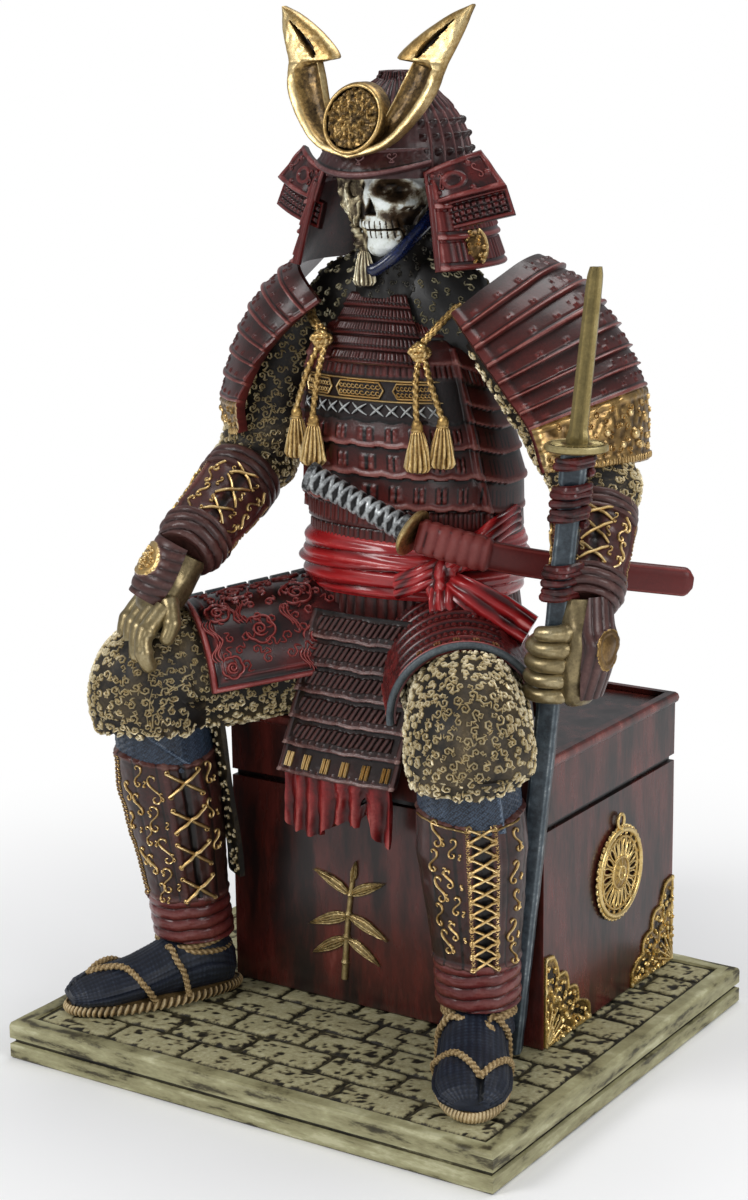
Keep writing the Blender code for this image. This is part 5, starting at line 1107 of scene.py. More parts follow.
    turns, k = np.meshgrid(leg_turns[::2], np.linspace(0.875, 1.085, 56))
    slant = k + 0.012 * sind(turns - 20) + 0.004 * grain(np.radians(turns) * 13, k * 40, 5.0, 67)
    rolls = ((slant - 0.875) / 0.0475) % 1
    wrap_rise = 0.6 + 1.0 * hump(rolls, 0.5, 0.52) + 0.12 * grain(np.radians(turns) * 13, k * 250, 1.4, 69 + side)
    wrap_rise = wrap_rise * fair((1.085 - k) / 0.02) - 2.5 * fair((k - 1.07) / 0.015)
    bind = leg_skin(side, turns, k, -0.3)
    bind_face = raised(bind, outward(bind), wrap_rise)
    leg_forms.append(wrapped(bind_face, 0.3 + 0.45 * hump(rolls, 0.45, 0.5), 0.0, 3))
    if side < 0:
        u, v = shares(26, 90)
        strip = (knee + (ankle - knee) * (0.1 + 0.72 * v)[..., None] + np.stack([10.5 + 8.5 * u + 1.2 * np.sin(4 * v),
            10.0 - 5.0 * u + 1.0 * np.cos(7 * v), 0 * u], -1))
        strip_off = outward(strip, away=knee + (0, 30, -40))
        strip_face = raised(strip, strip_off, 0.5 * grain(u * 9, v * 60, 4.0, 71))
        leg_forms.append(slab(strip_face, strip - strip_off * 1.6, 0.4, 0.1, 0))
        leg_forms += curls(strip_face, strip_off, lambda a, b, at: np.ones(len(a), bool), 2.8, 0.85, 0.3, 0.5, 73, 1.0)
    piece(node_name.replace("leg", "trousers_and_shin"), leg_forms, [brocade_paint, indigo_paint, shin_paint,
        binding_paint], [node_name])

# The feet
# Split-toed knitted socks in straw sandals, held by twisted straw ropes round the ankle and over the toes.
# They are moulded in one with the leg; indigo and straw paints are washed with black.


def cosd(turn):
    """The cosine of a turn in degrees."""
    return np.cos(np.radians(turn))


straw_paint = painted("straw_rope_paint", [(0.0, (0.02, 0.011, 0.004)), (0.35, (0.14, 0.085, 0.03)),
    (0.65, (0.38, 0.26, 0.12)), (1.0, (0.68, 0.55, 0.33))], rough=0.6, blotch=0.25, speck=0.25, size=8.0, coat=0.0)
knit_paint = painted("knitted_sock_paint", [(0.0, (0.003, 0.004, 0.006)), (0.4, (0.012, 0.016, 0.028)),
    (0.7, (0.045, 0.06, 0.09)), (1.0, (0.2, 0.23, 0.27))], rough=0.5, blotch=0.25, speck=0.2, size=9.0, coat=0.05)
for side, node_name, toe_turn in ((1, "left_foot", 30.0), (-1, "right_foot", 34.0)):
    knee, ankle = leg_hubs[side][1:]
    ahead = np.array([side * sin(radians(toe_turn)), -cos(radians(toe_turn)), 0])
    beside = np.array([-ahead[1], ahead[0], 0])
    heel = np.array([ankle[0], ankle[1], 13.0]) - 15 * ahead - (1.5 * side, 0, 0)

    def foot_at(along, sideways, z):
        """Places on the foot: along from the heel, sideways and up from the plinth."""
        along, sideways, z = np.broadcast_arrays(*(np.asarray(w, float) for w in (along, sideways, z)))
        return heel + along[..., None] * ahead + sideways[..., None] * beside + z[..., None] * (0, 0, 1)
    t = np.linspace(0, 2 * pi, 96, endpoint=False)
    rings = np.array([foot_at(30 + (30 + r) * np.cos(t), (12.5 + r) * (0.86 + 0.14 * np.cos(t)) * np.sin(t), z) for r,
        z in ((-1.4, 0.1), (-0.5, 0.5), (-0.3, 1.6), (-0.5, 2.8), (-1.8, 3.3))])
    foot_forms = [sleeve_form(rings, 0.35, 0.0, 1)]
    t = np.linspace(0, 2 * pi, 74, endpoint=False)[:, None]
    slope = np.linspace(0, 1, 6)[None]
    swing = t + 0.05 * slope
    bow = np.sin(slope * pi)
    lines = foot_at(30 + (29.3 + 0.7 * bow) * np.cos(swing), (12.1 + 0.7 * bow) * (0.86 + 0.14 * np.cos(swing))
        * np.sin(swing), 0.35 + 3.1 * slope)
    ways = lines - foot_at(30, 0, 1.5)
    ways[..., 2] = (slope - 0.5) * 14
    ways /= np.linalg.norm(ways, axis=-1, keepdims=True)
    foot_forms.append(beads(lines, ways, 0.88, 0.75, 0.0, 1, taper=0.7, low=0.0))
    stops = np.array([(2.2, 9.5, 3.6, 3.0), (4.0, 10.2, 7.2, 6.8), (8.0, 12.0, 9.6, 8.8), (14.0, 12.9, 10.9, 9.7),
        (22.4, 11.6, 9.8, 9.6), (29.0, 9.9, 8.0, 9.9), (36.0, 8.4, 6.6, 10.4), (44.0, 7.6, 5.7, 10.8),
        (50.0, 7.0, 5.0, 10.6), (55.0, 6.2, 4.0, 9.0), (58.4, 5.4, 2.0, 5.2)])
    way = np.linspace(0, 1, 118)
    spaced = np.interp(way, np.linspace(0, 1, len(stops)), np.arange(len(stops)))
    d, height, tall, broad = (np.interp(spaced, np.arange(len(stops)), stops[:, i]) for i in range(4))
    t = np.linspace(0, 2 * pi, 110)
    d, height, tall, broad, t = d[:, None], height[:, None], tall[:, None], broad[:, None], t[None]
    knit = np.cos(d * 2 * pi / 1.25 + 1.2 * np.abs(np.sin(t * 15))) * 0.5 + 0.5 * np.cos(t * 30)
    cleft = hump(broad * np.sin(t), 2.6 * side, 1.1) * fair((d - 44) / 8) * (np.cos(t) > 0)
    z = np.maximum(height + tall * np.cos(t) - 1.6 * cleft, 3.4)
    skin = foot_at(d + 0 * t, broad * np.sin(t) * (1 + 0.1 * (np.cos(t) < 0)), z)
    skin_off = outward(skin)
    foot_skin = raised(skin, skin_off, 0.16 * knit + 0.3 * grain(d + 0 * t, t * 9, 6.0, 75))
    foot_forms.append(wrapped(foot_skin, 0.36 + 0.2 * knit - 0.5 * cleft, 0.0, 0))
    turns, k = np.meshgrid(np.linspace(-180, 180, 100), np.linspace(1.02, 1.2, 46))
    knit = np.cos(k * 82.3 * 2 * pi / 1.25 + 1.2
        * np.abs(np.sin(np.radians(turns) * 13))) * 0.5 + 0.5 * np.cos(np.radians(turns) * 26)
    sock = leg_skin(side, turns, k, -2.2 + 1.0 * fair((k - 1.1) / 0.1))
    sock_face = raised(sock, outward(sock), 0.16 * knit)
    foot_forms.append(wrapped(sock_face, 0.36 + 0.2 * knit, 0.0, 0))

    def over_sock(along, turn, lift=0.8):
        """Places just off the sock, by distance from the heel and turn in degrees from its top."""
        along, turn = np.asarray(along, float), np.radians(turn)
        level, rise, half = (np.interp(along, stops[:, 0], stops[:, i]) for i in (1, 2, 3))
        return foot_at(along, (half + lift) * np.sin(turn), np.maximum(level + (rise + lift) * np.cos(turn), 3.0))
    t = np.linspace(-180, 180, 74)
    for k_at, tilt in ((1.085, 0.02), (1.12, -0.012)):
        loop = leg_skin(side, t, k_at + tilt * cosd(t - toe_turn * side), -1.2)
        foot_forms.append(rope(loop, 0.95, 8, 0.0, 1, 0.55, 0.22, 1.9))
    knot = leg_skin(side, toe_turn * side + 8, 1.13, 0.2)
    for hand in (-1, 1):
        path = curve_through([knot, over_sock(26, hand * 34, 1.4), over_sock(25, hand * 62, 1.0),
            over_sock(23, hand * 90, 1.1), foot_at(21.5, hand * 11.0, 3.4)], 60)
        foot_forms.append(rope(path, 0.95, 8, 0.0, 1, 0.55, 0.22, 1.9))
        path = curve_through([over_sock(51.5, 14 * side, 0.1), over_sock(47, 14 * side + 16 * hand, 1.0),
            over_sock(41, 14 * side + 42 * hand, 1.1), over_sock(36, 90 * hand, 1.0), foot_at(33, hand * 11.2, 3.4)],
            60)
        foot_forms.append(rope(path, 1.0, 8, 0.0, 1, 0.55, 0.22, 1.9))
        ring = np.linspace(0, 2 * pi, 24)
        path = knot + np.stack([(1.6 + 0.8 * hand) * np.cos(ring) + hand, -0.7 - 0.5 * np.sin(ring * 2), 1.5
            * np.sin(ring)], -1)
        foot_forms.append(rope(path, 0.9, 8, 0.0, 1, 0.6, 0.2, 1.9))
    piece(node_name.replace("foot", "sock_and_sandal"), foot_forms, [knit_paint, straw_paint], [node_name])

# The skull and the broken mask
# A bare skull shows under the helmet: white bone paint washed with brown in sockets, teeth and sutures, with painted
# shade behind the mask and under the helmet.
# Half of a bronze war mask with its beard is left on one cheek; a blue cord runs under the jaw.
def head(x, y, h):
    """Points on the head: x to the figure's left, y back from its middle, h up from the helmet's rim."""
    return np.stack(np.broadcast_arrays(np.asarray(x, float) + 1.0, np.asarray(y, float) + 13.0, np.asarray(h, float)
        + 278.5), -1)


bone_paint = painted("bone_white_paint", [(0.0, (0.007, 0.004, 0.002)), (0.28, (0.06, 0.034, 0.016)),
    (0.48, (0.36, 0.33, 0.25)), (0.62, (0.70, 0.74, 0.70)), (1.0, (0.90, 0.94, 0.93))], rough=0.42, blotch=0.34,
    speck=0.2, size=3.0, coat=0.0, fine=0.8)
bronze_paint = painted("mask_bronze_paint", [(0.0, (0.008, 0.006, 0.004)), (0.35, (0.07, 0.05, 0.03)),
    (0.65, (0.36, 0.30, 0.18)), (1.0, (0.74, 0.70, 0.52))], rough=0.36, blotch=0.3, speck=0.25, size=4.0, metal=0.7)
navy_paint = painted("navy_cord_paint", [(0.0, (0.001, 0.002, 0.006)), (0.45, (0.003, 0.007, 0.032)),
    (0.75, (0.009, 0.022, 0.11)), (1.0, (0.08, 0.13, 0.3))], rough=0.22, coat=0.9, bump=0)
skull_rows = np.array([(-25.4, 1.0, -6.5, 4.0, 2.6), (-24.5, 1.0, -7.0, 6.6, 4.8), (-21.5, 0.8, -7.5, 8.8, 6.8),
    (-16.5, 0.6, -6.5, 10.0, 8.6), (-10.0, 0.4, -5.0, 12.2, 11.0), (-5.0, 0.2, -3.5, 13.6, 13.0), (2.0, 0.0, -1.0, 14.5,
    14.0), (6.0, 0.0, 0.0, 12.5, 12.5)])


def skull_skin(turn, h, out=0.0):
    """The skull's skin, by turn in degrees from the face and height over the rim."""
    turn, h = np.broadcast_arrays(np.radians(turn), np.asarray(h, float))
    x, y, deep, wide = (np.interp(h, skull_rows[:, 0], skull_rows[:, i]) for i in (1, 2, 3, 4))
    return head(x + (wide + out) * np.sin(turn), y - (deep + out) * np.cos(turn), h)


skull_turns = np.concatenate([np.linspace(-180, -96, 12), np.linspace(-92, 92, 150), np.linspace(96, 180, 12)])
turns, level = np.meshgrid(skull_turns, np.linspace(5.5, -25.4, 112))
wide = np.interp(level, skull_rows[:, 0], skull_rows[:, 4])
lateral = np.where(np.abs(turns) < 92, wide * sind(turns), 20.0)
beside = np.abs(lateral)


def swell(x, y, middle_x, middle_y, size_x, size_y):
    """A soft mound, 1 at its middle."""
    return np.exp(-((x - middle_x) / size_x) ** 2 - ((y - middle_y) / size_y) ** 2)


socket = np.hypot((beside - 6.6) / 5.0, (level + 3.4 + 0.10 * beside) / 3.4)
in_socket = fair((1.05 - socket) / 0.35)
nose_half = 0.5 + 1.5 * np.clip((-6.8 - level) / 4.6, 0, 1)
in_nose = fair((nose_half - beside) / 0.7 + 0.3) * (level < -6.6) * fair((level + 12.0) / 0.8)
tooth = hump(beside % 1.5, 0.75, 0.72)
tooth_rows = (hump(level, -14.5, 1.35) + hump(level, -17.4, 1.2)) * (beside < 7.6)
bite = swell(level, level, -16.0, -16.0, 0.3, 0.3) * (beside < 7.5)
face_rise = (1.1 * swell(beside, level, 5.0, 0.0, 6.5, 1.6) - 3.6 * in_socket - 2.2 * fair((0.9 - socket) / 0.9) + 0.45
    * in_socket * grain(turns * 0.2, level, 1.1, 77) + 0.6 * swell(socket, socket, 1.2, 1.2, 0.2, 0.2) - 2.8 * in_nose
    + 1.2 * swell(lateral, level, 0, -4.6, 1.7, 2.6) + 1.5 * swell(beside, level, 9.2, -8.8, 3.0, 1.5) - 1.7
    * swell(beside, level, 8.0, -13.6, 2.2, 2.6) + 0.9 * swell(lateral, level, 0, -14.4, 5.5, 3.4) + 0.55 * tooth_rows
    * tooth - 0.8 * bite + 0.9 * swell(beside, level, 5.6, -20.0, 2.4, 2.2) + 0.9 * swell(lateral, level, 0, -22.6, 2.6,
    1.6) + 0.12 * grain(turns * 0.2, level, 1.8, 81))
# Painted shade: the bone is darkened behind the half mask on the figure's right and under the helmet's rim, and made
# darker towards the sides and back; the rest of the mark is brown wash in sockets, nose, teeth and stains.
face_mark = (0.72 - 0.50 * fair((1.35 - socket) / 0.5) - 0.1 * fair((0.9 - socket) / 0.3) + 0.2
    * grain(turns * 0.2, level, 1.1, 77) * in_socket - 1.2 * in_nose - 0.3 * swell(lateral, level, 0.0, -10.5, 3.4, 2.6)
    - 0.75 * (tooth_rows > 0.2) * (tooth < 0.5) - 0.3 * (tooth_rows > 0.05) * (tooth_rows < 0.45) - 0.8 * bite - 0.65
    * swell(beside, level, 8.2, -13.2, 2.8, 3.6) - 0.35 * swell(beside, level, 4.0, -12.0, 1.6, 1.2) - 0.6
    * fair((-1.2 - lateral) / 1.5) * (level > -13) - 0.3 * fair((level - 0.5) / 2) - 0.3 * fair((np.abs(turns) - 62)
    / 18) + 0.16 * grain(turns * 0.2, level, 2.0, 82) - 0.75 * swell(beside, level, 10.6, -9.6, 2.4, 0.8)
    * (grain(turns * 0.2, level, 1.0, 79) > -0.4) - 0.45 * swell(beside, level, 7.4, -18.6, 1.6, 2.2)
    * (grain(turns * 0.2, level, 0.9, 78) > 0))
skull_face = skull_skin(turns, level)
skull_off = outward(skull_face)
skull_face = raised(skull_face, skull_off, face_rise)
head_forms = [wrapped(skull_face, face_mark, 0.0, 0)]
u, v = shares(60, 60)
mask_level = -0.2 - 14.6 * v + 1.2 * grain(u * 9, 0 * u, 3.0, 84) * (v > 0.5)
outer_x = -13.4 + 8.2 * v ** 2.2
mask_x = outer_x * (1 - u) + (-1.6 - 2.6 * v + 0.9 * grain(v * 20, 0 * v, 2.2, 83)) * u
mask_skin = head(mask_x, -11.5 - 5.6 * np.sqrt(np.clip(1 - (mask_x / 15.5) ** 2, 0, 1)) - 1.0 * v, mask_level)
mask_off = outward(mask_skin, away=head(0, 0, -8))
eye = fair((1.0 - np.hypot((u - 0.66) / 0.26, (v - 0.26) / 0.2)) / 0.4)
mask_rise = (0.55 * grain(u * 14, v * 14, 2.0, 85) + 0.3 * grain(u * 14, v * 14, 0.9, 86) - 2.4 * eye + 1.0
    * swell(u, v, 0.45, 0.62, 0.3, 0.2) + 0.8 * swell(u, v, 0.6, 0.03, 0.35, 0.07))
mask_mark = 0.55 + 0.45 * grain(u * 14, v * 14, 2.0, 85) - 0.9 * eye + 0.3 * swell(u, v, 0.45, 0.62, 0.3, 0.2)
head_forms.append(slab(raised(mask_skin, mask_off, mask_rise), mask_skin - mask_off * 1.1, mask_mark, 0.0, 1))
strand = curve_through([head(-6.0, -14.6, -12.5), head(-4.6, -16.0, -17.0), head(-3.2, -16.3, -21.5)], 30)
head_forms.append(rope(strand, 1.9 + 0.3 * np.sin(np.arange(30) * 1.1), 12, 0.0, 1, 0.5, 0.16, 6.0))
strand = curve_through([head(-2.0, -16.9, -13.0), head(-1.8, -16.4, -18.5), head(-2.6, -16.2, -22.5)], 24)
head_forms.append(rope(strand, 0.9, 8, 0.0, 1, 0.5, 0.2, 4.0))
*beard_form, gilt, paint = tassel(head(-2.8, -15.6, -20.0), head(-2.4, -16.9, -33.0), 3.5, 5)
head_forms.append((*beard_form, gilt * 0, 1))
strand = curve_through([head(-1.0, -15.9, -28.6), head(2.2, -16.0, -27.8), head(7.2, -13.2, -23.6),
    head(11.2, -7.5, -17.4), head(13.2, -1.5, -12.0)], 60)
head_forms.append(rope(strand, 2.0 + 0.12 * np.sin(np.arange(60) * 0.25), 16, 0.0, 2, 0.5))
turns, level = np.meshgrid(np.linspace(-180, 180, 100), np.linspace(-15, -37, 50))
collar = head(12.3 * sind(turns), -1.5 - (11.2 + 0.12 * (-15 - level)) * cosd(turns), level)
collar_off = outward(collar)
collar_face = raised(collar, collar_off, 0.8 * grain(turns * 0.2, level, 4.0, 87))
head_forms.append(wrapped(collar_face, 0.3, 0.0, 3))
head_forms += curls(collar_face, collar_off, lambda a, b, at: (a > 0.3) & (a < 0.85), 2.7, 1.0, 0.32, 0.5, 88, 0.34, 3,
    11)
piece("skull_and_mask", head_forms, [bone_paint, bronze_paint, navy_paint, black_scroll_paint], ["skull"], 60)

# The helmet
# A riveted bowl of upright plates under a pleated crown with a notched cap, and a brow plate with a rolled rim.
# It is cast with the head and painted plum brown, rubbed lighter on ribs, rivets and pleats.
helmet_paint = painted("plum_helmet_paint", [(0.0, (0.003, 0.002, 0.002)), (0.3, (0.018, 0.006, 0.006)),
    (0.55, (0.062, 0.018, 0.018)), (0.8, (0.12, 0.045, 0.044)), (1.0, (0.30, 0.17, 0.16))], rough=0.4, blotch=0.22,
    speck=0.14, size=9.0, coat=0.2)
profile = curve_through([(21.8, -0.4), (22.0, 5.4), (20.6, 12.2), (17.4, 18.4), (12.6, 23.6), (8.6, 26.6), (5.6, 28.8),
    (5.0, 30.4)], 112)
bowl_turns = np.linspace(-180, 180, 271)
radius, level = profile[:, :1], profile[:, 1:]
turns = np.broadcast_to(bowl_turns[None], (112, 271))
plates = (turns * 30 / 360 + 0.5) % 1
span = radius * 2 * pi / 30
at_side = fair((np.abs(turns - 5) - 42) / 6)
crown = fair((level - 15.0 - 3.5 * at_side) / 1.5)
bowl_rise = 0.5 * hump((plates - 0.5) * span, 0, 0.42) * (1 - crown) * at_side
bowl_mark = 0.42 + 0.5 * hump((plates - 0.5) * span, 0, 0.5) * (1 - crown) * at_side
for rivet in (2.6, 7.2, 11.6, 15.6):
    dome = hump(np.hypot(((plates + 0.5) % 1 - 0.5) * span, (level - rivet) * 1.05), 0, 1.15) * at_side * (1 - crown)
    bowl_rise, bowl_mark = bowl_rise + 1.7 * dome, bowl_mark - 0.15 * dome
pleat = np.cos(np.radians(turns) * 40 + 0.8 * grain(turns * 0.3, level + 0 * turns, 5.0, 91))
bowl_rise = bowl_rise + crown * (0.42 * pleat * np.minimum(radius / 12, 1) + 0.25)
bowl_mark = bowl_mark + crown * 0.3 * pleat
cap = fair((level - 28.0) / 0.5)
bowl_rise = bowl_rise + cap * 0.5 * np.sign(np.cos(np.radians(turns) * 9))
bowl_rise = bowl_rise + 0.1 * grain(turns * 0.35, level + 0 * turns, 1.6, 92)
bowl = head(radius * sind(turns), -radius * 1.04 * cosd(turns), level)
bowl_off = outward(bowl)
bowl_face = raised(bowl, bowl_off, bowl_rise)
top_ring = bowl_face[-1:] * (1, 1, 0) * 0.55 + head(0, 0, 0) * (1, 1, 0) * 0.45 + (0, 0, 309.4)
helmet_forms = [sleeve_form(np.concatenate([bowl_face, top_ring])[:, :-1], np.concatenate([bowl_mark, bowl_mark[-1:] * 0
    + 0.55])[:, :-1], 0.0, 0)]
u, v = shares(130, 44)
turns = -48 + 104 * u
reach = 22.0 + 3.3 * v ** 1.2
peak = head(reach * sind(turns), -reach * 1.06 * cosd(turns), 8.6 - 8.6 * v + 6.0 * v * sind(turns) ** 2)
peak_off = outward(peak, away=head(0, 0, 0))
peak_rise = 0.2 + 0.75 * hump(v, 0.9, 0.09) + 0.35 * hump(v, 0.08, 0.06) + 0.12 * grain(u * 50, v * 9, 1.3, 93)
peak_mark = 0.42 + 0.45 * hump(v, 0.9, 0.1) + 0.2 * hump(v, 0.08, 0.08) - 0.35 * hump(v, 0.77, 0.05)
peak_face = raised(peak, peak_off, peak_rise)
helmet_forms.append(slab(peak_face, peak - peak_off * 1.2, peak_mark))
for place_u in (0.50, 0.74):
    for hand in (-1, 1):
        x, y = volute(3.6, 0.8, hand)
        helmet_forms.append(drawn(peak_face, peak_off, place_u + 0.012 * hand, 0.42, x, y * 0.8, 0.3, 0.35, 0.0, 0))
piece("helmet_bowl", helmet_forms, [helmet_paint], ["helmet"], 40)

# The neck guard and its turned-back wings
# Three laced rows flare round the back of the neck; in front they fold back into two-tier wings with a rim,
# an oval boss and rivets. A gilt pierced boss closes the row ends on the figure's left. Cast and painted dark red.
neck_paint = painted("neck_guard_paint", [(0.0, (0.002, 0.001, 0.001)), (0.35, (0.022, 0.004, 0.004)),
    (0.62, (0.10, 0.010, 0.009)), (0.85, (0.17, 0.028, 0.024)), (1.0, (0.32, 0.13, 0.12))], rough=0.34, blotch=0.28,
    speck=0.14, size=7.0, coat=0.35)
u, v = shares(210, 108)
turns = 54 + 252 * u
reach = 20.8 + 3.6 * fair(v / 0.06) + 7.6 * v ** 0.8
nape = head(reach * sind(turns), -reach * cosd(turns), -0.5 - 27 * v)
nape_off = outward(nape, away=head(0, 0, -10))
share = np.where(v >= 1, 1.0, (v * 3) % 1)
arc = u * 128
scale = hump(arc % 2.0, 1.0, 0.9)
nape_rise = 0.1 + 1.0 * share + 0.45 * hump(share, 0.93, 0.07) + 0.5 * scale * (share > 0.08) * (share < 0.72)
nape_mark = 0.2 + 0.35 * scale * (share < 0.72) + 0.5 * hump(share, 0.92, 0.1) + 0.1 * share
rim = np.maximum(hump(u, 0.008, 0.014), hump(u, 0.992, 0.014))
nape_forms = [slab(raised(nape, nape_off, nape_rise + 0.6 * rim), nape - nape_off * 1.4, nape_mark + 0.3 * rim)]
for end in (0, -1):
    nape_forms.append(rope(nape[8:, end], 1.25, 10, 0.0, 0, 0.6))
wings = {"upper": ((17.5, -14, 1.5), (32, -4.5, 8), (41.5, -5.5, -2.5), (20.5, -16, -8.5)), "lower": ((19, -13, -8.9),
    (40, -3, -2.6), (43.5, -3.5, -11), (21, -13.5, -17))}
for side in (1, -1):
    for tier, corners in wings.items():
        a, b, c, d = (head(*(np.array(corner) * (side, 1, 1))) for corner in corners)
        u, v = shares(92, 50)
        wing = ((a * (1 - u[..., None]) + b * u[..., None]) * (1 - v[..., None]) + (d * (1 - u[..., None]) + c
            * u[..., None]) * v[..., None])
        wing[..., 1] -= 2 * np.sin(pi * u)
        wing_off = outward(wing, away=head(side * 30, 40, -5))
        width, height = np.linalg.norm(b - a), np.linalg.norm(d - a)
        edge = np.minimum(np.minimum(u, 1 - u) * width * 1.1, np.minimum(v, 1 - v) * height)
        if tier == "upper":
            lip = hump(edge, 0.75, 0.75)
            ring = np.hypot((u - 0.45) * width / 2.7, (v - 0.5) * height / 2.0)
            boss = hump(ring, 1.0, 0.3)
            dots = sum(hump(np.hypot((u - du) * width, (v - dv) * height), 0, 0.75) for du,
                dv in ((0.16, 0.22), (0.2, 0.72), (0.74, 0.2), (0.66, 0.82), (0.9, 0.55)))
            rise = 0.7 * lip + 0.6 * boss + 0.8 * dots + 0.3 * grain(u * 20, v * 10, 2.6, 95) + 0.25 * hump(ring, 0,
                0.7)
            mark = 0.36 + 0.45 * lip + 0.35 * boss + 0.35 * dots + 0.15 * grain(u * 20, v * 10, 2.6, 95)
        else:
            lip = hump(edge, 0.6, 0.6)
            bumps = hump((u * width) % 1.9, 0.95, 0.85) * hump((v * height) % 1.75, 0.87, 0.8) * (edge > 1.2)
            rise = 0.6 * lip + 0.75 * bumps
            mark = 0.2 + 0.5 * lip + 0.4 * bumps
        nape_forms.append(slab(raised(wing, wing_off, rise), wing - wing_off * 1.6, mark))
        if tier == "upper":
            for du, hand in ((0.27, 1), (0.8, -1)):
                x, y = volute(4.6, 0.85, hand)
                nape_forms.append(drawn(raised(wing, wing_off, rise), wing_off, du, 0.46, x, y, 0.32, 0.4, 0.0, 0))
t, ring = np.meshgrid(np.linspace(0, 2 * pi, 41), np.linspace(0.12, pi - 0.12, 24))
boss = head(29.5 + 4.0 * np.sin(ring) * np.cos(t), -5.0 + 4.0 * np.sin(ring) * np.sin(t), -21.5 + 5.8 * np.cos(ring))
boss_off = outward(boss)
nape_forms.append(wrapped(boss, 0.15, 1.0, 1))
nape_forms += curls(boss, boss_off, lambda a, b, at: (b > 0.1) & (b < 0.9), 1.9, 0.75, 0.36, 0.6, 97, 1.0, 1, 12)
for slice_at in np.linspace(0.1, 0.9, 7):
    nape_forms.append(rope(boss[2:-2, int(slice_at * 20)] + boss_off[2:-2, int(slice_at * 20)] * 0.3, 0.42, 6, 1.0, 1,
        0.8))
piece("neck_guard_rows", nape_forms, [neck_paint, cord_gold], ["neck_guard"], 45)

# The helmet's crest
# Two hoe-shaped horns with a trough in front and a pierced barbed blade, rising from a round badge of foliage.
# One casting in worn gold paint; the trough down each horn's front is painted darker as the shade on its inner wall,
# and its other hollows are washed dark.
crest_paint = painted("crest_gold_paint", [(0.0, (0.02, 0.012, 0.006)), (1.0, (0.5, 0.35, 0.15))], rough=0.4,
    blotch=0.3, speck=0.42, size=4.5, gold=[(0.0, (0.010, 0.007, 0.005)), (0.3, (0.12, 0.075, 0.03)),
    (0.6, (0.38, 0.24, 0.08)), (1.0, (0.68, 0.53, 0.27))], fine=1.0)
horn_outer = [(0, -0.36), (0.34, -0.26), (0.57, -0.05), (0.74, 0.21), (0.785, 0.38), (0.80, 0.43)]
horn_inner = [(0, -0.12), (0.25, -0.03), (0.35, 0.15), (0.42, 0.34), (0.475, 0.47), (0.49, 0.505)]
blade_outer = [(0.81, 0.47), (0.825, 0.51), (0.86, 0.59), (0.90, 0.69), (0.95, 0.83), (0.995, 1.0)]
blade_inner = [(0.335, 0.525), (0.305, 0.55), (0.37, 0.635), (0.55, 0.785), (0.79, 0.935), (0.985, 1.015)]
crest_forms = []
for side in (1, -1):
    outer = np.concatenate([curve_through(horn_outer, 46), curve_through(blade_outer, 50)])
    inner = np.concatenate([curve_through(horn_inner, 46), curve_through(blade_inner, 50)])
    rows, columns = len(outer), 34
    c = np.linspace(0, 1, columns)[None]
    t = np.linspace(0, 1, rows)[:, None]
    flat = inner[:, None] * (1 - c[..., None]) + outer[:, None] * c[..., None]
    blade = fair((t - 0.46 + 0.18 * c) / (0.05 + 0.32 * c))
    trough = hump(c, 0.40, 0.34)
    stem_front = 1.9 + 1.3 * c - 2.1 * trough + 0.5 * hump(c, 0.86, 0.13)
    spear_front = 1.2 + 1.5 * hump(c, 0.55, 0.5)
    slot = hump(c, 0.44 + 0.1 * (t - 0.6), 0.02 + 0.075
        * np.sin(pi * np.clip((t - 0.6) / 0.29, 0, 1))) * (t > 0.6) * (t < 0.89)
    front = stem_front * (1 - blade) + spear_front * blade - 2.2 * slot
    front = front * fair(np.minimum(c, 1 - c) / 0.05 + 0.35) * (1 - 0.45 * fair((t - 0.85) / 0.15))
    front = front + 0.12 * grain(flat[..., 0] * 34, flat[..., 1] * 32, 1.2, 101)
    # Painted shade: the mark is lowered along the front trough to stand for the shade on its inner wall.
    mark = (0.62 - 0.42 * trough * (1 - blade) + 0.3 * hump(c, 0.86, 0.13) + 0.25 * hump(c, 0.03, 0.06) + 0.2 * blade
        * hump(c, 0.62, 0.3) - 0.9 * slot)
    horn = np.stack([2.2 + side * flat[..., 0] * 34, -10.6 + 0.32 * flat[..., 1] * 32.25 - front, 296 + flat[..., 1]
        * 32.25], -1)
    rear = horn.copy()
    rear[..., 1] = -10.6 + 0.32 * flat[..., 1] * 32.25 + 1.9 * (1 - 0.5 * t) * fair(np.minimum(c, 1 - c) / 0.1 + 0.5)
    crest_forms.append(slab(horn, rear, mark, 1.0, 0))
t, r = np.meshgrid(np.linspace(0, 2 * pi, 121), np.linspace(0.25, 10.6, 46))
petals = np.abs(np.cos(4 * t + 1.2 * np.sin(r * 0.8)))
field = (0.5 * petals * hump(r, 3.2, 2.4) + 0.45 * np.abs(np.cos(8 * t)) * hump(r, 6.8, 1.9) + 0.35
    * grain(r * np.cos(t), r * np.sin(t), 0.9, 103)) * (r < 9.0)
badge_front = 3.2 + 0.5 * (1 - (r / 10) ** 2) + field + 1.15 * hump(r, 9.75, 0.85) - 0.5 * (r > 8.7) * (r < 9.1)
badge_mark = 0.20 + 0.55 * field + 0.5 * hump(r, 9.75, 0.9) - 0.5 * (r > 8.6) * (r < 9.1)
badge = np.stack([2.2 + r * np.cos(t), -10.6 + 0.32 * r * np.sin(t) - badge_front, 296 + r * np.sin(t)], -1)
back_ring = np.stack([2.2 + r[-1:] * np.cos(t[-1:]), -10.0 + 0.32 * r[-1:] * np.sin(t[-1:]), 296 + r[-1:]
    * np.sin(t[-1:])], -1)
crest_forms.append(sleeve_form(np.concatenate([badge, back_ring])[:, :-1],
    np.concatenate([badge_mark, badge_mark[-1:]])[:, :-1], 1.0, 0))
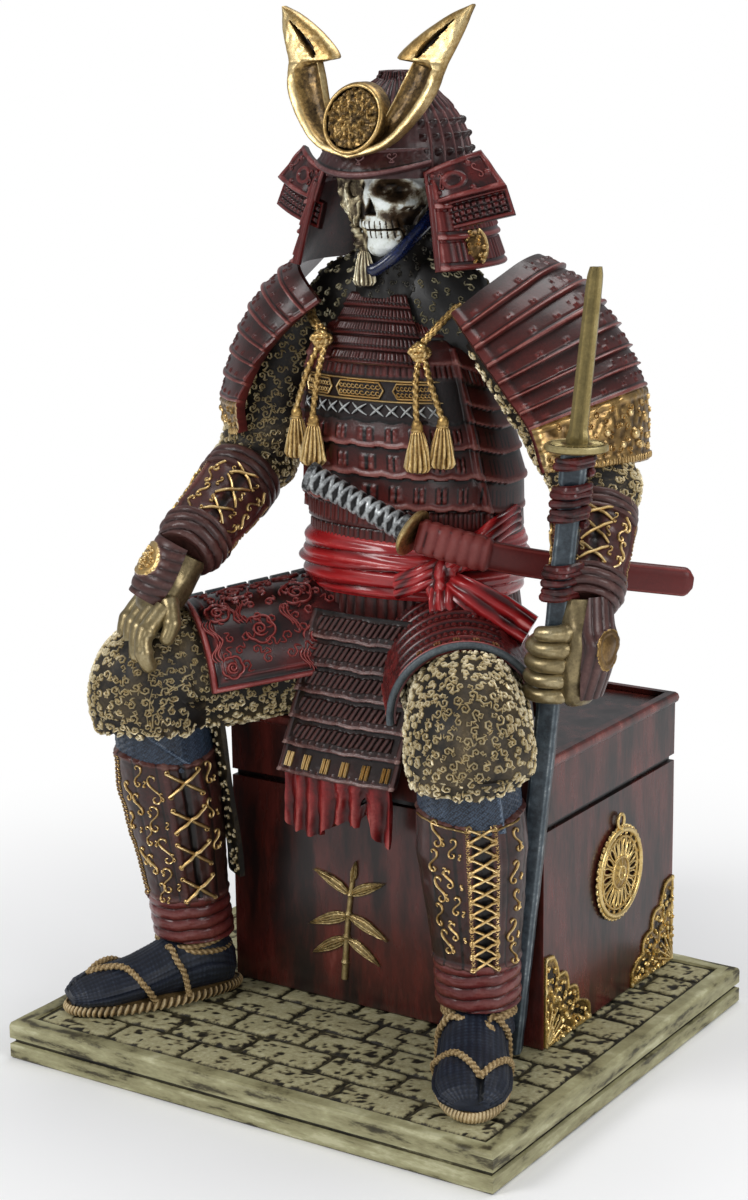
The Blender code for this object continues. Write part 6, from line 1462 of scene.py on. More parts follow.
badge_off = np.broadcast_to(np.array([0, -0.95, 0.3]), badge.shape)
crest_forms += curls(badge, badge_off, lambda a, b, at: (b > 0.18) & (b < 0.82), 2.0, 0.8, 0.28, 0.5, 104, 1.0, 0, 12)
piece("crest_and_badge", crest_forms, [crest_paint], ["helmet_crest"], 40)

# The sleeves and forearm guards
# Brocade sleeves run from the shoulder to the elbow; lacquered forearm guards with gold scrollwork and crossed
# laces sit between rolled bindings. Cast with the body, painted in black, red-brown and gold.
arm_lines = {1: [fig(*p) for p in ((38, 23, 122), (56, 26, 102), (73, 22, 80), (83, -4, 52), (78.5, -9, 33))],
    -1: [fig(*p) for p in ((-34, 25, 126), (-44, 24, 104), (-50, 19, 79), (-49, -22, 56), (-56, -30, 38))]}
roll_paint = painted("rolled_binding_paint", [(0.0, (0.002, 0.001, 0.001)), (0.35, (0.016, 0.006, 0.005)),
    (0.65, (0.056, 0.020, 0.017)), (1.0, (0.19, 0.10, 0.085))], rough=0.38, blotch=0.25, speck=0.12, size=8.0,
    coat=0.25)
forearm_paint = painted("forearm_guard_paint", [(0.0, (0.004, 0.003, 0.003)), (0.38, (0.03, 0.010, 0.009)),
    (0.68, (0.09, 0.025, 0.021)), (1.0, (0.24, 0.10, 0.08))], rough=0.36, blotch=0.35, speck=0.2, size=7.0, coat=0.3)
for side, node_name in ((1, "left_sleeve"), (-1, "right_sleeve")):
    shoulder, upper, elbow, wrist, palm = arm_lines[side]
    way = wrist - elbow
    hinge = np.array([-1.0, 0, -0.2 * side])
    sleeve = tube([shoulder + (0, 0, 5), upper, upper * 0.4 + elbow * 0.6, elbow + way * 0.03, elbow + way * 0.24],
        (12.0, 13.6, 12.8, 12.2, 11.2), (12.0, 13.6, 12.8, 12.2, 11.2), hinge, 90, 108)
    sleeve_off = outward(sleeve)
    u, v = shares(109, 90)
    ring = np.cos(2 * pi * u) * 12, np.sin(2 * pi * u) * 12
    folds = 1.0 * grain(ring[0] + v * 50, ring[1] + v * 20, 11.0, 111 + side) + 0.4 * grain(ring[0], ring[1] + v * 70,
        4.5, 113)
    sleeve_face = raised(sleeve, sleeve_off, folds)
    arm_forms = [sleeve_form(sleeve_face[:, :-1], 0.34 + 0.25 * folds[:, :-1], 0.3, 0)]
    arm_forms += curls(sleeve_face, sleeve_off, lambda a, b, at: b < 0.95, 3.1, 1.5, 0.40, 0.6, 115 + side, 1.0)
    arm_forms += curls(sleeve_face, sleeve_off, lambda a, b, at: (b > 0.25) & (b < 0.95) & (at[:, 1] < 14), 3.0, 0.95,
        0.32, 0.45, 125 + side, 0.9, 0, 8)
    guard = tube([elbow + way * s for s in (0.30, 0.45, 0.7, 0.88)], (11.6, 11.4, 10.6, 10.2), (11.6, 11.4, 10.6, 10.2),
        hinge, 70, 120)
    guard_off = outward(guard)
    u, v = shares(121, 70)
    seams = np.maximum(hump((u - 0.40) * 68, 0, 1.0), hump((u - 0.80) * 68, 0, 1.0))
    cleft = hump((u - 0.6) * 68, 0, 1.3)
    rise = 0.4 + 0.7 * seams - 0.6 * cleft + 0.22 * grain(u * 68, v * 28, 2.0, 117) + 0.3 * grain(u * 68, v * 28, 6.0,
        119)
    guard_face = raised(guard, guard_off, rise)
    arm_forms.append(wrapped(guard_face, 0.5 + 0.3 * seams - 0.4 * cleft, 0.0, 1))
    crossings = np.array((0.20, 0.46, 0.72))
    t = np.linspace(-1, 1, 12)
    for slant in (-1, 1):
        path, way_off = lay(guard_face, guard_off, 0.6 + slant * t[None] * 3.9 / 68 + 0 * crossings[:, None],
            crossings[:, None] + t[None] * 0.115, 0.4 + (0.7 - 0.25 * slant) * (1 - t * t)[None] + 0
            * crossings[:, None])
        arm_forms.append(beads(path, way_off, 0.55, 0.6, 1.0, 1, taper=0.8))
    for n, (place_u, hand) in enumerate(((0.475, 1), (0.725, -1), (0.66, 1), (0.54, -1), (0.87, 1), (0.34, -1))):
        for m, place_v in enumerate((0.16, 0.36, 0.56, 0.78)):
            big = n not in (2, 3)
            x, y = volute(6.0 if big else 3.0, 0.85, hand * (-1) ** m)
            arm_forms.append(drawn(guard_face, guard_off, place_u + 0.01 * (-1) ** m, place_v + (0.03 if big else 0.09),
                x, y, 0.42 if big else 0.34, 0.6, 1.0, 1))
    for place_u in (0.40, 0.80):
        levels = np.linspace(0.06, 0.94, 20)
        arm_forms.append(drawn(guard_face, guard_off, np.full(20, place_u), levels, (-0.5, 0.0, 0.5),
            (-0.35, 0.0, 0.35), 0.36, 0.45, 0.45, 1))
    for low, high, rolls, seed in ((0.16, 0.37, 3, 121), (0.80, 1.05, 4, 122)):
        stations = np.linspace(low, high, 5)
        radii = np.interp(stations, (0.16, 0.3, 0.37, 0.8, 0.92, 1.05), (11.6, 12.0, 11.8, 10.8, 10.4, 7.6))
        bind = tube([elbow + way * s for s in stations], radii, radii, hinge, 50, 96)
        u, v = shares(97, 50)
        phase = (v + 0.07 * np.sin(2 * pi * u + seed) + 0.03 * grain(u * 60, v * 6, 9.0, seed)) * rolls
        roll = hump(phase % 1, 0.5, 0.52)
        ends = fair(v / 0.08) * fair((1 - v) / 0.08)
        rise = (1.25 * roll + 0.16 * grain(u * 70, v * 11, 1.6, seed + 3)) * ends - 1.6 * (1 - ends)
        bind_face = raised(bind, outward(bind), rise)
        arm_forms.append(wrapped(bind_face, 0.22 + 0.5 * roll, 0.0, 2))
    piece(node_name.replace("sleeve", "sleeve_and_guard"), arm_forms, [brocade_paint, forearm_paint, roll_paint],
        [node_name])

# The hands
# Gloved hands under ribbed back plates with a gilt oval: the right one rests on the knee, the left one is closed
# round the pole. They are cast with the arms and painted bronze gold.
glove_paint = painted("bronze_glove_paint", [(0.0, (0.006, 0.004, 0.003)), (0.32, (0.05, 0.035, 0.018)),
    (0.62, (0.30, 0.235, 0.12)), (1.0, (0.72, 0.64, 0.42))], rough=0.33, blotch=0.28, speck=0.14, size=5.0, metal=0.75)
pole_foot, pole_lean = np.array([59.0, -18.0, 12.7]), np.array([0.128, -0.032, 1.0])


def pole_at(h):
    """The pole's middle line, h up from its foot."""
    return pole_foot + np.asarray(h, float)[..., None] * pole_lean


def finger(points, radius, paint=0, bend=(0.36, 0.68)):
    """A gloved finger with swollen joints and a round tip."""
    path = curve_through(points, 44)
    t = np.linspace(0, 1, 44)
    size = radius * (1 - 0.22 * t + sum(0.13 * np.exp(-((t - b) / 0.06) ** 2) for b in bend))
    size = size * np.sqrt(np.clip(1 - np.clip((t - 0.9) / 0.102, 0, 1) ** 2, 0.02, 1))
    return rope(path, size, 14, 0.0, paint, 0.62)


shoulder, upper, elbow, wrist, palm = arm_lines[-1]
ahead = (palm - wrist) / np.linalg.norm(palm - wrist)
hand_forms = []
knuckle_way = np.array([1.0, -0.6, 0])
grid = tube([wrist + ahead * s for s in (0.5, 6, 12, 17, 22, 25)], (7.6, 8.6, 9.6, 9.8, 8.4, 5.0),
    (7.4, 7.6, 7.2, 6.6, 5.6, 3.0), np.array([0.35, 0.6, -0.4]), 60, 84)
u, v = shares(85, 60)
hand_face = raised(grid, outward(grid), 0.35 * grain(u * 50, v * 25, 4.0, 131))
hand_forms.append(wrapped(hand_face, 0.5, 0.0, 0))
for i, length in enumerate((13, 15, 15, 12)):
    root = palm + (-8 + 5.2 * i, 3.5 - 3.6 * i, -1) + 2 * ahead
    hand_forms.append(finger([root - ahead * 5 + (0, 0.5, 1.0), root + (-0.4, -2.2, 0.4), root
        + (-1, -5.2, -0.3 * length), root + (0, -5.9, -0.75 * length), root + (1, -3.6, -length - 1.5)], 3.15))
hand_forms.append(finger([palm + (5, 0, 7), palm + (8.5, -3, 4), palm + (12.4, -7, -1.5), palm + (11.4, -10, -8)], 3.0))
u, v = shares(70, 64)
spread = (u - 0.5) * 2
plate_mid = wrist + ahead * (-1 + 20 * v)[..., None]
out_way = np.array([-0.40, -0.62, 0.68])
out_way = out_way - ahead * out_way.dot(ahead)
out_way /= np.linalg.norm(out_way)
side_way = np.cross(out_way, ahead)
half = 8.2 + 3.4 * np.sin(pi * np.clip(v * 1.05, 0, 1) ** 1.2)
plate = (plate_mid + side_way * (half * np.sin(spread * 1.35))[..., None] + out_way * (9.6 * np.cos(spread * 1.35)
    * (0.92 + 0.1 * np.sin(pi * v)) + 0.8)[..., None])
plate_off = outward(plate, away=wrist + ahead * 9)
bowed = v + 0.10 * spread ** 2
ribs = hump((bowed * 6.5) % 1, 0.5, 0.5)
motif = np.hypot(spread / 0.42, (v - 0.42) / 0.24)
rise = 0.5 * ribs * (motif > 1.15) + 0.7 * hump(motif, 1.0, 0.22) + 0.3 * (motif < 0.8)
hand_forms.append(slab(raised(plate, plate_off, rise), plate - plate_off * 1.1, 0.3 + 0.4 * ribs * (motif > 1.15) + 0.4
    * hump(motif, 1, 0.3) + 0.2 * (motif < 0.8), 1.0 * (motif < 1.2), 1))
hand_forms += curls(raised(plate, plate_off, rise), plate_off, lambda a, b, at: np.hypot((a * 2 - 1) / 0.3, (b - 0.42)
    / 0.17) < 1, 1.9, 0.8, 0.32, 0.5, 133, 1.0, 1, 12)
piece("right_glove", hand_forms, [glove_paint, roll_paint], ["right_hand"], 60)

shoulder, upper, elbow, wrist, palm = arm_lines[1]
grip = 127.3
hand_forms = []
for i in range(4):
    h = grip + 7.2 - 4.75 * i
    turn = np.radians(np.linspace(25, -205, 12))
    points = pole_at(np.full(12, h)) + np.stack([(6.6 + 0.5 * np.cos(turn)) * np.cos(turn), 6.6 * np.sin(turn), 0.9
        * np.sin(turn) + 0 * turn], -1)
    hand_forms.append(finger(points, 2.75 - 0.12 * i, 0, (0.3, 0.72)))
turn = np.radians(np.linspace(35, -120, 9))
hand_forms.append(finger(pole_at(grip + 12.4 - 0.2 * np.arange(9)) + np.stack([7.0 * np.cos(turn), 6.6 * np.sin(turn), 0
    * turn], -1), 2.9, 0, (0.5,)))
back = [wrist + (0.5, -0.5, 1.0), wrist + (1.2, -1.8, -6), pole_at(grip + 8) + (9.5, 2.5, 0), pole_at(grip)
    + (9.0, 2.0, 0), pole_at(grip - 8) + (8.0, 1.5, 0), pole_at(grip - 11) + (7.5, 1.5, 0)]
grid = tube(back, (7.4, 8.2, 8.4, 8.6, 7.0, 4.0), (6.6, 6.4, 5.8, 5.6, 4.8, 2.4), np.array([-1.0, 0, 0]), 66, 84)
u, v = shares(85, 66)
hand_face = raised(grid, outward(grid), 0.3 * grain(u * 50, v * 30, 4.0, 135))
hand_forms.append(wrapped(hand_face, 0.5, 0.0, 0))
u, v = shares(60, 70)
line = curve_through([wrist + (0, 0, 3)] + back[1:5], 70)
angle = (u - 0.5) * (1.5 + 0.7 * np.sin(pi * v)) + 0.15
plate = line[:, None] + np.stack([(7.4 + 0.8 * np.sin(pi * v)) * np.cos(angle), -(8.0 + 0.9 * np.sin(pi * v))
    * np.sin(angle), 0.0 * u], -1)
plate_off = outward(plate, away=line[35])
ribs = hump((angle * 2.6) % 1, 0.5, 0.5)
motif = np.hypot((u - 0.5) / 0.24, (v - 0.5) / 0.2)
rise = 0.5 * ribs * (motif > 1.1) + 0.6 * hump(motif, 1.0, 0.2)
hand_forms.append(slab(raised(plate, plate_off, rise), plate - plate_off * 1.0, 0.3 + 0.4 * ribs * (motif > 1.1), 1.0
    * (motif < 1.15), 1))
piece("left_glove", hand_forms, [glove_paint, roll_paint], ["left_hand"], 60)

# The pole arm
# A chamfered shaft in chipped blue-grey paint, bound with cord above the hand, with an oval guard and a blade.
# The shaft stands on the plinth; the guard and blade are rubbed with olive gold.
pole_paint = painted("blue_grey_pole_paint", [(0.0, (0.003, 0.004, 0.005)), (0.35, (0.018, 0.026, 0.034)),
    (0.62, (0.050, 0.068, 0.082)), (0.85, (0.10, 0.125, 0.14)), (1.0, (0.3, 0.33, 0.34))], rough=0.36, blotch=0.42,
    speck=0.3, size=6.0, coat=0.2, bump=0.5, fine=1.4)
cord_red_paint = painted("pole_cord_paint", [(0.0, (0.003, 0.002, 0.002)), (0.38, (0.022, 0.006, 0.006)),
    (0.65, (0.105, 0.014, 0.013)), (1.0, (0.30, 0.11, 0.10))], rough=0.32, blotch=0.45, speck=0.18, size=5.0, coat=0.4)
olive_gold_paint = painted("olive_gold_paint", [(0.0, (0.02, 0.015, 0.006)), (0.35, (0.13, 0.10, 0.035)),
    (0.65, (0.27, 0.205, 0.075)), (1.0, (0.50, 0.42, 0.21))], rough=0.34, blotch=0.3, speck=0.2, size=7.0, metal=0.6)
h, turn = np.meshgrid(np.linspace(0.3, 191.6, 250), np.linspace(0, 2 * pi, 64, endpoint=False), indexing="ij")
half = 3.35 + 0.1 * grain(h, turn * 3, 6.0, 141)
folded = (turn + pi / 4) % (pi / 2) - pi / 4
flat = np.minimum(half / np.cos(folded), half * 1.19)
bound = ((h > 146.5) & (h < 158.5)) | ((h > 170.5) & (h < 182.5)) | (h > 185.5)
collar = fair((h - 182) / 1.5) * 0.7
flat = flat + collar - 0.25 * ((h > 137) & (h < 138)) - 0.2 * ((h > 160) & (h < 161))
shaft = pole_at(h) + np.stack([np.cos(turn + 0.35) * flat, np.sin(turn + 0.35) * flat, 0 * h], -1)
shaft_mark = 0.46 + 0.4 * hump(np.abs(folded), 0.61, 0.1) + 0.1 * grain(h, turn * 3, 2.0, 143)
pole_forms = [sleeve_form(shaft, shaft_mark, 0.0, 0)]
for low, high in ((146.6, 158.6), (170.4, 182.4), (185.8, 191.6)):
    t = np.linspace(0, 1, int((high - low) * 34))
    turn = t * (high - low) / 2.35 * 2 * pi
    folded = (turn + 0.35 + pi / 4) % (pi / 2) - pi / 4
    reach = np.minimum(3.9 / np.cos(folded), 4.6) + 0.35
    path = pole_at(low + t * (high - low)) + np.stack([np.cos(turn) * reach, np.sin(turn) * reach, 0 * t], -1)
    pole_forms.append(rope(path + np.array([0, 0, 0.35]) * np.sin(turn * 0.37)[:, None], 1.15 + 0.22
        * np.sin(turn * 1.7 + np.sin(turn * 0.31)), 9, 0.0, 1, 0.5))
piece("pole", pole_forms, [pole_paint, cord_red_paint], ["pole_shaft"], 35)

t = np.linspace(0, 2 * pi, 97)
rings = np.array([pole_at(np.full(97, z)) + np.stack([np.cos(t) * r, np.sin(t) * r * 0.86, 0 * t], -1) for r,
    z in ((3.2, 192.0), (8.8, 192.1), (9.5, 192.6), (9.5, 193.8), (8.9, 194.3), (8.2, 194.0), (7.2, 193.9),
    (5.4, 194.2), (3.6, 194.4), (1.0, 194.4))])
pole_forms = [sleeve_form(rings[:, :-1], np.array([0.3, 0.5, 0.8, 0.8, 0.9, 0.35, 0.4, 0.55, 0.3, 0.3])[:, None], 0.0,
    0)]
notches = np.linspace(0, 2 * pi, 24, endpoint=False)
middle = pole_at(np.full(24, 194.1))
spoke = np.stack([np.cos(notches), np.sin(notches) * 0.86, 0 * notches], -1)
pole_forms.append(beads(np.stack([middle + spoke * 4.2, middle + spoke * 6.0, middle + spoke * 7.8], 1),
    np.broadcast_to(np.array([0, 0, 1.0]), (24, 3, 3)), 0.5, 0.5, 0.0, 0))
piece("pole_hand_guard", pole_forms, [olive_gold_paint], ["pole_guard"], 40)
wide_way, thin_way = np.array([0.95, 0.316, 0.0]), np.array([-0.316, 0.95, 0.0])
h = np.concatenate([np.linspace(194.3, 198.5, 10), np.linspace(199.0, 242, 46), np.linspace(242.6, 244.8, 8)])
section = np.array([(-1.0, 0.0), (-0.55, 0.75), (-0.2, 0.62), (0.2, 0.62), (0.6, 0.95), (1.0, 0.55), (1.0, -0.55),
    (0.6, -0.95), (0.2, -0.62), (-0.2, -0.62), (-0.55, -0.75)])
rings = []
for z in h:
    size = 3.3 if z < 196 else np.interp(z, (196, 198.5, 240, 242.4, 244.8), (3.3, 2.65, 2.3, 2.2, 1.7))
    thick = 2.2 if z < 196 else np.interp(z, (196, 198.5, 244.8), (2.2, 1.75, 1.3))
    rings.append(pole_at(z) + section[:, :1] * wide_way * size + section[:, 1:] * thin_way * thick)
rings = np.array(rings)
piece("pole_blade_bar", [sleeve_form(rings, 0.55 + 0.2 * np.sin(np.arange(11) * 1.3)[None], 0.0, 0)],
    [olive_gold_paint], ["pole_blade"], 25)

# The sash
# A broad cloth sash wound twice round the waist, with a flat knot at the front left and two short tails.
# It is moulded with the body: soft folds in glossy red paint with black in the creases.
sash_paint = painted("glossy_sash_paint", [(0.0, (0.006, 0.001, 0.001)), (0.3, (0.07, 0.003, 0.004)),
    (0.55, (0.27, 0.008, 0.010)), (0.82, (0.42, 0.022, 0.024)), (1.0, (0.72, 0.22, 0.2))], rough=0.22, blotch=0.12,
    speck=0.05, size=10.0, coat=0.8, bump=0.05)
u, v = np.meshgrid(np.linspace(-180, 180, 220), np.linspace(0, 1, 84))
level = 61.0 - 20.5 * v + 2.4 * cosd(u - 30) * (v - 0.4)
pull = np.radians(u) * 33
phase = v * 3.4 + 0.30 * np.sin(np.radians(u) * 1.3 + 0.6) + 0.22 * grain(pull * 0.25, v * 2, 7.0, 151)
crease = (1.3 * np.abs(np.sin(pi * phase)) ** 0.7 - 0.8 + 0.30 * np.cos(v * 34 + 2.2 * grain(pull * 0.22, v * 3, 5.0,
    152)) + 0.16 * grain(pull * 0.16, v * 22, 1.6, 153))
overlap = hump(v + 0.06 * np.sin(np.radians(u) * 1.5), 0.47, 0.05)
out = 1.0 + 3.0 * np.sin(pi * np.clip(v, 0.02, 0.98)) ** 0.5 + crease * np.sin(pi * v) ** 0.4 + 0.9 * overlap
sash_face = body_skin(u, level, out - 1.0)
sash_forms = [wrapped(sash_face, 0.60 + 0.34 * crease, 0.0, 0)]


def cloth_tail(points, widths, thickness, seed, columns, rows, folds, side_way):
    """A folded strip of cloth that hangs along a line."""
    line, side_way = curve_through(points, rows), np.array(side_way)
    half = np.interp(np.linspace(0, 1, rows), np.linspace(0, 1, len(widths)), widths)
    along = np.gradient(line, axis=0)
    along = unit(along)
    beside = side_way[None] - along * (along @ side_way)[:, None]
    beside = unit(beside)
    up = np.cross(along, beside)
    up *= -np.sign(up[:, 1:2].mean())
    s, t = np.meshgrid(np.linspace(-1, 1, columns), np.linspace(0, 1, rows))
    fold = np.cos(s * folds * pi + seed + 1.5 * t) * (0.25 + 0.75 * t) + 0.4 * grain(s * 5, t * 16, 2.0, int(seed)
        + 160)
    face = (line[:, None] + beside[:, None] * (half[:, None] * s)[..., None] + up[:, None]
        * (thickness * (1 - 0.6 * s * s) + 0.75 * fold)[..., None])
    rear = line[:, None] + beside[:, None] * (half[:, None] * s)[..., None] - up[:, None] * (thickness * 0.5)
    return slab(face, rear, 0.55 + 0.4 * fold, 0.0, 0)


knot_at = body_skin(38, 50.0, 4.2)
for end, widths, seed in ((np.array([8.0, -5.0, -23.0]), (2.6, 4.2, 5.0, 3.6), 1.0), (np.array([30.0, 1.0, -13.0]),
        (2.6, 4.4, 6.0, 5.4), 2.4)):
    points = [knot_at + (0, 1.0, 0), knot_at + end * 0.3 + (0, -2.4, 2.0), knot_at + end * 0.7 + (0, -2.0, 1.2), knot_at
        + end]
    sash_forms.append(cloth_tail(points, widths, 1.7, seed, 36, 76, 2.6, (1.0, 0.3, 0.2) if seed < 2
        else (0.35, 0.3, 1.0)))
u, v = np.meshgrid(np.linspace(0, 2 * pi, 90), np.linspace(0.06, pi - 0.06, 70))
pleats = np.cos(u * 5 + 2.0 * np.cos(v)) * np.sin(v)
knot = knot_at + np.stack([(4.8 + 0.55 * pleats) * np.sin(v) * np.cos(u) + 1.4 * np.cos(v), (4.0 + 0.5 * pleats)
    * np.sin(v) * np.sin(u) - 0.6, (8.8 - 1.6 * np.abs(np.cos(u))) * np.cos(v)], -1)
pinch = 1 - 0.18 * np.exp(-((np.cos(v)) / 0.16) ** 2)
knot = knot_at + (knot - knot_at) * pinch[..., None]
sash_forms.append(wrapped(knot, 0.55 + 0.35 * pleats, 0.0, 0))
loop = curve_through([knot_at + (1, 1, 7), knot_at + (4, -1, 11.5), knot_at + (8.5, 1, 12.0), knot_at + (8, 3, 6.5),
    knot_at + (3, 1, 3)], 50)
sash_forms.append(rope(loop, 1.7, 12, 0.0, 0, 0.6, 0.12, 8.0))
band = curve_through([body_skin(14, 46.5, 3.0), body_skin(26, 50.0, 4.6), knot_at + (-1, -1.2, 2.5), knot_at
    + (4, 0.2, 6), body_skin(58, 60, 3.4), body_skin(74, 64, 2.4), body_skin(92, 66, 1.8)], 80)
for shift, size in ((-2.2, 2.0), (0.4, 2.2), (2.8, 1.8)):
    sash_forms.append(rope(band + (0, 0, shift), size * (0.75 + 0.25 * np.sin(np.linspace(0.3, 2.8, 80))), 12, 0.0, 0,
        0.58, 0.05, 12.0))
piece("sash", sash_forms, [sash_paint], ["waist_sash"], 60)

# The front apron and its cloth
# Six lacquered plates hang over the lap, each with a raised braid row, small stitches and a wavy rolled edge;
# the last has gold tabs. A ragged red lining hangs below it. All is moulded with the body.
apron_paint = painted("apron_plate_paint", [(0.0, (0.002, 0.001, 0.001)), (0.34, (0.014, 0.006, 0.005)),
    (0.60, (0.045, 0.014, 0.012)), (0.84, (0.095, 0.036, 0.031)), (1.0, (0.26, 0.15, 0.13))], rough=0.36, blotch=0.3,
    speck=0.16, size=10.0, coat=0.3)
lining_paint = painted("ragged_lining_paint", [(0.0, (0.004, 0.001, 0.001)), (0.34, (0.07, 0.004, 0.004)),
    (0.60, (0.22, 0.010, 0.010)), (1.0, (0.5, 0.12, 0.10))], rough=0.42, blotch=0.3, speck=0.16, size=9.0, coat=0.2)


def apron_skin(u, v):
    """The apron's surface, u across and v down."""
    return fig(-19.5 + 3 * (1 - v) + 43 * u - 7 * v + 3, -1 - 6.5 * v - 2 * (1 - (2 * u - 1) ** 2) - 1.8, 38 - 53 * v)


u, v = np.meshgrid(np.linspace(-0.01, 1.01, 210), np.linspace(0, 1, 200))
wave = 0.0025 * np.sin(u * 31) + 0.003 * grain(u * 40, v * 3, 3.0, 161)
row = np.clip(v * 6 + wave * 6, 0, 5.999)
share = row % 1
apron = apron_skin(u, v)
apron_off = outward(apron, away=fig(0, 60, 12))
braid_row = fair(hump(share, 0.42, 0.25) * 3) * (u > 0.08) * (u < 0.92) * (row < 5)
loops = hump((u * 30 + share * 2.6) % 1.45, 0.72, 0.6)
rise = (0.1 + 0.9 * share + 0.35 * hump(share, 0.95, 0.05) + braid_row * (0.3 + 0.75 * loops) + 0.12
    * grain(u * 43, v * 53, 2.0, 163))
mark = 0.30 + 0.16 * share + 0.45 * hump(share, 0.93, 0.08) + 0.35 * braid_row * loops - 0.25 * braid_row * (1
    - loops) - 0.3 * hump(share, 0.03, 0.05)
dots = hump((u * 15) % 1, 0.5, 0.2) * hump(share, 0.80, 0.05)
rise, mark = rise + 0.35 * dots, mark + 0.3 * dots
side_rim = np.maximum(hump(u, 0.012, 0.02), hump(u, 0.988, 0.02))
rise, mark = rise + 0.5 * side_rim, mark + 0.35 * side_rim
apron_forms = [slab(raised(apron, apron_off, rise), apron - apron_off * 1.2, mark)]
tabs = np.array((0.09, 0.25, 0.42, 0.58, 0.75, 0.91))
for k in (-1.15, -0.5, 0.5, 1.15):
    apron_forms.append(drawn(raised(apron, apron_off, rise), apron_off, tabs, np.full(6, 0.915), np.full(6, k),
        np.linspace(-2.4, 2.4, 6), 0.42, 0.65, 1.0, 0, 0.8))
piece("apron_plates", apron_forms, [apron_paint], ["front_apron"])
u, v = shares(180, 84)
ragged = 16.5 + 3.4 * np.sin(2.3 * pi * u) + 1.2 * grain(u * 40, 0 * u, 2.6, 165) + 0.7 * grain(u * 40, 0 * u, 1.0, 166)
notch = 5.5 * hump(u, 0.80, 0.055)
drop = (ragged - notch) * v
folds = 1.1 * np.cos(u * 2 * pi * 7 + 1.6 * grain(u * 40, v * 8, 8.0, 167)) * (0.3 + 0.7 * v) + 0.3 * grain(u * 60, v
    * 12, 2.0, 168)
cloth = fig(-22 + 39.6 * u, -8.6 - 3 * (1 - (2 * u - 1) ** 2) - folds, 38 - 53 + 1.1 * (1 - v) - drop)
cloth_off = outward(cloth, away=fig(0, 60, -20))
hole = np.hypot((u - 0.78) / 0.03, (v - 0.62) / 0.1)
face = cloth - cloth_off * (1.0 * fair((1 - hole) / 0.4))[..., None]
piece("apron_lining", [slab(face, cloth - cloth_off * 1.5, 0.48 + 0.3 * folds - 0.9 * fair((1.1 - hole) / 0.4))],
    [lining_paint], ["apron_cloth"])

# The thigh plates
# One curved plate guards each thigh: red lacquer engraved with clouds inside a raised border on the right, laced
# scale rows with gold tabs over an engraved field on the left. Blue-grey rims close their edges.
plate_red = painted("thigh_plate_red_paint", [(0.0, (0.004, 0.001, 0.001)), (0.3, (0.03, 0.004, 0.004)),
    (0.55, (0.13, 0.013, 0.012)), (0.8, (0.21, 0.03, 0.027)), (1.0, (0.4, 0.13, 0.12))], rough=0.3, blotch=0.3,
    speck=0.12, size=12.0, coat=0.45)
slate_paint = painted("slate_rim_paint", [(0.0, (0.004, 0.005, 0.006)), (0.4, (0.04, 0.05, 0.058)),
    (0.7, (0.10, 0.12, 0.13)), (1.0, (0.32, 0.34, 0.34))], rough=0.4, blotch=0.3, size=6.0)


def thigh_skin(side, u, v, out=0.0):
    """A thigh plate's surface: u round the thigh from its outer edge inwards, v from hip to knee."""
    hip, knee, ankle = leg_hubs[side]
    ahead = (knee - hip) / np.linalg.norm(knee - hip)
    inward = np.cross((0, 0, 1.0), ahead) * -side
    inward /= np.linalg.norm(inward)
    up = np.cross(ahead, inward) * -side
    u, v = np.broadcast_arrays(np.asarray(u, float), np.asarray(v, float))
    turn = np.radians(92 - 188 * u)
    middle = hip + (knee - hip) * (0.16 + 0.66 * v)[..., None]
    reach = (23.8 - 1.8 * v + out)[..., None]
    return middle + (inward * np.sin(turn)[..., None] * -1 + up * np.cos(turn)[..., None]) * reach


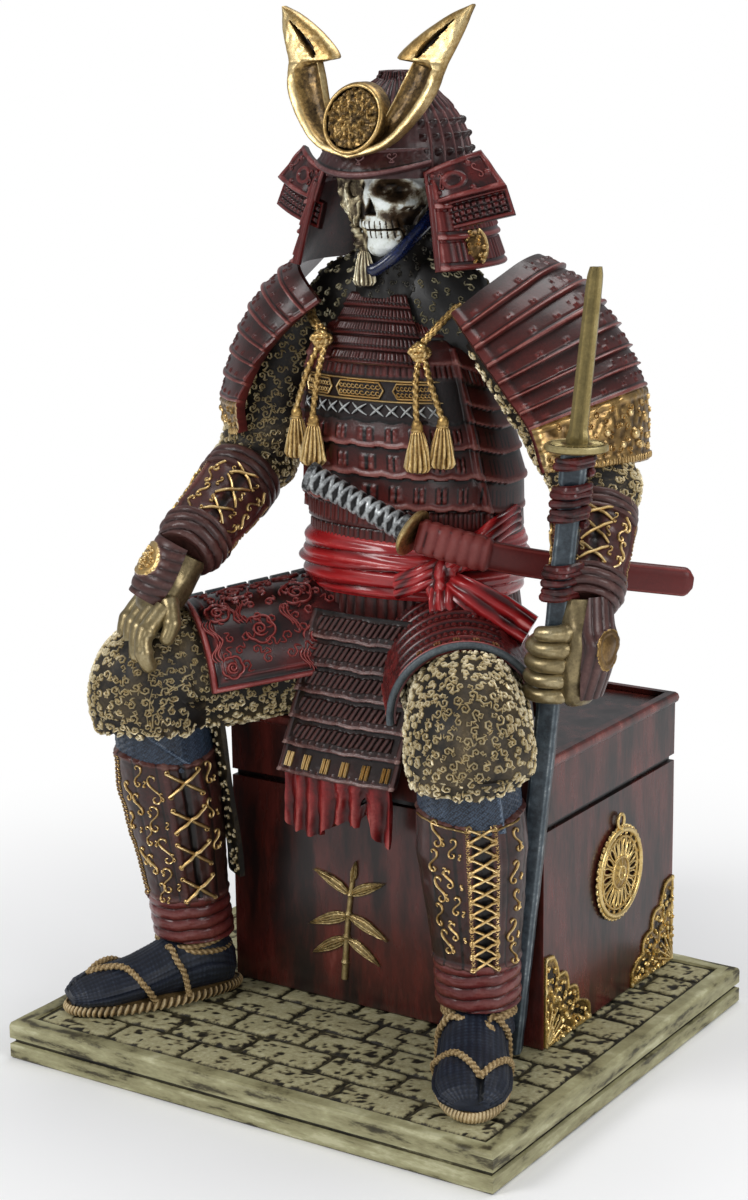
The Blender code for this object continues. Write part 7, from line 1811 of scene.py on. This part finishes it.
for side, node_name in ((-1, "right_thigh_plate"), (1, "left_thigh_plate")):
    u, v = shares(220, 120)
    plate = thigh_skin(side, u, v)
    hip, knee, ankle = leg_hubs[side]
    plate_off = outward(plate, away=(hip + knee) / 2)
    arc, length = u * 75, v * 46
    edge = np.minimum(np.minimum(u, 1 - u) * 75, (1 - v) * 46)
    lip = hump(edge, 0.9, 0.9)
    if side < 0:
        clouds = [(0.62, 0.28, 7.4, 1), (0.76, 0.60, 6.8, -1), (0.50, 0.66, 7.4, 1), (0.42, 0.26, 6.6, -1),
            (0.64, 0.84, 5.6, 1), (0.84, 0.24, 6.0, 1), (0.34, 0.56, 6.2, 1), (0.90, 0.84, 5.0, -1),
            (0.32, 0.86, 5.2, -1)]
        crowd = np.min([np.hypot(arc - cu * 75, length - cv * 46) / size for cu, cv, size, hand in clouds], 0)
        inner = hump(edge, 4.2, 0.45)
        rise = 0.9 * lip + 0.35 * inner + 0.3 * grain(arc, length, 12.0, 171)
        mark = (0.30 + 0.5 * lip + 0.2 * inner - 0.3 * hump(edge, 2.4, 0.7) - 0.25 * hump(crowd, 0.84, 0.1) + 0.14
            * grain(arc, length, 9.0, 172))
    else:
        rows = (length / 6.6) % 1
        scales = hump((arc + 0.9 * (np.floor(length / 6.6) % 2)) % 2.0, 1.0, 0.8) * hump(rows, 0.42, 0.26)
        laced = fair((arc - 24) / 1.0) * fair((60 - arc) / 1.0)
        field = 0.3 * np.abs(grain(arc, length, 2.4, 173)) + 0.3 * np.abs(grain(arc, length, 1.1, 174))
        rise = 0.9 * lip + laced * (0.5 * rows + 0.6 * scales + 0.3 * hump(rows, 0.9, 0.1)) + (1 - laced) * field
        mark = 0.36 + 0.4 * lip + laced * (0.25 * scales + 0.3 * hump(rows, 0.9, 0.12) - 0.1) + (1 - laced) * (0.8
            * field - 0.05)
    face = raised(plate, plate_off, rise)
    thigh_forms = [slab(face, plate - plate_off * 1.5, mark, 0.0, 0)]
    if side < 0:
        for cu, cv, size, hand in clouds:
            t = np.linspace(0, 3.3 * pi, 26)
            r = size * (0.08 + 0.30 * t / (3.3 * pi))
            thigh_forms.append(drawn(face, plate_off, cu, cv, hand * r * np.cos(t), r * np.sin(t), 0.48, 0.75, 0.0, 0))
            t = np.linspace(-0.3 * pi, 1.5 * pi, 40)
            r = size * (0.60 + 0.11 * np.abs(np.sin(t * 2.5)))
            thigh_forms.append(drawn(face, plate_off, cu, cv, hand * r * np.cos(t), -r * np.sin(t), 0.5, 0.8, 0.0, 0))
            t = np.linspace(0, 1, 18)
            for trail in (0.0, 1.1, 2.2):
                thigh_forms.append(drawn(face, plate_off, cu, cv, hand * (size * 0.45 + t * size
                    * (1.5 - trail * 0.15)), size * 0.5 + trail + 1.3 * np.sin(t * 5), 0.40, 0.6, 0.0, 0))
        thigh_forms += curls(face, plate_off, lambda a, b, at: (a > 0.09) & (a < 0.91) & (b > 0.03) & (b < 0.87), 4.6,
            1.9, 0.45, 0.6, 175, 0.0, 0, 13)
    else:
        for k in (-0.75, 0.0, 0.75):
            thigh_forms.append(drawn(face, plate_off, np.array((0.36, 0.44, 0.52, 0.60, 0.68)), np.full(5, 0.90),
                np.full(6, k), np.linspace(-1.7, 1.7, 6), 0.42, 0.6, 1.0, 0, 0.8))
    rim = np.linspace(0.0, 1.0, 90)
    if side > 0:
        thigh_forms.append(rope(thigh_skin(side, rim, 1.0, 0.3), 1.15, 10, 0.0, 1, 0.55))
    else:
        path = thigh_skin(side, 0.30 + 0 * rim, rim, 1.5)
        for start_at in range(0, 84, 14):
            thigh_forms.append(rope(path[start_at:start_at + 13], 1.7, 10, 0.0, 1, 0.55))
    piece(node_name + "_lacquer", thigh_forms, [plate_red, slate_paint], [node_name], 60)

# The katana
# A sword through the sash, edge up: a hilt bound in crossed cord over ray skin, a gilt oval guard and a red
# scabbard bound near its mouth. Cast with the figure and painted.
tsuba = np.array([22.5, -14.7, 172.6])
hilt_way = np.array([-0.915, -0.1, 0.39])
hilt_way /= np.linalg.norm(hilt_way)
hilt_paint = painted("ray_skin_hilt_paint", [(0.0, (0.003, 0.003, 0.003)), (0.4, (0.02, 0.02, 0.021)),
    (0.62, (0.22, 0.23, 0.235)), (1.0, (0.72, 0.76, 0.76))], rough=0.36, blotch=0.35, speck=0.3, size=3.0, metal=0.35,
    coat=0.2, fine=1.2)
t, turn = np.meshgrid(np.linspace(0, 1, 150), np.linspace(0, 2 * pi, 73), indexing="ij")
across_hilt = np.cross(hilt_way, (0, 1.0, 0))
across_hilt /= np.linalg.norm(across_hilt)
front_hilt = np.cross(across_hilt, hilt_way)
distance = 2.0 + 36.5 * t
waist = 1 - 0.12 * np.sin(pi * np.clip((t - 0.08) / 0.84, 0, 1)) + 0.06 * (t > 0.95)
round_turn = turn / (2 * pi) * 2
crossed = np.abs(((distance / 3.4 + round_turn) % 1) - 0.5), np.abs(((distance / 3.4 - round_turn) % 1) - 0.5)
lace_up = np.maximum(hump(crossed[0], 0.5, 0.27), hump(crossed[1], 0.5, 0.27)) * (t > 0.06) * (t < 0.95)
fitting = (t <= 0.06) | (t >= 0.95)
reach = (3.25 + 0.75 * lace_up + 0.8 * fitting) * waist
hilt = (tsuba + hilt_way * distance[..., None] + across_hilt * (np.cos(turn) * reach * 1.12)[..., None] + front_hilt
    * (np.sin(turn) * reach * 0.92)[..., None])
piece("hilt", [wrapped(hilt, 0.12 + 0.62 * lace_up + 0.4 * fitting, 0.0, 0)], [hilt_paint],
    ["katana_hilt"], 60)


def tsuba_ring(turn, radius, off, lobes=1.0):
    """A ring on the sword's guard, by its radius and its place along the blade."""
    return (tsuba + hilt_way * off + across_hilt * (np.cos(turn) * radius * lobes)[:, None]
        + np.cross(hilt_way, across_hilt) * (np.sin(turn) * radius * 1.22 * lobes)[:, None])


t = np.linspace(0, 2 * pi, 121)
rings = np.array([tsuba_ring(t, r, z, 1 + 0.012 * np.cos(t * 4)) for r, z in ((2.2, -0.9), (6.6, -0.9), (7.4, -0.4),
    (7.5, 0.3), (7.0, 1.0), (6.2, 0.85), (5.8, 0.5), (3.9, 0.5), (3.5, 1.0), (2.0, 1.3))])
guard_forms = [sleeve_form(rings[:, :-1], np.array([0.3, 0.4, 0.7, 0.8, 0.95, 0.5, 0.2, 0.35, 0.8, 0.6])[:, None], 1.0,
    0)]
t = np.linspace(0, 2 * pi, 28, endpoint=False)
guard_forms.append(beads(np.stack([tsuba_ring(t, 4.1, 0.5), tsuba_ring(t, 5.0, 0.6), tsuba_ring(t, 5.9, 0.6)], 1),
    np.broadcast_to(hilt_way, (28, 3, 3)), 0.32, 0.5, 1.0, 0))
piece("sword_guard", guard_forms, [crest_paint], ["katana_guard"], 40)
scabbard_paint = painted("dull_red_scabbard_paint", [(0.0, (0.006, 0.001, 0.001)), (0.35, (0.06, 0.006, 0.005)),
    (0.6, (0.14, 0.014, 0.012)), (1.0, (0.30, 0.08, 0.07))], rough=0.42, blotch=0.16, speck=0.08, size=14.0, coat=0.15,
    bump=0.1)
mouth, tip = tsuba - hilt_way * 1.4, np.array([94.0, 30.0, 156.5])
line = [mouth, mouth + (tip - mouth) * 0.3 + (1.5, -2.5, -1.8), mouth + (tip - mouth) * 0.65 + (1, -1.5, -1.5), tip]
rows, columns = 130, 61
path = curve_through(line, rows)
way = np.gradient(path, axis=0)
way = unit(way)
flat_way = np.cross(way, (0, 0, 1.0))
flat_way = unit(flat_way)
tall_way = np.cross(flat_way, way)
t, turn = np.meshgrid(np.linspace(0, 1, rows), np.linspace(0, 2 * pi, columns), indexing="ij")
bound = fair((0.30 - t) / 0.01) * fair(t / 0.02)
wraps = hump((t * 22 + 0.15 * np.sin(turn)) % 1, 0.5, 0.5) * bound
end = np.sqrt(np.clip(1 - (np.clip((t - 0.975) / 0.027, 0, 1)) ** 2.5, 0.02, 1))
c, s = (np.abs(w) ** (2 / 2.8) * np.sign(w) for w in (np.cos(turn), np.sin(turn)))
scabbard = (path[:, None] + tall_way[:, None] * (c * (4.5 + 0.5 * bound + 0.45 * wraps) * end)[..., None]
    + flat_way[:, None] * (s * (2.4 + 0.5 * bound + 0.45 * wraps) * end)[..., None] + way[:, None]
    * ((1 - end) * 1.5)[..., None])
piece("scabbard", [sleeve_form(scabbard[:, :-1], (0.5 + 0.3 * wraps - 0.3 * bound * (wraps < 0.15) + 0.25
    * hump(np.abs(np.cos(turn)), 0.8, 0.1) * (1 - bound))[:, :-1], 0.0, 0)], [scabbard_paint],
    ["katana_scabbard"], 40)

# The chest's gilt sprig
# A spray of bamboo in low relief on the chest's front, cast with it and gilded, the gold worn along its veins.
leaf_gold = painted("worn_leaf_gilding", [(0.0, (0.03, 0.02, 0.008)), (1.0, (0.5, 0.36, 0.14))], rough=0.4, blotch=0.35,
    speck=0.4, size=4.0, gold=[(0.0, (0.02, 0.010, 0.005)), (0.28, (0.15, 0.095, 0.04)), (0.55, (0.43, 0.32, 0.14)),
    (1.0, (0.74, 0.62, 0.36))], fine=1.2)
sprig_at, sprig_size = np.array([-4.95, -13.25, 39.7]), 37.0
sprig_forms = []
for (root_x, root_z), turn, length, width in (((0.05, 0.3), 28, 0.4, 0.09), ((0.04, 0.3), 152, 0.42, 0.09),
        ((0.03, 0.1), -18, 0.42, 0.1), ((0.03, 0.1), 196, 0.44, 0.1), ((0.07, 0.42), 78, 0.2, 0.06),
        ((0, -0.12), 205, 0.4, 0.1), ((0.02, -0.12), -25, 0.36, 0.09)):
    s, t = np.meshgrid(np.linspace(-1, 1, 25), np.linspace(0, 1, 60))
    along, across = np.array([cos(radians(turn)), 0, sin(radians(turn))]), np.array([-sin(radians(turn)), 0,
        cos(radians(turn))])
    half = width * 0.56 * sprig_size * np.sin(pi * np.clip(t, 0.02, 0.995) ** 0.72) ** 0.85
    half = half * (1 + 0.05 * grain(t * 20, s * 0, 1.5, int(turn) % 50 + 190))
    droop = -0.03 * sprig_size * t * t * (turn != 78)
    front = 0.75 + 0.45 * np.exp(-(s / 0.09) ** 2) - 0.35 * s * s + 0.12 * np.cos(s * 14) + 0.07 * grain(t * 15, s * 3,
        0.8, 191)
    middle = sprig_at + np.stack([root_x * sprig_size + 0 * t, 0 * t, root_z * sprig_size + droop], -1)
    flat = middle + along * (t * length * sprig_size)[..., None] + across * (s * half)[..., None]
    leaf, rear = flat.copy(), flat.copy()
    leaf[..., 1] -= front
    rear[..., 1] += 0.2
    sprig_forms.append(slab(leaf, rear, 0.52 + 0.4 * np.exp(-(s / 0.1) ** 2) + 0.16 * np.cos(s * 14) - 0.25
        * (np.abs(s) > 0.86), 1.0))
stem = curve_through([sprig_at + (-0.03 * sprig_size, 0, -0.5 * sprig_size), sprig_at + (0.01 * sprig_size, 0, 0),
    sprig_at + (0.07 * sprig_size, 0, 0.46 * sprig_size)], 90)
t = np.linspace(0, 1, 90)
joints = sum(0.42 * np.exp(-((t - j) / 0.012) ** 2) for j in (0.16, 0.4, 0.62, 0.82))
sprig_forms.append(rope(stem, 1.15 - 0.35 * t + joints, 16, 1.0, 0, 0.6))
piece("gilt_sprig", sprig_forms, [leaf_gold], ["chest_emblem"], 45)

# The chest's metal trims
# A pierced chrysanthemum medallion with a hanging loop and two stamped filigree corners, glued to the chest's side.
# They are thin stamped metal with an antique gilt finish, dark in the recesses.
trim_gold = painted("antique_gilt_metal", [(0.0, (0.02, 0.01, 0.004)), (1.0, (0.5, 0.33, 0.1))], rough=0.28,
    blotch=0.25, speck=0.25, size=5.0, gold=[(0.0, (0.010, 0.005, 0.002)), (0.3, (0.12, 0.065, 0.016)),
    (0.6, (0.50, 0.32, 0.085)), (1.0, (0.92, 0.72, 0.34))], fine=0.7)
medal_at = np.array([68.0, 35.0, 56.7])


def on_medal(radius, turn, lift):
    """Places on the medallion, by radius, turn and distance off the chest."""
    radius, turn, lift = np.broadcast_arrays(*(np.asarray(w, float) for w in (radius, turn, lift)))
    return medal_at + np.stack([lift, radius * np.sin(turn), radius * np.cos(turn)], -1)


ring = np.linspace(0, 2 * pi, 121)
medal_forms = [rope(on_medal(14.2, ring, 0.7), 0.95, 10, 1.0, 0, 0.8), rope(on_medal(11.9, ring, 0.6), 0.5, 8, 1.0, 0,
    0.65), rope(on_medal(5.3, ring, 0.9), 0.55, 8, 1.0, 0, 0.7), rope(on_medal(2.2, ring[::3], 1.4), 0.4, 7, 1.0, 0,
    0.8)]
wide_ring, narrow = np.meshgrid(ring[:-1], np.linspace(0, 1, 7))
disc = on_medal(0.05 + 5.2 * narrow, wide_ring, 0.9 + 0.7 * np.cos(narrow * pi / 2) + 0.25
    * np.abs(np.cos(wide_ring * 5)) * np.sin(pi * narrow))
back_disc = on_medal(5.3 * np.ones((1, 120)), ring[None, :-1], 0.1)
medal_forms.append(sleeve_form(np.concatenate([disc, back_disc]), 0.5, 1.0, 0))
for i in range(20):
    turn = 2 * pi * i / 20
    t = np.linspace(0, 2 * pi, 19)
    medal_forms.append(rope(on_medal(8.5 - 3.0 * np.cos(t), turn + np.sin(t) * 0.115, 0.75 + 0.1 * np.cos(t)), 0.34, 6,
        1.0, 0, 0.75))
    medal_forms.append(rope(on_medal(np.array([5.2, 8.0, 11.8]), turn + pi / 20, 0.45), 0.28, 5, 1.0, 0, 0.4))
    medal_forms.append(rope(on_medal(13.0 + 0.55 * np.cos(t[::3]), turn + 0.045 * np.sin(t[::3]), 0.7), 0.26, 5, 1.0, 0,
        0.7))
for i in range(40):
    turn = 2 * pi * i / 40
    t = np.linspace(0.15, pi - 0.15, 5)
    medal_forms.append(rope(on_medal(14.9 + 0.75 * np.sin(t), turn + 0.05 * np.cos(t), 0.55), 0.36, 6, 1.0, 0, 0.85))
t = np.linspace(0, 2 * pi, 41)
medal_forms.append(rope(medal_at + np.stack([0.8 + 0 * t, 2.1 * np.sin(t), 17.4 + 2.3 * np.cos(t)], -1), 0.62, 8, 1.0,
    0, 0.8))
medal_forms.append(rope(on_medal(np.array([13.6, 14.6, 15.6]), 0.0, 0.8), 1.0, 10, 1.0, 0, 0.7))
piece("medallion", medal_forms, [trim_gold], ["chest_medallion"], 50)
for node_name, corner_y, way in (("front_corner_bracket", -13.0, 1), ("rear_corner_bracket", 75.5, -1)):
    s, a = np.meshgrid(np.linspace(0.02, 1, 46), np.linspace(0, pi / 2, 130), indexing="ij")
    steps = 29.5 / (np.cos(a) + np.sin(a))
    full = np.minimum(steps * (1 + 0.13 * np.abs(np.sin(a * 8))) + 1.2, 30.0)
    r = s * full
    span, rise = 0.35 + r * np.cos(a), 0.35 + r * np.sin(a)
    rim = hump((1 - s) * full, 0.75, 0.75) + hump(span, 0.9, 0.8) + hump(rise, 0.9, 0.8) + 0.7 * hump(s, 0.62, 0.035)
    pierced = (np.abs(np.sin(a * 8)) > 0.55) * hump(s, 0.78, 0.09) + hump(np.hypot(span - 8, rise - 8), 0, 2.2)
    front = 0.35 + 0.35 * rim + 0.18 * np.abs(grain(span, rise, 1.2, 201)) - 0.25 * (pierced > 0.3)
    face = np.stack([67.6 + front, corner_y + way * span, 13.0 + rise], -1)
    rear = np.stack([np.full_like(front, 67.5), corner_y + way * span, 13.0 + rise], -1)
    bracket_forms = [slab(face, rear, 0.34 + 0.4 * rim - 0.5 * (pierced > 0.3), 1.0, 0)]
    off = np.broadcast_to(np.array([1.0, 0, 0]), face.shape)
    bracket_forms += curls(face, off, lambda u, v, at: (v > 0.15) & (v < 0.9) & (u > 0.04) & (u < 0.96), 2.7, 1.0, 0.34,
        0.5, 203, 1.0, 0, 12)
    for turn in np.linspace(0.12, pi / 2 - 0.12, 7):
        line = np.stack([np.full(8, 68.2), corner_y + way * (0.4 + np.linspace(2, 12, 8) * cos(turn)), 13.3
            + np.linspace(2, 12, 8) * sin(turn)], -1)
        bracket_forms.append(rope(line, 0.36, 6, 1.0, 0, 0.75))
    piece(node_name + "_filigree", bracket_forms, [trim_gold], [node_name], 50)
